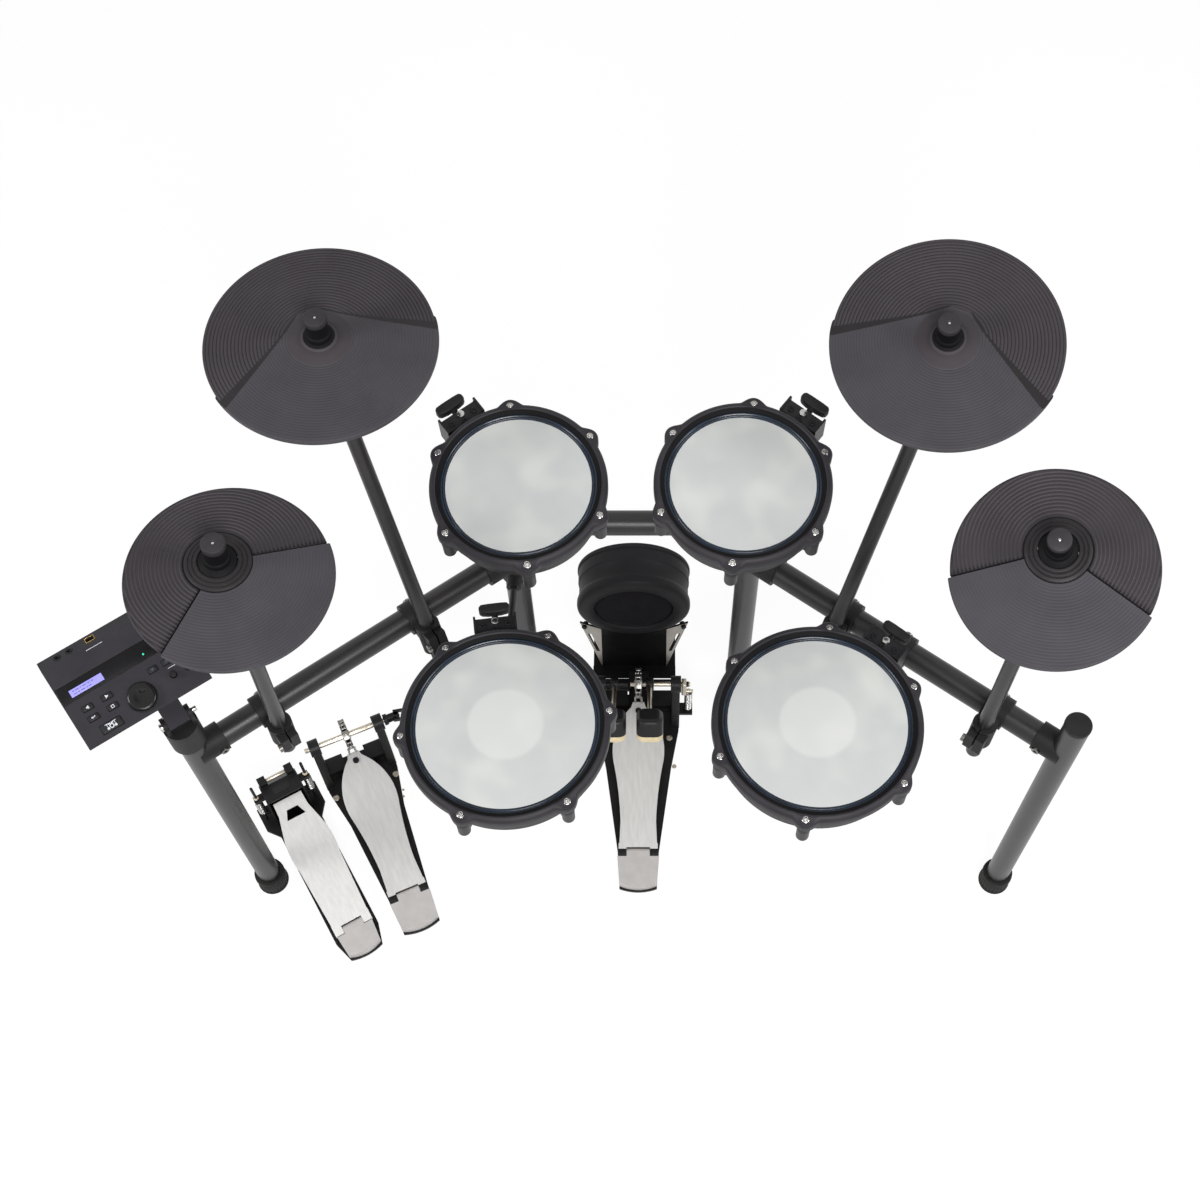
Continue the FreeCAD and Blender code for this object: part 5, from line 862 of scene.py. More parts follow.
def coil_repeater() -> Repeater:
    """Builds a tree that winds a wire into a coil about Z.

    Returns:
        The tree.
    """
    made = Repeater("wound_coil")
    turns = made.ask("Turns", "NodeSocketFloat")
    radius = made.ask("Radius", "NodeSocketFloat")
    height = made.ask("Height", "NodeSocketFloat")
    wire = made.ask("Wire", "NodeSocketFloat")
    path = add(made.tree, "GeometryNodeCurveSpiral", {
        "Resolution": 28, "Rotations": turns, "Start Radius": radius, "End Radius": radius, "Height": height})
    section = add(made.tree, "GeometryNodeCurvePrimitiveCircle", {"Resolution": 10, "Radius": wire})
    tube = add(made.tree, "GeometryNodeCurveToMesh", {
        "Curve": path.outputs["Curve"], "Profile Curve": section.outputs["Curve"], "Fill Caps": True})
    smooth = add(made.tree, "GeometryNodeSetShadeSmooth", {"Geometry": tube.outputs["Mesh"]})
    return made.close(smooth.outputs["Geometry"])


def unit_of(shaper: Shaper) -> Object:
    """Makes a helper object for a repeated unit, which is removed after use."""
    return bpy.data.objects.new("unit", shaper.mesh("unit"))


def stood_round(ring: Repeater, unit: Shaper, place: Matrix, count: int, radius: float, finish: Finish,
                first: float = 0.0) -> Mesh:
    """Stands copies of a unit round a circle.

    Args:
        ring: the tree that does it.
        unit: one unit's shape.
        place: where the circle lies.
        count: number of units.
        radius: the circle's radius.
        finish: the units' finish.
        first: angle of the first unit, in radians.

    Returns:
        The mesh of them all, in metres.
    """
    helper = unit_of(unit)
    made = ring.run(place, finish, Count=count, Radius=radius * MM, Unit=helper, First=first)
    bpy.data.objects.remove(helper)
    return made


# Rack

@dataclass
class Rack:
    """The tube rack: tubes and arms, clamps and bolts, caps and ribbed feet."""

    ring: Repeater
    leg_spots: tuple[tuple[float, float], ...] = ((-624, -350), (624, -350), (-183, 0), (183, 0))
    foot_outer: float = 27.5
    foot_top: float = 25.5
    foot_height: float = 46.0
    foot_floor: float = 5.0
    tube_outer: float = 19.05
    ribs: int = 26

    def build(self) -> None:
        """Dresses the tubes and fittings and makes the feet."""
        dress(TUBE_POWDER, "rack_legs", "side_bars", "cross_bar", "cymbal_arms", "cymbal_tilters", "pad_rods")
        dress(NYLON, "leg_caps", "corner_clamps", "bar_clamps")
        dress(ZINC, "clamp_bolts")
        dress(FOOT_RUBBER, "cymbal_seats")
        self.feet()

    def feet(self) -> None:
        """Makes the four rubber feet, with ribs round them and a rolled lip."""
        cups = Shaper()
        bore = self.tube_outer + 0.15
        out = self.foot_outer - 1.2
        top, high, floor = self.foot_top, self.foot_height, self.foot_floor
        profile = [
            (0, 0), (out - 3, 0), (out, 2.5), (out, 6), (out - 1.6, 8), (out - 2.2, high * 0.72),
            (out - 0.6, high * 0.78), (top, high * 0.86), (top - 0.6, high - 1.5), (top - 2.2, high),
            (bore, high), (bore, floor), (0, floor)]
        for x, y in self.leg_spots:
            place = Matrix.Translation(spot(x, y))
            cups.turned(profile, place, 64)
            rib = Shaper()
            rib.block(2.2, 3.4, high * 0.56, move(-0.7, 0, 8), 0.5)
            cups.join(stood_round(self.ring, rib, place, self.ribs, out - 1.4, FOOT_RUBBER))
        cups.put("leg_feet_ribbed", FOOT_RUBBER, "rack", "foot_rubber", ["leg_feet"])


# Cymbals

class CymbalKind(Enum):
    """The two kinds of cymbal pad."""

    CRASH = "crash"
    SMALL = "small"


@dataclass
class CymbalPad:
    """A rubber cymbal: grooved bow, bell and a front playing field."""

    name: str
    kind: CymbalKind
    rim: tuple[float, float, float]
    tilt: float
    lean: float
    facing: float
    crash_radius: float = 152.4
    crash_back: float = 150.2
    crash_edge: float = 42.0
    small_radius: float = 127.0
    small_edge: float = 41.0
    back_inset: float = 3.0
    offset: float = 20.0
    bell_radius: float = 38.0
    bell_wall: float = 5.7
    bell_drop: float = 18.0
    bell_hole: float = 9.0
    bell_shoulder: float = 24.0
    back_pitch: float = 4.6
    back_depth: float = 0.95
    front_pitch: float = 3.8
    front_depth: float = 0.3
    front_lift: float = 4.3
    ramp_slope: float = 0.33
    ramp_fall: float = 0.053
    ramp_level: float = 6.25
    ramp_skin: float = 0.15
    ramp_turn: float = 60.0
    ramp_away: float = 46.0
    crown: float = 21.5
    sector: float = 130.0
    slit: float = 2.2
    bow_top: float = 7.3
    bow_fall: float = 8.2
    field_step: float = 2.2
    rim_roll: float = 2.2
    steps: int = 160

    def place(self) -> Matrix:
        """Finds the cymbal's place: the bell's axis is Z and the player is at minus Y.

        Returns:
            The place.
        """
        tilt = radians(self.tilt)
        normal = bearing(self.lean) * sin(tilt) + UP * cos(tilt)
        facing = bearing(self.facing)
        back = -(facing - normal * facing.dot(normal)).normalized()
        shift = self.offset if self.kind is CymbalKind.SMALL else 0.0
        return axes(spot(*self.rim) + back * shift, back.cross(normal), back)

    def put(self, label: str, shape: Shaper, rubber: Finish, smooth: float, whole: bool = False) -> None:
        """Ends a shape as a piece on the cymbal's body, which stands for its node where it is the whole."""
        body = f"{self.name}_cymbal"
        shape.put(f"{self.name}_{label}", rubber, body, "cymbal_rubber", [body] if whole else (), smooth)

    def ball(self, radius: float, start: float, end: float) -> list[tuple[float, float]]:
        """Draws a line on the bell's ball, or on the hollow below it.

        Args:
            radius: the ball's radius.
            start: the line's first distance from the axis.
            end: its last distance.

        Returns:
            The line's points.
        """
        points = []
        for index in range(7):
            away = start + (end - start) * index / 6
            points.append((away, sqrt(radius ** 2 - away ** 2) - self.bell_drop))
        return points

    def hollow(self, edge: float, bottom: float) -> list[tuple[float, float]]:
        """The bell's lower line, from the bow to the hole."""
        inner = self.bell_radius - self.bell_wall
        return [(edge, bottom)] + self.ball(inner, self.bell_shoulder, self.bell_hole)

    def bow(self, start: tuple[float, float], end: tuple[float, float], pitch: float,
            depth: float) -> list[tuple[float, float]]:
        """Draws a sloping line of rounded ridges.

        Args:
            start: first point of the line.
            end: last point of the line.
            pitch: distance from one groove to the next.
            depth: depth of the grooves.

        Returns:
            The line's points.
        """
        count = int((end[0] - start[0]) / pitch)
        points = []
        for index in range(count * 5 + 1):
            part = index / (count * 5)
            wave = abs(sin(pi * index / 5))
            height = start[1] + (end[1] - start[1]) * part
            points.append((start[0] + (end[0] - start[0]) * part, height - depth * (1 - wave ** 0.7)))
        return points

    def build(self) -> None:
        """Makes the cymbal's pieces."""
        if self.kind is CymbalKind.CRASH:
            self.crash()
        else:
            self.small()

    def crash(self) -> None:
        """Makes a crash: a low grooved disc with a smooth bell, and a raised front between two ramps."""
        edge = self.crash_edge
        rim = self.crash_back
        low = Shaper()
        line = self.ball(self.bell_radius, self.crown, self.bell_shoulder)
        line += [(29, 10.4), (35, 8.9), (edge - 1.2, 7.5), (edge - 0.4, 7.2), (edge, 6.8)]
        line += self.bow((edge + 0.6, 6.5), (rim - 4, -0.9), self.back_pitch, self.back_depth)
        line += [(rim - 2.6, -1.0), (rim - 0.8, -1.5), (rim, -2.4), (rim, -4.2), (rim - 1, -5), (rim - 5, -5)]
        line += self.hollow(edge, 1.2)
        low.turned(line, self.place(), self.steps, ring=True)
        self.put("grooved_disc", low, GROOVE_RUBBER, 50, whole=True)
        self.raised_front()
        hole = Shaper()
        well = self.ball(self.bell_radius - 0.6, self.bell_hole, self.crown - 0.2)
        hole.turned(well + [(self.crown - 0.2, 12.8), (self.bell_hole, 12.8)], self.place(), 72, ring=True)
        self.put("bell_well", hole, CORE_AND_SHADE_RUBBER, 40)

    def raised_front(self) -> None:
        """Makes the crash's raised front: a turned shell trimmed by a slanted ramp at each edge, each ramp
        skinned in dark rubber as painted shade.
        """
        edge = self.crash_edge
        rim = self.crash_radius
        top = self.front_lift - 0.9
        line = [(edge - 2.4, 6.4), (edge - 0.6, 7.35), (edge + 0.4, 7.1)]
        line += self.bow((edge + 1, 7.0), (rim - 4, top), self.front_pitch, self.front_depth)
        line += [(rim - 2, top - 0.2), (rim - 0.6, top - 0.8), (rim, top - 1.8), (rim, -4.0)]
        line += [(rim - 0.8, -4.8), (rim - 6, -4.8), (rim - 6, -3.2), (edge + 3, 3.0), (edge - 2.4, 4.6)]
        rows = []
        for index in range(self.steps):
            way = bearing(360.0 * index / self.steps)
            rows.append([(radius * way.x, radius * way.y, height) for radius, height in line])
        part = net(rows, loop=True, ring=True)
        self.slice(part, Vector((0, self.ramp_away + 0.4, 0)), Vector((0, 1, 0)))
        for side in (-1, 1):
            self.trim(part, side)
        # Painted shade: the ramps face away from the lamps, so a thin skin of the darker bell rubber lies on
        # them
        ramps = Shaper()
        for face in [face for face in part.faces if face.material_index == 1]:
            lift = face.normal * (self.ramp_skin if face.normal.z > 0 else -self.ramp_skin)
            foot = [vert.co.copy() for vert in face.verts]
            ramps.loft([foot, [point + lift for point in foot]], self.place())
        self.put("ramps", ramps, BELL_AND_RAMP_SHADE_RUBBER, 32)
        field = Shaper()
        field.take(part, self.place())
        self.put("front_field", field, CYMBAL_RUBBER, 24)

    def trim(self, part: BMesh, side: int) -> None:
        """Cuts the front shell by a ramp that starts beside the bell and widens to the rim.

        Args:
            part: the shell.
            side: -1 for the ramp on the left, 1 for the one on the right.
        """
        angle = radians(self.ramp_turn)
        out = Vector((side * sin(angle), -cos(angle), 0))
        back = Vector((side * cos(angle), sin(angle), 0))
        foot = back * self.ramp_away + UP * self.ramp_level
        along = out - UP * self.ramp_fall
        across = UP * self.ramp_slope - back
        normal = along.cross(across).normalized()
        for face in self.slice(part, foot, normal if normal.z > 0 else -normal):
            face.material_index = 1

    def slice(self, part: BMesh, foot: Vector, normal: Vector) -> list[BMFace]:
        """Cuts off what lies beyond a plane and closes the cut.

        Args:
            part: what is cut.
            foot: a point of the plane.
            normal: the plane's direction, towards what goes.

        Returns:
            The faces that close the cut.
        """
        whole = list(part.verts) + list(part.edges) + list(part.faces)
        found = bmesh.ops.bisect_plane(part, geom=whole, plane_co=foot, plane_no=normal, clear_outer=True,
                                       dist=1e-4)
        cut = [item for item in found["geom_cut"] if isinstance(item, BMEdge)]
        return bmesh.ops.edgenet_fill(part, edges=cut)["faces"]

    def rim_reach(self, angle: float, radius: float) -> float:
        """How far the rim is from the bell's axis at an angle, for a rim circle set off from it."""
        along = self.offset * -sin(angle)
        return along + sqrt(max(radius ** 2 - self.offset ** 2 + along ** 2, 0.0))

    def fall(self, radius: float) -> float:
        """Height of a small cymbal's bow at a distance from the bell's axis."""
        start = self.small_edge + 0.4
        return self.bow_top - self.bow_fall * (radius - start) / (self.small_radius + self.offset - start)

    def small(self) -> None:
        """Makes a ride or hi-hat: stepped bell off its centre, front and back fields with slits between."""
        edge = self.small_edge
        reach = self.small_radius + self.offset
        half = self.sector / 2
        front = radians(-90 - half), radians(-90 + half)
        back = radians(-90 + half), radians(270 - half)
        inset = self.small_radius - self.back_inset
        for label, rubber, (start, end), rim, pitch, depth in (
                ("front_field", CYMBAL_RUBBER, front, self.small_radius, self.front_pitch, self.front_depth),
                ("back_field", GROOVE_RUBBER, back, inset, self.back_pitch, self.back_depth)):
            line = self.bow((edge + 0.4, self.bow_top), (reach, self.bow_top - self.bow_fall), pitch, depth)
            line += [(reach + 1, -1.6), (reach + 1, -4.2), (reach, -5.4), (edge + 0.4, 1.4)]
            shaper = Shaper()
            shaper.loft(self.field(line, start, end, rim), self.place())
            self.put(label, shaper, rubber, 48)
        self.stepped_bell()
        self.dark_core()

    def stepped_bell(self) -> None:
        """Makes the small cymbal's bell: three rounded steps down to the bow."""
        edge = self.small_edge
        bell = Shaper()
        bell.turned([
            (24.2, 8.0), (24.2, 12.3), (24.9, 12.8), (26, 12.8), (28.4, 12.1), (29.0, 11.3), (29.4, 10.6),
            (30.0, 10.6), (30.6, 11.2), (31.6, 11.2), (33.6, 10.6), (34.2, 9.8), (34.6, 9.2), (35.2, 9.2),
            (35.8, 9.8), (37, 9.7), (edge - 2, 8.7), (edge - 1, 8.2), (edge - 0.5, 7.2), (edge - 0.5, 1.9),
            (24.2, 3.8)], self.place(), 96, ring=True)
        self.put("bell", bell, BELL_AND_RAMP_SHADE_RUBBER, 34, whole=True)

    def dark_core(self) -> None:
        """Makes a small cymbal's black core: crown under the cap, seam round the bell, and beds under the
        slits, which are painted shade.
        """
        edge = self.small_edge
        place = self.place()
        core = Shaper()
        crown = self.ball(self.bell_radius, self.bell_hole, self.bell_shoulder)
        core.turned(crown + self.hollow(self.bell_shoulder, 5.0), place, 96, ring=True)
        core.turned([(edge - 0.6, 1.8), (edge + 0.5, 1.8), (edge + 0.5, 6.6), (edge - 0.6, 6.6)], place, 96,
                    ring=True)
        # Painted shade: the slits' beds are black sheets at their depth, where shade falls
        bed = ((-4, -2.2), (4, -2.2), (4, -3.6), (-4, -3.6))
        for side in (-1, 1):
            angle = radians(-90 + side * self.sector / 2)
            end = self.rim_reach(angle, self.small_radius - self.back_inset) - 1.0
            rows = [[Vector((radius, y, self.fall(radius) + z)) for y, z in bed]
                    for radius in (edge, (edge + end) / 2, end)]
            core.loft(rows, place @ Matrix.Rotation(angle, 4, "Z"))
        self.put("dark_core", core, CORE_AND_SHADE_RUBBER, 40)

    def field(self, line: Outline, start: float, end: float, rim: float) -> list[list[Vector]]:
        """Draws rows of a field's section from one slit to the other, ended by the rim.

        Args:
            line: the field's section.
            start: angle of its first slit.
            end: angle of its last slit.
            rim: radius of the rim circle.

        Returns:
            The rows of points.
        """
        steps = max(int((end - start) / radians(self.field_step)), 8)
        rows = []
        for index in range(steps + 1):
            row = []
            for radius, height in line:
                trim = self.slit / 2 / max(radius, 1.0)
                angle = start + trim + (end - start - 2 * trim) * (index / steps)
                row.append(self.on_field(radius, height, angle, self.rim_reach(angle, rim)))
            rows.append(row)
        return rows

    def on_field(self, radius: float, height: float, angle: float, away: float) -> Vector:
        """Finds a section's point, drawn in to the rim where the section would pass it.

        Args:
            radius: the point's distance from the bell's axis.
            height: its height.
            angle: its angle.
            away: the rim's distance there.

        Returns:
            The point.
        """
        if radius > away - self.rim_roll:
            edge = min(max((radius - away + self.rim_roll) / 6.0, 0.0), 1.0)
            level = self.fall(away)
            if height > -1.5:
                height = level - 1.6 * edge
                radius = away - 1.4 + 1.4 * edge
            else:
                height = max(height, level - 4.4)
                radius = away - (0.0 if height > level - 3.2 else 0.8)
        return on_circle(angle, radius, height)


@dataclass
class CymbalCaps:
    """The screw caps of all four cymbals: a black washer, a moulded nut and the post's bright end."""

    places: Sequence[Matrix]
    flange: float = 17.0
    nut: float = 14.8
    top: float = 55.2

    def build(self) -> None:
        """Makes the washers, the nuts and the post ends."""
        washers = Shaper()
        nuts = Shaper()
        ends = Shaper()
        out, nut, top = self.flange, self.nut, self.top
        for place in self.places:
            washers.turned([(4.2, 20.3), (10, 19.2), (out, 16.6), (out, 21.5), (out - 1, 23.6),
                            (out - 2.2, 24.6), (14.2, 27), (14.0, 44.2), (4.2, 44.2)], place, 56, ring=True)
            nuts.turned([(2.7, 50), (2.7, top - 0.5), (3.3, top), (nut - 2.2, top), (nut - 0.7, top - 0.7),
                         (nut, top - 2.2), (nut, 46), (nut - 0.8, 44.7), (nut - 2, 44.3), (4.4, 44.3),
                         (4.4, 50)], place, 64, ring=True)
            ends.turned([(0, top - 0.9), (1.6, top - 1.1), (2.5, top - 1.8), (2.5, 46), (0, 46)], place, 24)
        washers.put("cymbal_cap_washers", CORE_AND_SHADE_RUBBER, "rack", "fitting")
        nuts.put("cymbal_cap_nuts", CAP_ABS, "rack", "fitting", ["cymbal_caps"])
        ends.put("cymbal_post_ends", CHROME, "rack", "bolt_steel")


# Drum pads

@dataclass
class DrumPad:
    """A mesh-head pad: rubber hoop with lugs, tension bolts, head ring, woven head and shell."""

    ring: Repeater
    name: str
    head: float
    centre: tuple[float, float, float]
    tilt: float
    bracket: float
    cloth: WovenHead
    lugs: int = 6
    lug_out: float = 21.0
    lug_swell: float = 9.6
    lug_half: float = 19.0
    seat_level: float = 3.4
    rod_out: float = 39.0
    bracket_past_rod: float = 8.35
    wing_drop: float = 24.0
    wing_span: float = 44.0

    def place(self) -> Matrix:
        """Finds the pad's place: Z through the head, X towards its bracket.

        Returns:
            The place.
        """
        tilt = radians(self.tilt)
        normal = Vector((0, -sin(tilt), cos(tilt)))
        out = bearing(self.bracket)
        out = (out - normal * out.dot(normal)).normalized()
        return axes(spot(*self.centre), out, normal.cross(out))

    def put(self, label: str, shape: Shaper, finish: Finish, slot: str, stands_for: Sequence[str] = (),
            smooth: float = 32.0) -> None:
        """Ends a shape as a piece on the pad's body."""
        shape.put(f"{self.name}_{label}", finish, f"{self.name}_pad", slot, stands_for, smooth)

    def past_head(self, line: Outline) -> list[tuple[float, float]]:
        """Turns a line whose distances count from the head's edge into a profile."""
        return [(self.head + out, height) for out, height in line]

    def lug_angles(self) -> list[float]:
        """Angles of the lugs from the bracket, in degrees."""
        return [360.0 * (index + 0.5) / self.lugs for index in range(self.lugs)]

    def swell(self, angle: float) -> float:
        """Tells how near to a lug an angle is.

        Args:
            angle: the angle, in radians.

        Returns:
            1 at the lug's middle, falling smoothly to 0.
        """
        step = TURN / self.lugs
        off = angle % step - step / 2
        away = abs(off) * (self.head + self.lug_out) / self.lug_half
        return 0.0 if away >= 1 else (1 - away ** 2) ** 1.6

    def hoop_point(self, angle: float, radius: float, height: float) -> Vector:
        """Finds a point of the hoop's section, pushed out and flattened where a lug swells.

        Args:
            angle: the point's angle.
            radius: its distance from the axis, without lugs.
            height: its height, without lugs.

        Returns:
            The point.
        """
        share = max(0.0, (radius - self.head - 13.0) / 10.0)
        near = self.swell(angle)
        out = radius + self.lug_swell * near * share
        if height > self.seat_level:
            height -= (height - self.seat_level) * min(1.0, near * 1.25) * min(1.0, share * 1.6)
        return on_circle(angle, out, height)

    def build(self) -> None:
        """Makes the pad's pieces."""
        self.hoop()
        self.channel()
        self.bolts()
        self.head_ring()
        self.woven_head()
        dress(SHELL_ABS, f"{self.name}_shell")
        self.bracket_screws()
        self.wing_screw()
        self.rod_end()

    def hoop(self) -> None:
        """Makes the rubber hoop with its ridge, swollen round its lugs, and the lugs' ends below it."""
        section = self.past_head((
            (11.4, -15), (21, -15), (22.4, -14), (23, -12), (23, -6), (23, -1), (22.7, 1.6), (21.8, 3.6),
            (20.2, 5.4), (18.2, 6.8), (16.8, 7.4), (15.8, 7.5), (14.9, 7.0), (14.2, 6.0), (12.6, 5.0),
            (10.4, 4.0), (8.9, 3.2), (8.2, 2.5), (8.2, 1.95), (11.4, 1.95)))
        hoop = Shaper()
        hoop.turned(section, self.place(), 288, ring=True, shape=self.hoop_point)
        for angle in self.lug_angles():
            foot = self.place() @ turn(angle, "Z") @ move(self.head + self.lug_out, 0, -30)
            hoop.turned([(0, 0), (8.2, 0), (9.4, 1.2), (9.6, 16), (8.8, 17), (0, 17)], foot, 28)
        self.put("rubber_hoop", hoop, HOOP_RUBBER, "hoop_rubber", [f"{self.name}_hoop"], 40)

    def channel(self) -> None:
        """Makes a black ring of painted shade on the hoop's inner slope, between its ridge and the head ring.
        """
        dark = Shaper()
        dark.turned(self.past_head((
            (8.1, 2.0), (8.1, 2.7), (8.8, 3.4), (10.3, 4.2), (12.5, 5.2), (13.9, 6.1), (14.2, 5.6),
            (12.6, 4.6), (10.4, 3.6))), self.place(), 160, ring=True)
        self.put("hoop_channel", dark, CORE_AND_SHADE_RUBBER, "hoop_rubber", smooth=40)

    def bolts(self) -> None:
        """Stands chromed tension bolts with washers round the hoop."""
        unit = Shaper()
        unit.turned([(0, 0), (5.2, 0), (5.2, 0.8), (4.7, 1.2), (4.3, 1.3), (4.2, 2.4), (3.6, 3.2), (2.7, 3.4),
                     (2.5, 2.0), (0, 2.0)], HERE, 20)
        unit.block(2.4, 2.4, 2.3, move(0, 0, 1.7), 0.3)
        level = self.place() @ move(0, 0, self.seat_level - 0.1)
        mesh = stood_round(self.ring, unit, level, self.lugs, self.head + self.lug_out, CHROME,
                           pi / self.lugs)
        piece(f"{self.name}_tension_bolts", mesh, CHROME, f"{self.name}_pad")

    def head_ring(self) -> None:
        """Makes the lacquered ring with its two ridges."""
        ring = Shaper()
        ring.turned(self.past_head((
            (1.0, -0.6), (1.0, 0.2), (2.2, 0.3), (2.6, 0.9), (3.3, 1.35), (4.3, 1.4), (4.9, 1.0), (5.3, 0.6),
            (5.8, 0.9), (6.4, 1.4), (8.4, 1.5), (10.6, 1.4), (11.0, 0.8), (11.0, -12), (1.5, -12),
            (1.5, -0.6))), self.place(), 160, ring=True)
        self.put("head_ring", ring, HEAD_RING, "mesh_head", smooth=30)

    def woven_head(self) -> None:
        """Makes the woven head, stretched inside its ring."""
        base = self.head
        cloth = Shaper()
        cloth.turned([
            (0, 0.9), (base * 0.3, 0.85), (base * 0.6, 0.65), (base * 0.85, 0.35), (base + 0.9, 0.1),
            (base + 0.9, -0.8), (0, -0.8)], self.place(), 128)
        name = f"{self.name}_woven_head"
        mesh = cloth.mesh(name, 40)
        self.flat_map(mesh)
        head = piece(name, mesh, self.cloth, f"{self.name}_pad", [f"{self.name}_head"])

    def flat_map(self, mesh: Mesh) -> None:
        """Gives the head a map of its own flat coordinates, in metres from its middle.

        Args:
            mesh: the head's mesh.
        """
        back = metres(self.place()).inverted()
        layer = mesh.uv_layers.new(name="cloth")
        for loop in mesh.loops:
            local = back @ mesh.vertices[loop.vertex_index].co
            layer.data[loop.index].uv = (local.x, local.y)

    def bracket_screws(self) -> None:
        """Makes three black socket screws on the rod bracket."""
        dark = Shaper()
        for out, side in ((35.5, -18), (35.5, 18), (29.5, 0)):
            dark.hex_socket_bolt(self.place() @ move(self.head + out, side, -7.1), 4.4, 2.6)
        self.put("bracket_screws", dark, PEDAL_POWDER, "fitting")

    def wing_screw(self) -> None:
        """Makes the hand screw: a thick grip on a short stem."""
        face = self.head + self.rod_out + self.bracket_past_rod
        screw = Shaper()
        low = self.place() @ move(0, 0, -self.wing_drop)
        for start, end, radius, steps in ((-13, 14, 3.0, 24), (0.4, 3.4, 6.0, 28), (3.4, 14, 4.6, 28)):
            screw.bar(low, (face + start, 0, 0), (face + end, 0, 0), radius, steps)
        half = self.wing_span / 2
        near, far = face + 13.0, face + 28.5
        grip = [(near, -9), (near + 1.6, 4 - half), (near + 4.5, -half), (far - 3.5, -half),
                (far - 0.6, 3.5 - half), (far, -9), (far, 9), (far - 0.6, half - 3.5), (far - 3.5, half),
                (near + 4.5, half), (near + 1.6, half - 4), (near, 9)]
        screw.prism(grip, -7.4, 7.4, low, 2.4)
        name = f"{self.name}_wing_screw"
        screw.put(f"{name}_grip", NYLON, name, "wing_screw", [name])

    def rod_end(self) -> None:
        """Makes the bright end of the pad's rod."""
        out = self.head + self.rod_out
        end = Shaper()
        end.bar(self.place(), (out, 0, -9), (out, 0, -0.6), 5.35, 32, 1.0)
        end.put(f"{self.name}_rod_end", CHROME, "rack", "bolt_steel")


# Sound module

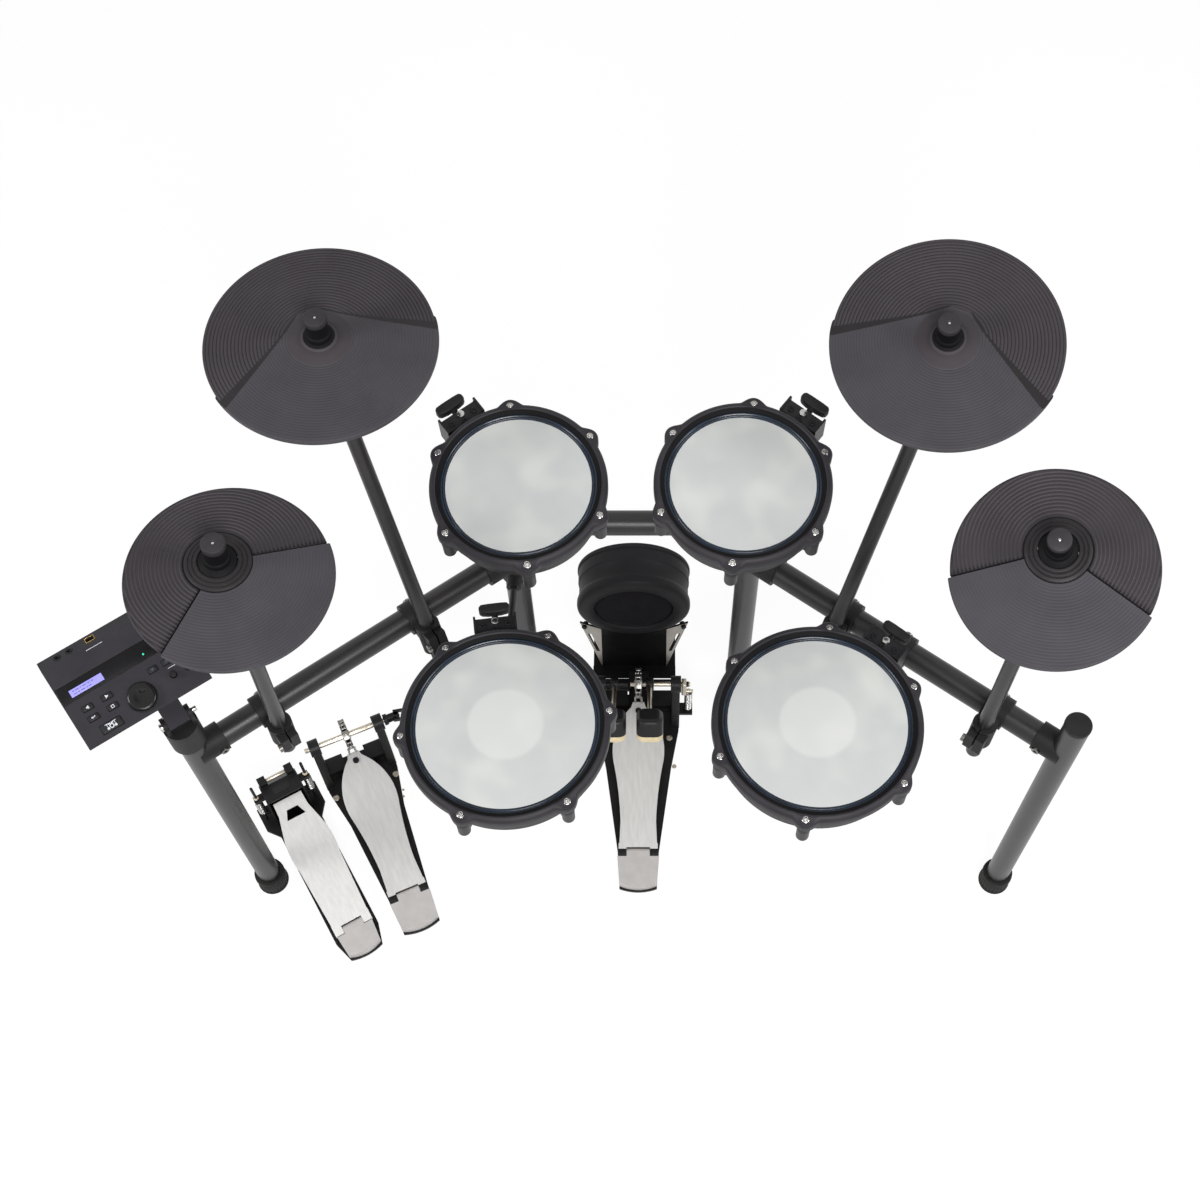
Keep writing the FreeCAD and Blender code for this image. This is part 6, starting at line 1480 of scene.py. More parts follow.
@dataclass
class SoundModule:
    """The module: case, lit window, buttons with icons, dial, knobs and sockets."""

    ring: Repeater
    left: float = 117.0
    ahead: float = 16.5
    panel: float = 50.0
    width: float = 185.0
    depth: float = 124.0
    back_slope: float = 16.0
    back_drop: float = 15.0
    window: tuple[float, float] = (68.0, 93.5)
    button_low: float = -6.45
    button_top: float = 2.2
    knob_low: float = -7.65
    dial_spot: tuple[float, float] = (93.5, 26.3)
    dial_radius: float = 19.0
    dial_height: float = 16.6
    dial_ribs: int = 48
    print_height: float = 0.06

    def pivot(self) -> Matrix:
        """The upright place of the module's pivot over the left front leg."""
        return Matrix.Translation(spot(-624, -350, 702)) @ turn(35.25, "Z")

    def place(self) -> Matrix:
        """The module's place, tilted to its resting angle."""
        return self.pivot() @ turn(20, "X")

    def on_panel(self, u: float, v: float, height: float = 0.0) -> Matrix:
        """A place on the panel, from its front left corner."""
        return self.place() @ move(u - self.left, v + self.ahead, self.panel + height)

    def on_slope(self, u: float) -> Matrix:
        """A place on the sloping back edge, with Z pointing out of it."""
        bevel = degrees(atan2(self.back_slope, self.back_drop))
        return self.on_panel(u, self.depth + self.back_slope / 2, self.back_drop / -2) @ turn(bevel - 90, "X")

    def put(self, label: str, shape: Shaper, finish: Finish | Lamp) -> None:
        """Ends a shape as a piece on the case."""
        shape.put(f"module_{label}", finish, "module", "module_case")

    def build(self) -> None:
        """Makes the module's pieces."""
        dress(MODULE_ABS, "module_case")
        dress(NYLON, "module_bracket")
        self.lit_window()
        self.buttons()
        self.dial()
        self.knobs()
        self.sockets()
        self.rules()
        self.pivot_bolt()

    def lit_window(self) -> None:
        """Makes the gloss strip with its screen and its lamp."""
        low, high = self.window
        strip = Shaper()
        strip.block(self.width - 4.8, high - low - 0.8, 0.3, self.on_panel(self.width / 2, (low + high) / 2),
                    0.12)
        self.put("window", strip, ACRYLIC)
        screen = Shaper()
        screen.block(48.0, 10.5, 0.12, self.on_panel(40.5, 78.2, 0.3), 0.03)
        self.put("screen", screen, LCD_FILM)
        marks = Shaper()
        for row, lengths in enumerate(((3, 5, 2, 6, 4, 3), (5, 3, 6, 2, 4))):
            start = 20.5
            for length in lengths:
                marks.block(length, 0.9, 0.05, self.on_panel(start + length / 2, 80.4 - row * 4.2, 0.42), 0)
                start += length + 1.6
        self.put("screen_bars", marks, DARK_INK)
        lamp = Shaper()
        lamp.turned([(0, 0.6), (0.6, 0.55), (1.1, 0.35), (1.4, 0.1), (1.4, 0), (0, 0)],
                    self.on_panel(124.3, 76.0, 0.3), 24)
        self.put("lamp", lamp, LED_FILM)

    def buttons(self) -> None:
        """Makes the rounded silicone buttons with their plain icons."""
        small, wide, lit = (15.0, 8.0), (30.0, 13.0), (13.0, 8.0)
        for name, size, u, v in (
                ("previous_button", small, 26.5, 51.5), ("next_button", small, 55.0, 51.5),
                ("exit_button", small, 26.5, 35.7), ("menu_button", small, 55.0, 35.7),
                ("kit_button", wide, 41.0, 14.7), ("coach_button", lit, 124.0, 51.5),
                ("metronome_button", lit, 145.0, 51.5)):
            cap = Shaper()
            cap.block(*size, 8.65, self.on_panel(u, v, self.button_low), 1.1)
            cap.put(f"{name}_cap", SILICONE, name, "button", [name])
            icon = Shaper()
            self.icon(icon, name, self.on_panel(u, v, self.button_top))
            icon.put(f"{name}_icon", LIT_DOTS if size == lit else INK, name, "button")

    def icon(self, shaper: Shaper, name: str, place: Matrix) -> None:
        """Adds a plain mark of a button: an arrow, a frame, a small drum set or a lit square.

        Args:
            shaper: what the mark is added to.
            name: the button's name.
            place: the middle of the button's top.
        """
        high = self.print_height
        if name in ("previous_button", "next_button"):
            way = -1 if name == "previous_button" else 1
            shaper.prism([(way * 2.7, 0), (way * -1.8, 2.5), (way * -1.8, -2.5)][::way], 0, high, place)
        elif name == "exit_button":
            shaper.prism([(-3.2, 0.4), (-1.0, 2.2), (-1.0, -1.4)], 0, high, place)
            self.marks(shaper, ((0.4, 0.4, 3.2, 0.9), (2.2, 1.1, 0.9, 2.2)), place)
        elif name == "menu_button":
            self.marks(shaper, ((0, 1.8, 4.4, 0.8), (0, -1.8, 4.4, 0.8), (-1.8, 0, 0.8, 2.8),
                                (1.8, 0, 0.8, 2.8)), place)
        elif name == "kit_button":
            # A bass drum ring, then a tom, a cymbal on its stand and a floor drum on each side
            drum = [(1.9, 0), (3.3, 0), (3.3, high), (1.9, high)]
            shaper.turned(drum, place @ move(0, -1.0), 32, ring=True)
            for side in (-1, 1):
                self.marks(shaper, ((side * 2.2, 3.0, 3.4, 2.0), (side * 5.6, 4.0, 5.0, 0.9),
                                    (side * 5.6, 1.6, 0.8, 4.0), (side * 5.4, -2.4, 3.2, 3.2)), place)
        else:
            self.marks(shaper, ((0, 0, 4.4, 3.4),), place)

    def marks(self, shaper: Shaper, boxes: Sequence[tuple[float, ...]], place: Matrix) -> None:
        """Adds printed bars, each given by its middle, its width and its height."""
        for x, y, wide, tall in boxes:
            shaper.block(wide, tall, self.print_height, place @ move(x, y), 0)

    def dial(self) -> None:
        """Makes the gloss dial with a finger dimple and a ribbed skirt, and a flat black ring of painted
        shade round it.
        """
        wheel = Shaper()
        radius, top = self.dial_radius, self.dial_height
        place = self.on_panel(*self.dial_spot, self.knob_low)
        wheel.turned([(0, 0), (radius - 0.8, 0), (radius - 0.8, top - 4.5), (radius, top - 4.0),
                      (radius, top - 2.4), (radius - 0.6, top - 1.0), (radius - 1.8, top - 0.2),
                      (radius - 3.2, top), (radius * 0.5, top - 0.9), (0, top - 1.3)], place, 72)
        rib = Shaper()
        rib.block(1.0, 1.1, 4.2, move(0, 0, 8.0), 0.2)
        wheel.join(stood_round(self.ring, rib, place, self.dial_ribs, radius - 0.8, DIAL_GLOSS))
        wheel.put("module_dial_wheel", DIAL_GLOSS, "module_dial", "knob", ["module_dial"])
        # Painted shade: a flat black ring on the panel stands for the shaded gap round the dial
        well = Shaper()
        well.turned([(radius + 0.3, 0.0), (radius + 0.3, 0.12), (radius + 1.9, 0.12), (radius + 2.1, 0.0)],
                    self.on_panel(*self.dial_spot), 72, ring=True)
        self.put("dial_well", well, KNOB_ABS)
        dish = Shaper()
        dish.turned([(0, -0.75), (2.6, -0.5), (4.0, 0.0), (4.6, 0.28), (5.0, 0.1), (5.0, -0.9), (0, -0.9)],
                    place @ turn(58, "Z") @ move(radius * 0.47, 0, top - 0.65), 32)
        dish.put("module_dial_dimple", ACRYLIC, "module_dial", "knob")

    def knobs(self) -> None:
        """Makes two slim flat-topped knobs, each with a pointer line."""
        for name, u in (("volume_knob", 143.7), ("balance_knob", 165.5)):
            place = self.on_panel(u, 30.7, self.knob_low)
            knob = Shaper()
            knob.turned([(0, 0), (4.5, 0), (4.5, 8.2), (4.4, 8.6), (4.1, 15.0), (3.8, 15.6), (3.2, 15.75),
                         (0, 15.6)], place, 40)
            knob.put(f"{name}_cap", KNOB_ABS, name, "knob", [name])
            line = Shaper()
            line.block(0.6, 2.4, 0.1, place @ move(0, 2.0, 15.65), 0)
            line.put(f"{name}_pointer", SILICONE, name, "knob")

    def sockets(self) -> None:
        """Makes collars round the two jack sockets and a frame round the data port, on the sloping back."""
        rings = Shaper()
        for u in (26.7, 44.3):
            rings.turned([(3.25, 0.0), (3.25, 0.6), (3.6, 0.9), (5.0, 0.9), (5.6, 0.5), (5.6, 0.0)],
                         self.on_slope(u), 36, ring=True)
        self.put("jack_collars", rings, KNOB_ABS)
        port = Shaper()
        for x, y, wide, tall in ((0, 4.9, 13.6, 0.9), (0, -4.9, 13.6, 0.9), (6.4, 0, 0.9, 9.2),
                                 (-6.4, 0, 0.9, 9.2)):
            port.block(wide, tall, 0.6, self.on_slope(75.5) @ move(x, y, 0), 0.2)
        self.put("port_frame", port, BRASS)

    def rules(self) -> None:
        """Makes plain printed lines beside the knobs and the port."""
        lines = Shaper()
        for u, v, length in ((153.0, 42.0, 22.0), (75.5, 119.0, 24.0)):
            lines.block(length, 0.7, self.print_height, self.on_panel(u, v), 0)
        self.put("printed_lines", lines, INK)

    def pivot_bolt(self) -> None:
        """Makes the bright ends of the pivot's bolt, outside the bracket's cheeks."""
        bolt = Shaper()
        place = self.pivot()
        bolt.bar(place, (22.2, 0, 0), (30.3, 0, 0), 3.8, 28, 0.8)
        bolt.hex_socket_bolt(place @ move(-22.2, 0, 0) @ turn(-90, "Y"), 6.2, 4.0)
        bolt.put("module_pivot_bolt", CHROME, "rack", "bolt_steel")


# Bass-drum pad

@dataclass
class KickPad:
    """The bass-drum pad: rubber barrel with a wide front flange, striking cushion and steel tower."""

    radius: float = 98.0
    depth: float = 81.0
    waist: float = 94.5
    disc: float = 68.0
    face_y: float = 60.0
    face_height: float = 225.0
    front_y: float = 46.0
    half_width: float = 55.0
    stay_out: float = 96.0
    stay_back: float = 36.0
    stay_height: float = 138.0
    gauge: float = 3.0

    def place(self) -> Matrix:
        """The pad's place at its face, with Z going into it."""
        return axes(spot(0, self.face_y, self.face_height), RIGHT, -UP)

    def build(self) -> None:
        """Makes the body, the cushion and the side plates, and dresses the tower."""
        self.barrel()
        self.cushion()
        dress(TOWER_POWDER, "kick_tower")
        self.side_plates()

    def barrel(self) -> None:
        """Makes the rubber body: rounded front flange, smooth barrel, a seam and a thin lip at the back."""
        body = Shaper()
        big, small, disc, deep = self.radius, self.waist, self.disc, self.depth
        body.turned([
            (0, 17), (disc + 0.4, 17), (disc + 0.4, 2.4), (disc + 1.0, 1.0), (disc + 2.4, 0.2),
            (big - 16, 0.0), (big - 10, 0.3), (big - 6, 1.2), (big - 3, 2.8), (big - 1, 5.2),
            (big - 0.2, 8.0), (big, 11), (big - 0.2, 16), (big - 1.2, 19.4), (small + 0.6, 22.0),
            (small, 24), (small, 48.4), (small + 0.4, 49.0), (small + 0.4, 50.0), (small + 1.6, 50.6),
            (small + 1.8, 52), (small + 1.8, 70.4), (small + 1.0, 71.2), (small + 1.0, 72.4), (big - 0.6, 73),
            (big, 74), (big, deep - 3), (big - 1.0, deep - 1), (big - 3.4, deep), (0, deep)],
            self.place(), 144)
        body.put("kick_rubber_body", KICK_RUBBER, "rack", "kick_shell", ["kick_pad_shell"], smooth=40)

    def cushion(self) -> None:
        """Makes the striking cushion: woven cloth over foam, crowned, its edge rolled down into the body."""
        pad = Shaper()
        disc = self.disc
        line = []
        for index in range(13):
            part = index / 12
            line.append((disc * 0.965 * part, 1.2 + 2.6 * part ** 4))
        line += [(disc - 1.2, 4.8), (disc - 0.5, 6.6), (disc - 0.2, 9.0), (disc - 0.2, 16.4), (0, 16.4)]
        pad.turned(line, self.place(), 96)
        cushion = pad.put("kick_striking_cushion", KICK_CLOTH, "rack", "kick_cushion", ["kick_cushion"],
                          smooth=40)

    def side_plates(self) -> None:
        """Makes bare faces of the tower's two flared side plates, with their slots left open."""
        faces = Shaper()
        for side in (-1, 1):
            root = spot(side * self.half_width, self.front_y + 6, self.gauge)
            tip = spot(side * self.stay_out, self.front_y + self.stay_back, self.stay_height)
            inner = spot(side * self.half_width, self.face_y + 8, self.stay_height)
            along = (tip - root).normalized()
            length = (tip - root).length
            rise = (inner - root).dot(along)
            inward = inner - root - along * rise
            deep = inward.length
            place = axes(root, along, inward.normalized())
            start = length * 0.42
            end = length * 0.78
            slope = deep / rise
            for level in (-self.gauge / 2 - 0.45, self.gauge / 2 + 0.05):
                for outline in (
                        [(6, 0.6), (start, 0.6), (start, start * slope - 0.8)],
                        [(start, 0.6), (end, 0.6), (end, 5.5), (start, 5.5)],
                        [(start, 12.5), (end, 12.5), (end, end * slope - 0.8), (start, start * slope - 0.8)],
                        [(end, 0.6), (length - 1.5, 0.6), (rise, deep - 1.4), (end, end * slope - 0.8)]):
                    faces.prism(outline, level, level + 0.4, place)
        faces.put("kick_side_plate_faces", PLATE_STEEL, "rack", "pedal_black")


# Pedals

@dataclass
class BassPedal:
    """A bass-drum pedal's frame: origin on the floor under its axle, Y along the board to the toe."""

    name: str
    x: float
    y: float
    angle: float
    spread: float
    finish: Finish
    screws: tuple[tuple[float, float, float], ...]
    axle_height: float = 125.0
    cam: float = 22.0
    cam_width: float = 11.0
    axle_radius: float = 4.2
    post_width: float = 14.0
    base_thickness: float = 5.0
    hinge_back: float = 272.0
    hinge_height: float = 17.0
    board_rise: float = 9.4
    board_length: float = 268.0
    board_thickness: float = 7.0
    coupling_out: float = 34.0

    def place(self) -> Matrix:
        """The pedal's place on the floor."""
        return Matrix.Translation(spot(self.x, self.y)) @ turn(self.angle, "Z")

    def axle(self) -> Matrix:
        """The pedal's place on its axle."""
        return self.place() @ move(0, 0, self.axle_height)

    def hinge(self) -> Matrix:
        """The footboard's place at its hinge, risen to its resting angle."""
        return self.place() @ move(0, -self.hinge_back, self.hinge_height) @ turn(self.board_rise, "X")

    def build(self) -> None:
        """Dresses the footboard and adds its toe bolt, black hinge blocks and the base's screws."""
        body = f"{self.name}_footboard"
        dress(self.finish, body)
        sleeves = Shaper()
        for side in (-1, 1):
            sleeves.bar(self.hinge(), (side * 20.5, 0, 0), (side * 34.3, 0, 0), 7.2, 36, 0.6)
            sleeves.block(13.9, 12.0, 1.2, self.hinge() @ move(side * 27.4, -0.5, 6.5), 0.4)
        sleeves.put(f"{self.name}_hinge_sleeves", PEDAL_POWDER, body, "pedal_black")
        bolt = Shaper()
        bolt.hex_socket_bolt(self.hinge() @ move(0, self.board_length * 0.94, self.board_thickness), 5.4, 3.0)
        bolt.put(f"{self.name}_toe_bolt", PEDAL_POWDER, body, "pedal_black")
        heads = Shaper()
        for x, y, radius in self.screws:
            heads.hex_socket_bolt(self.place() @ move(x, y, self.base_thickness), radius, radius * 0.5)
        heads.put(f"{self.name}_base_screws", NICKEL, "rack", "bolt_steel")

    def clamp_bar(self) -> None:
        """Makes the black bar and block that close the gap between the base and the tower's lip."""
        bar = Shaper()
        bar.block(2 * self.spread - 8, 8.5, 11.0, self.place() @ move(0, 55.3, 6.0), 1.0)
        bar.block(46.0, 20.0, 15.0, self.place() @ move(-37, 49.5, 5.2), 1.2)
        bar.put(f"{self.name}_clamp_bar", PEDAL_POWDER, "rack", "pedal_black")

    def chain_clamp(self, body: str) -> None:
        """Makes the bright block that holds the chain's end on top of the cam, with its screw.

        Args:
            body: the body that carries it.
        """
        top = self.axle() @ turn(25, "X") @ move(0, 0, self.cam + 6.6)
        clamp = Shaper()
        clamp.block(13.0, 16.0, 3.6, top, 0.8)
        clamp.hex_socket_bolt(top @ move(0, 0, 3.6), 3.6, 2.4)
        clamp.put(f"{self.name}_chain_clamp", ZINC, body, "drive_steel")

    def cam_wheel(self, shaper: Shaper, place: Matrix) -> None:
        """Adds the cam that the chain runs on."""
        half = self.cam_width / 2
        shaper.bar(place, (-half, 0, 0), (half, 0, 0), self.cam, 64, 1.0)


@dataclass
class Beater:
    """A beater with its half axle: hub, chromed rod, black plastic face and felt face."""

    name: str
    along: float
    pedal: BassPedal
    length: float = 148.0
    rest: float = 52.4
    width: float = 45.0
    tall: float = 50.0
    corner: float = 15.0
    thick: float = 22.0
    felt_from: float = 9.0
    hub: float = 11.0
    split: float = -14.0
    axle_ends: tuple[float, float] = (-86.0, 91.0)
    arm: float = 22.0
    arm_turn: float = 8.0
    arm_at: float = 79.0

    def place(self) -> Matrix:
        """The beater's place on the axle, leant back to rest."""
        return self.pedal.axle() @ turn(self.rest, "X")

    def crank(self, past: float = 0.0) -> Matrix:
        """The place of the spring's crank on the axle, or of a point past it."""
        return self.place() @ move(self.arm_at + past, 0, 0) @ turn(-self.rest - self.arm_turn, "X")

    def outline(self, inset: float) -> list[tuple[float, float]]:
        """Draws the head's rounded square.

        Args:
            inset: how far it is drawn in.

        Returns:
            The outline's points.
        """
        points = []
        half = self.width / 2 - inset
        tall = self.tall / 2 - inset
        corner = max(self.corner - inset, 1.0)
        for index in range(4):
            middle = ((half - corner) * (1, -1, -1, 1)[index], (tall - corner) * (1, 1, -1, -1)[index])
            for step in range(9):
                angle = radians(90 * index + 90 * step / 8)
                points.append((middle[0] + corner * cos(angle), middle[1] + corner * sin(angle)))
        return points

    def head(self, shaper: Shaper, start: float, end: float, edge: float) -> None:
        """Adds a block of the head's outline whose end face is rounded.

        Args:
            shaper: what the block is added to.
            start: where it starts, from the rod's middle.
            end: where it ends.
            edge: radius of the end's rim.
        """
        place = self.place() @ move(self.along, 0, self.length) @ turn(90, "X")
        rows = []
        way = 1 if end > start else -1
        for step in range(7):
            angle = radians(90 * step / 6)
            inset = edge * (1 - cos(angle))
            depth = end - way * edge + way * edge * sin(angle)
            rows.append([Vector((x, y, depth)) for x, y in self.outline(inset)])
        rows.insert(0, [Vector((x, y, start)) for x, y in self.outline(0.0)])
        shaper.loft(rows, place)

    def build(self) -> None:
        """Makes the plastic face, the felt face and the metal."""
        plastic = Shaper()
        self.head(plastic, self.felt_from - 0.05, -self.thick, 8.0)
        plastic.put(f"{self.name}_plastic", SHELL_ABS, self.name, "beater", smooth=40)
        felt = Shaper()
        self.head(felt, self.felt_from, self.thick, 9.0)
        face = felt.put(f"{self.name}_felt", FELT, self.name, "beater", smooth=40)
        self.bright_metal()
        self.black_metal()

    def bright_metal(self) -> None:
        """Makes the chromed rod, and the main beater's half axle with its crank."""
        rod = Shaper()
        rod.bar(self.place(), (self.along, 0, -13), (self.along, 0, self.length + 20), 4.0)
        if self.name == "primary_beater":
            rod.bar(self.place(), (self.split, 0, 0), (self.axle_ends[1], 0, 0), self.pedal.axle_radius)
            rod.block(8.5, 15.0, self.arm + 12, self.crank() @ move(1.25, 0, -self.arm - 4), 1.5)
            rod.bar(self.crank(), (0, 0, -self.arm), (17.5, 0, -self.arm), 3.0)
        rod.put(f"{self.name}_rod_and_axle", NICKEL, self.name, "drive_steel", [self.name])

    def black_metal(self) -> None:
        """Makes the hub with its screw, and the cam and lever screw or the coupling fork."""
        place = self.place()
        dark = Shaper()
        dark.bar(place, (self.along - 7, 0, 0), (self.along + 7, 0, 0), self.hub, 40, 1.2)
        dark.hex_socket_bolt(place @ move(self.along, -self.hub + 0.5, 0) @ turn(90, "X"), 3.4, 4.5)
        if self.name == "primary_beater":
            self.pedal.cam_wheel(dark, place)
            dark.hex_socket_bolt(self.crank(5.5) @ turn(90, "Y"), 5.0, 4.0)
        else:
            dark.bar(place, (self.axle_ends[0], 0, 0), (self.split - 4, 0, 0), self.pedal.axle_radius)
            out = -self.pedal.spread - self.pedal.coupling_out
            coupling_fork(dark, place @ move(out, 0, 0) @ turn(180, "Z") @ turn(self.rest, "X"))
        dark.put(f"{self.name}_hub", PEDAL_POWDER, self.name, "pedal_black")


def coupling_fork(shaper: Shaper, place: Matrix) -> None:
    """Adds a fork of a shaft coupling: a collar and two prongs, pointing along X.

    Args:
        shaper: what the fork is added to.
        place: the middle of the coupling.
    """
    shaper.bar(place, (-23, 0, 0), (-16, 0, 0), 10.0, 36, 1.0)
    for height in (6.5, -10.0):
        shaper.block(25, 8, 3.5, place @ move(-7.5, 0, height), 0.8)
        shaper.bar(place, (0, 0, height), (0, 0, height + 3.5), 4.2, 24, 0.5)


@dataclass
class PedalDrive:
    """What the pedals share: bases, heels, chains, springs, slave axle and drive shaft."""

    chain: Repeater
    coil: Repeater
    main: BassPedal
    slave: BassPedal
    hat: Matrix
    pitch: float = 9.0
    plate_height: float = 6.0
    lift: float = 1.0
    wrapped: int = 11
    shackle_half: float = 6.2
    shackle_wire: float = 1.3
    spring_spot: tuple[float, float] = (88.5, -3.0)
    hat_spring_ahead: float = 255.0
    hat_spring_out: float = 46.0
    coil_radius: float = 6.0
    coil_wire: float = 1.0

    def build(self) -> None:
        """Dresses the bases and heels and makes the axle, the chains and the springs."""
        dress(PEDAL_POWDER, "pedal_bases", "drive_shaft")
        dress(HEEL_ALLOY, "pedal_heels")
        self.slave_axle()
        self.main.chain_clamp("primary_beater")
        self.slave.chain_clamp("slave_axle")
        self.chains()
        self.springs()
        self.spring_anchor()

    def slave_axle(self) -> None:
        """Makes the slave pedal's bright hexagon bar, and its black cam and coupling fork."""
        place = self.slave.axle()
        post = self.slave.post_width / 2
        inner = self.slave.spread - post - 3
        bar = Shaper()
        bar.prism(hexagon(5.0), -inner, inner, place @ turn(90, "Y"), 0.5)
        for side in (-1, 1):
            start = side * (inner - 8)
            end = side * (self.slave.spread + post + 10)
            bar.bar(place, (start, 0, 0), (end, 0, 0), self.slave.axle_radius)
        bar.put("slave_axle_bar", NICKEL, "slave_axle", "drive_steel", ["slave_axle"])
        dark = Shaper()
        self.slave.cam_wheel(dark, place)
        coupling_fork(dark, place @ move(self.slave.spread + self.slave.coupling_out, 0, 0))
        dark.put("slave_axle_cam", PEDAL_POWDER, "slave_axle", "pedal_black")

    def pins(self) -> list[tuple[float, float]]:
        """Finds the pins of a chain from the toe up and over the cam, in a plane across the axle.

        Returns:
            Each pin's distance ahead of the axle and above it.
        """
        main = self.main
        rise = radians(main.board_rise)
        length, thick = main.board_length, main.board_thickness
        toe = (length * cos(rise) - thick * sin(rise) - main.hinge_back + 6,
               length * sin(rise) + thick * cos(rise) + main.hinge_height - main.axle_height + 4)
        radius = main.cam + self.plate_height / 2 + self.lift
        away = hypot(*toe)
        leave = atan2(toe[1], toe[0]) + acos(radius / away)
        count = int(sqrt(away ** 2 - radius ** 2) / self.pitch)
        across, up = cos(leave), sin(leave)
        points = [(across * radius + up * self.pitch * index, up * radius - across * self.pitch * index)
                  for index in range(count, 0, -1)]
        step = 2 * asin(self.pitch / 2 / radius)
        points += [(cos(leave + step * index) * radius, sin(leave + step * index) * radius)
                   for index in range(self.wrapped)]
        return points

    def link(self, half_width: float) -> Object:
        """Makes one chain link along Y from its pin: two waisted plates and a roller.

        Args:
            half_width: half the distance between its plates.

        Returns:
            A helper object of it.
        """
        shaper = Shaper()
        half = self.plate_height / 2
        outline = []
        for step in range(7):
            angle = radians(180 + 180 * step / 6)
            outline.append((half * cos(angle), half * sin(angle)))
        outline.append((half * 0.62, self.pitch / 2))
        for step in range(7):
            angle = radians(180 * step / 6)
            outline.append((half * cos(angle), self.pitch + half * sin(angle)))
        outline.append((-half * 0.62, self.pitch / 2))
        for side in (-1, 1):
            place = move(side * half_width - 0.8, 0, 0) @ turn(90, "Y")
            shaper.prism(outline, 0.0, 1.6, place)
        shaper.bar(HERE, (-5.3, 0, 0), (5.3, 0, 0), 2.2, 14, 0.3)
        return unit_of(shaper)

    def pin_mesh(self) -> Mesh:
        """Makes a mesh of a chain's pins, each with the tilt of the run that leaves it.

        Returns:
            The mesh, in metres.
        """
        points = self.pins()
        made = bpy.data.meshes.new("chain_pins")
        made.from_pydata([(0, y * MM, z * MM) for y, z in points], [], [])
        tilts = made.attributes.new("tilt", "FLOAT", "POINT")
        for index, (y, z) in enumerate(points):
            after = points[min(index + 1, len(points) - 1)]
            before = points[index - 1] if index + 1 == len(points) else (y, z)
            tilts.data[index].value = atan2(after[1] - before[1], after[0] - before[0])
        return made

    def chains(self) -> None:
        """Makes both roller chains, over their cams and down to the toes, which draw them along."""
        outer = self.link(4.5)
        inner = self.link(2.5)
        last = self.pins()[0]
        for pedal in (self.main, self.slave):
            run = Shaper()
            run.join(self.chain.run(pedal.axle(), ZINC, self.pin_mesh(), Outer=outer, Inner=inner))
            reach = Reach(f"{pedal.name}_footboard", (pedal.axle() @ Vector()) * MM,
                          (pedal.axle() @ Vector((0, 0, last[1]))) * MM)
            run.put(f"{pedal.name}_roller_chain", ZINC, "rack", "drive_steel", ["pedal_chains"], reach=reach)
            self.shackle(pedal, last)
        bpy.data.objects.remove(outer)
        bpy.data.objects.remove(inner)

    def shackle(self, pedal: BassPedal, pin: tuple[float, float]) -> None:
        """Makes the bent wire that holds a chain's last pin to the toe of its board.

        Args:
            pedal: the chain's pedal.
            pin: the pin, ahead of the axle and above it.
        """
        wire = Shaper()
        ends = [pedal.axle() @ Vector((side * self.shackle_half, *pin)) for side in (-1, 1)]
        wire.rod(ends[0], ends[1], self.shackle_wire, 14, 0.3)
        for side, end in zip((-1, 1), ends):
            toe = pedal.hinge() @ Vector((side * self.shackle_half, pedal.board_length - 4, 5))
            wire.rod(end, toe, self.shackle_wire, 14, 0.3)
        wire.put(f"{pedal.name}_toe_shackle", ZINC, f"{pedal.name}_footboard", "drive_steel")

    def springs(self) -> None:
        """Makes the kick spring and the hi-hat pedal's two springs."""
        wound = Shaper()
        ahead, out = self.hat_spring_ahead, self.hat_spring_out
        for place, turns, low, high in (
                (self.main.place() @ move(*self.spring_spot), 20, 33.54, 98.67),
                (self.hat @ move(-out, ahead), 12, 42.0, 90.0),
                (self.hat @ move(out, ahead), 12, 42.0, 90.0)):
            wound.join(self.coil.run(place @ move(0, 0, low), CHROME, Turns=float(turns),
                                     Radius=self.coil_radius * MM, Height=(high - low) * MM,
                                     Wire=self.coil_wire * MM))
        wound.put("pedal_coil_springs", CHROME, "rack", "drive_steel", ["pedal_springs"], smooth=60)

    def spring_anchor(self) -> None:
        """Makes the nuts on the kick spring's lower rod, over the post's tab."""
        place = self.main.place() @ move(*self.spring_spot)
        anchor = Shaper()
        for low, high, radius in ((6.0, 14.0, 5.4), (14.6, 19.0, 6.4), (19.4, 25.9, 5.0)):
            anchor.prism(hexagon(radius), low, high, place, 0.6)
        anchor.put("kick_spring_nuts", NICKEL, "rack", "bolt_steel")


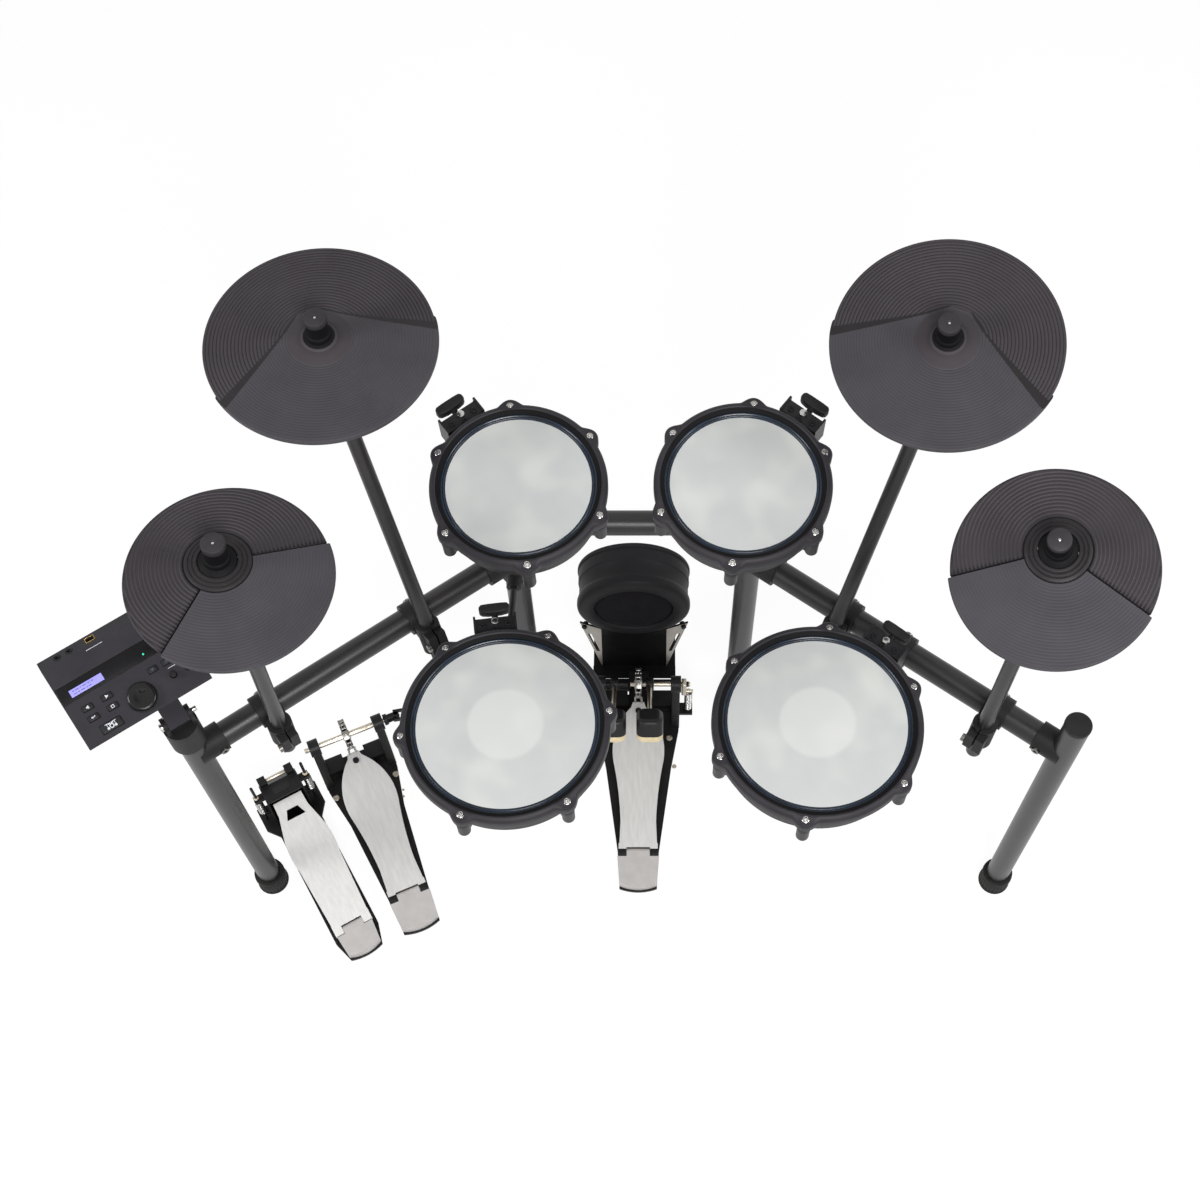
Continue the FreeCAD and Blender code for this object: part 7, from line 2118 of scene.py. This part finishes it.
@dataclass
class HatPedal:
    """The hi-hat control pedal: footboard, sensor cover with its bar, and side rods with ivory balls."""

    x: float = -477.4
    y: float = -435.7
    angle: float = 30.3
    cover_height: float = 110.0
    plate_ahead: float = 249.0
    rod_out: float = 46.0
    rod_ahead: float = 255.0
    ball_height: float = 104.0
    bar_half: float = 17.8
    bar_ahead: float = 270.0
    bar_height: float = 116.0

    def place(self) -> Matrix:
        """The pedal's place at its hinge, on the floor."""
        return Matrix.Translation(spot(self.x, self.y)) @ turn(self.angle, "Z")

    def build(self) -> None:
        """Dresses the footboard and the cover and adds the bar, the balls and the cover's plate."""
        dress(BRUSHED_HAT, "hat_footboard")
        dress(PEDAL_POWDER, "hat_cover")
        place = self.place()
        bar = Shaper()
        bar.bar(place, (-self.bar_half, self.bar_ahead, self.bar_height),
                (self.bar_half, self.bar_ahead, self.bar_height), 3.7)
        bar.put("hat_cross_bar", NICKEL, "rack", "drive_steel")
        balls = Shaper()
        for side in (-1, 1):
            round_line = [(2.6, -3.7), (3.6, -2.9), (4.3, -1.6), (4.6, 0), (4.3, 1.6), (3.6, 2.9), (2.6, 3.7)]
            balls.turned(round_line, place @ move(side * self.rod_out, self.rod_ahead, self.ball_height), 32,
                         ring=True)
        balls.put("hat_rod_balls", IVORY, "rack", "fitting")
        plate = Shaper()
        plate.block(30.0, 13.0, 0.5, place @ move(0, self.plate_ahead, self.cover_height), 0.2)
        plate.put("hat_cover_plate", SHELL_ABS, "rack", "fitting")


# Studio

@dataclass
class Studio:
    """A pale floor, soft lamps, a white surround and the photograph's camera."""

    eye: tuple[float, float, float] = (103.41, -1137.12, 2923.2)
    pitch: float = 62.71
    lens: float = 52.54
    shift: float = -0.0416
    floor_half: float = 30.0
    floor_level: float = -0.0006
    floor_white: float = 0.88
    floor_glow: float = 1.08
    floor_share: float = 0.85
    surround_light: float = 0.18
    aim_height: float = 0.6

    def build(self) -> None:
        """Makes the floor, the light and the camera."""
        self.floor()
        self.surround()
        self.lamps()
        self.camera()
        bpy.context.scene.view_settings.view_transform = "Standard"

    def seen(self, tree: NodeTree) -> NodeSocket:
        """Adds a value that is 1 for rays from the camera, off gloss and through glass.

        Args:
            tree: the node tree.

        Returns:
            The value's socket.
        """
        path = add(tree, "ShaderNodeLightPath").outputs
        gloss = add(tree, "ShaderNodeMath", {0: path["Is Camera Ray"], 1: path["Is Glossy Ray"]},
                    operation="MAXIMUM")
        glass = add(tree, "ShaderNodeMath", {0: gloss.outputs["Value"], 1: path["Is Transmission Ray"]},
                    operation="MAXIMUM")
        return glass.outputs["Value"]

    def floor(self) -> None:
        """Makes a wide white floor that keeps soft shadows."""
        mesh = bpy.data.meshes.new("studio_floor")
        far, low = self.floor_half, self.floor_level
        mesh.from_pydata([(-far, -far, low), (far, -far, low), (far, far, low), (-far, far, low)], [],
                         [(0, 1, 2, 3)])
        thing = show("studio_floor", mesh)
        material = bpy.data.materials.new("white_paper_floor")
        material.use_nodes = True
        tree = material.node_tree
        shader = tree.nodes["Principled BSDF"]
        shader.inputs["Base Color"].default_value = (self.floor_white, self.floor_white, self.floor_white, 1)
        shader.inputs["Roughness"].default_value = 0.9
        shader.inputs["Specular IOR Level"].default_value = 0.0
        glow = add(tree, "ShaderNodeEmission", {"Color": (1, 1, 1, 1), "Strength": self.floor_glow})
        share = add(tree, "ShaderNodeMath", {0: self.seen(tree), 1: self.floor_share}, operation="MULTIPLY")
        mixed = add(tree, "ShaderNodeMixShader", {
            "Fac": share.outputs["Value"], 1: shader.outputs["BSDF"], 2: glow.outputs["Emission"]})
        tree.links.new(mixed.outputs["Shader"], tree.nodes["Material Output"].inputs["Surface"])
        mesh.materials.append(material)

    def surround(self) -> None:
        """Makes a white surround that lights the object softly from every side."""
        world = bpy.data.worlds.new("studio_surround")
        world.use_nodes = True
        tree = world.node_tree
        lit = tree.nodes["Background"]
        lit.inputs["Color"].default_value = (1, 1, 1, 1)
        lit.inputs["Strength"].default_value = self.surround_light
        white = add(tree, "ShaderNodeBackground", {"Color": (1, 1, 1, 1), "Strength": 1.0})
        mixed = add(tree, "ShaderNodeMixShader", {
            "Fac": self.seen(tree), 1: lit.outputs["Background"], 2: white.outputs["Background"]})
        tree.links.new(mixed.outputs["Shader"], tree.nodes["World Output"].inputs["Surface"])
        bpy.context.scene.world = world

    def lamps(self) -> None:
        """Makes three large soft boxes: over the front and over both sides."""
        for name, place, size, power in (
                ("front_box", (0.6, -2.3, 3.3), 1.4, 92.0), ("left_box", (-2.5, -0.9, 2.4), 1.0, 42.0),
                ("right_box", (2.5, -0.6, 2.5), 1.0, 28.0)):
            data = bpy.data.lights.new(name, "AREA")
            data.shape = "SQUARE"
            data.size = size
            data.energy = power
            lamp = show(name, data)
            lamp.location = place
            aim_at = Vector((0, 0, self.aim_height)) - Vector(place)
            lamp.rotation_euler = aim_at.to_track_quat("-Z", "Y").to_euler()

    def camera(self) -> None:
        """Sets the camera at the photograph's viewpoint, looking down over the player's seat."""
        data = bpy.data.cameras.new("photo_camera")
        data.lens = self.lens
        data.sensor_width = 36.0
        data.shift_x = self.shift
        data.clip_end = 100.0
        thing = show("photo_camera", data)
        thing.location = Vector(self.eye) * MM
        thing.rotation_euler = (radians(90 - self.pitch), 0, 0)
        bpy.context.scene.camera = thing


def write_sizes() -> None:
    """Updates the view layer."""
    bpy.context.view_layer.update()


def main() -> None:
    """Builds the sub-assemblies in order and reports each piece."""
    logging.basicConfig(level=logging.INFO, format="%(message)s")
    Studio().build()
    ring = ring_repeater()
    chain = chain_repeater()
    coil = coil_repeater()
    Rack(ring).build()
    cymbals = (
        CymbalPad("hi_hat", CymbalKind.SMALL, (-476, -326, 1074), 4.8, 7, -48.5),
        CymbalPad("left_crash", CymbalKind.CRASH, (-396, 17, 1073), 2.5, -33, -64),
        CymbalPad("right_crash", CymbalKind.CRASH, (412, 18, 1071), 11.6, -126, -115),
        CymbalPad("ride", CymbalKind.SMALL, (513, -316, 1078), 16.9, -130, -106.5))
    for cymbal in cymbals:
        cymbal.build()
    CymbalCaps([cymbal.place() for cymbal in cymbals]).build()
    for pad in (
            DrumPad(ring, "left_tom", 98, (-149, -90, 894), 5.5, 127, SMALL_HEAD),
            DrumPad(ring, "right_tom", 98, (154, -90, 899), 5.5, 52, SMALL_HEAD),
            DrumPad(ring, "snare", 122, (-170, -362, 711), 0, 97.5, LARGE_HEAD),
            DrumPad(ring, "floor_tom", 122, (257, -365, 725), 0, 51, LARGE_HEAD)):
        pad.build()
    SoundModule(ring).build()
    KickPad().build()
    main_pedal = BassPedal("main", 8, -34, 0, 66, BRUSHED, ((55, -52, 5.5), (64, -107, 4.0)))
    slave_pedal = BassPedal("slave", -497, -131, 24, 58, BRUSHED_SLAVE, (
        (56, -52, 5.5), (-56, -52, 5.5), (58, -85, 2.2), (54, -97, 2.2)))
    for pedal in (main_pedal, slave_pedal):
        pedal.build()
    main_pedal.clamp_bar()
    for name, along in (("primary_beater", 20), ("secondary_beater", -42)):
        Beater(name, along, main_pedal).build()
    hat_pedal = HatPedal()
    PedalDrive(chain, coil, main_pedal, slave_pedal, hat_pedal.place()).build()
    hat_pedal.build()
    write_sizes()


if __name__ == "__main__":
    main()
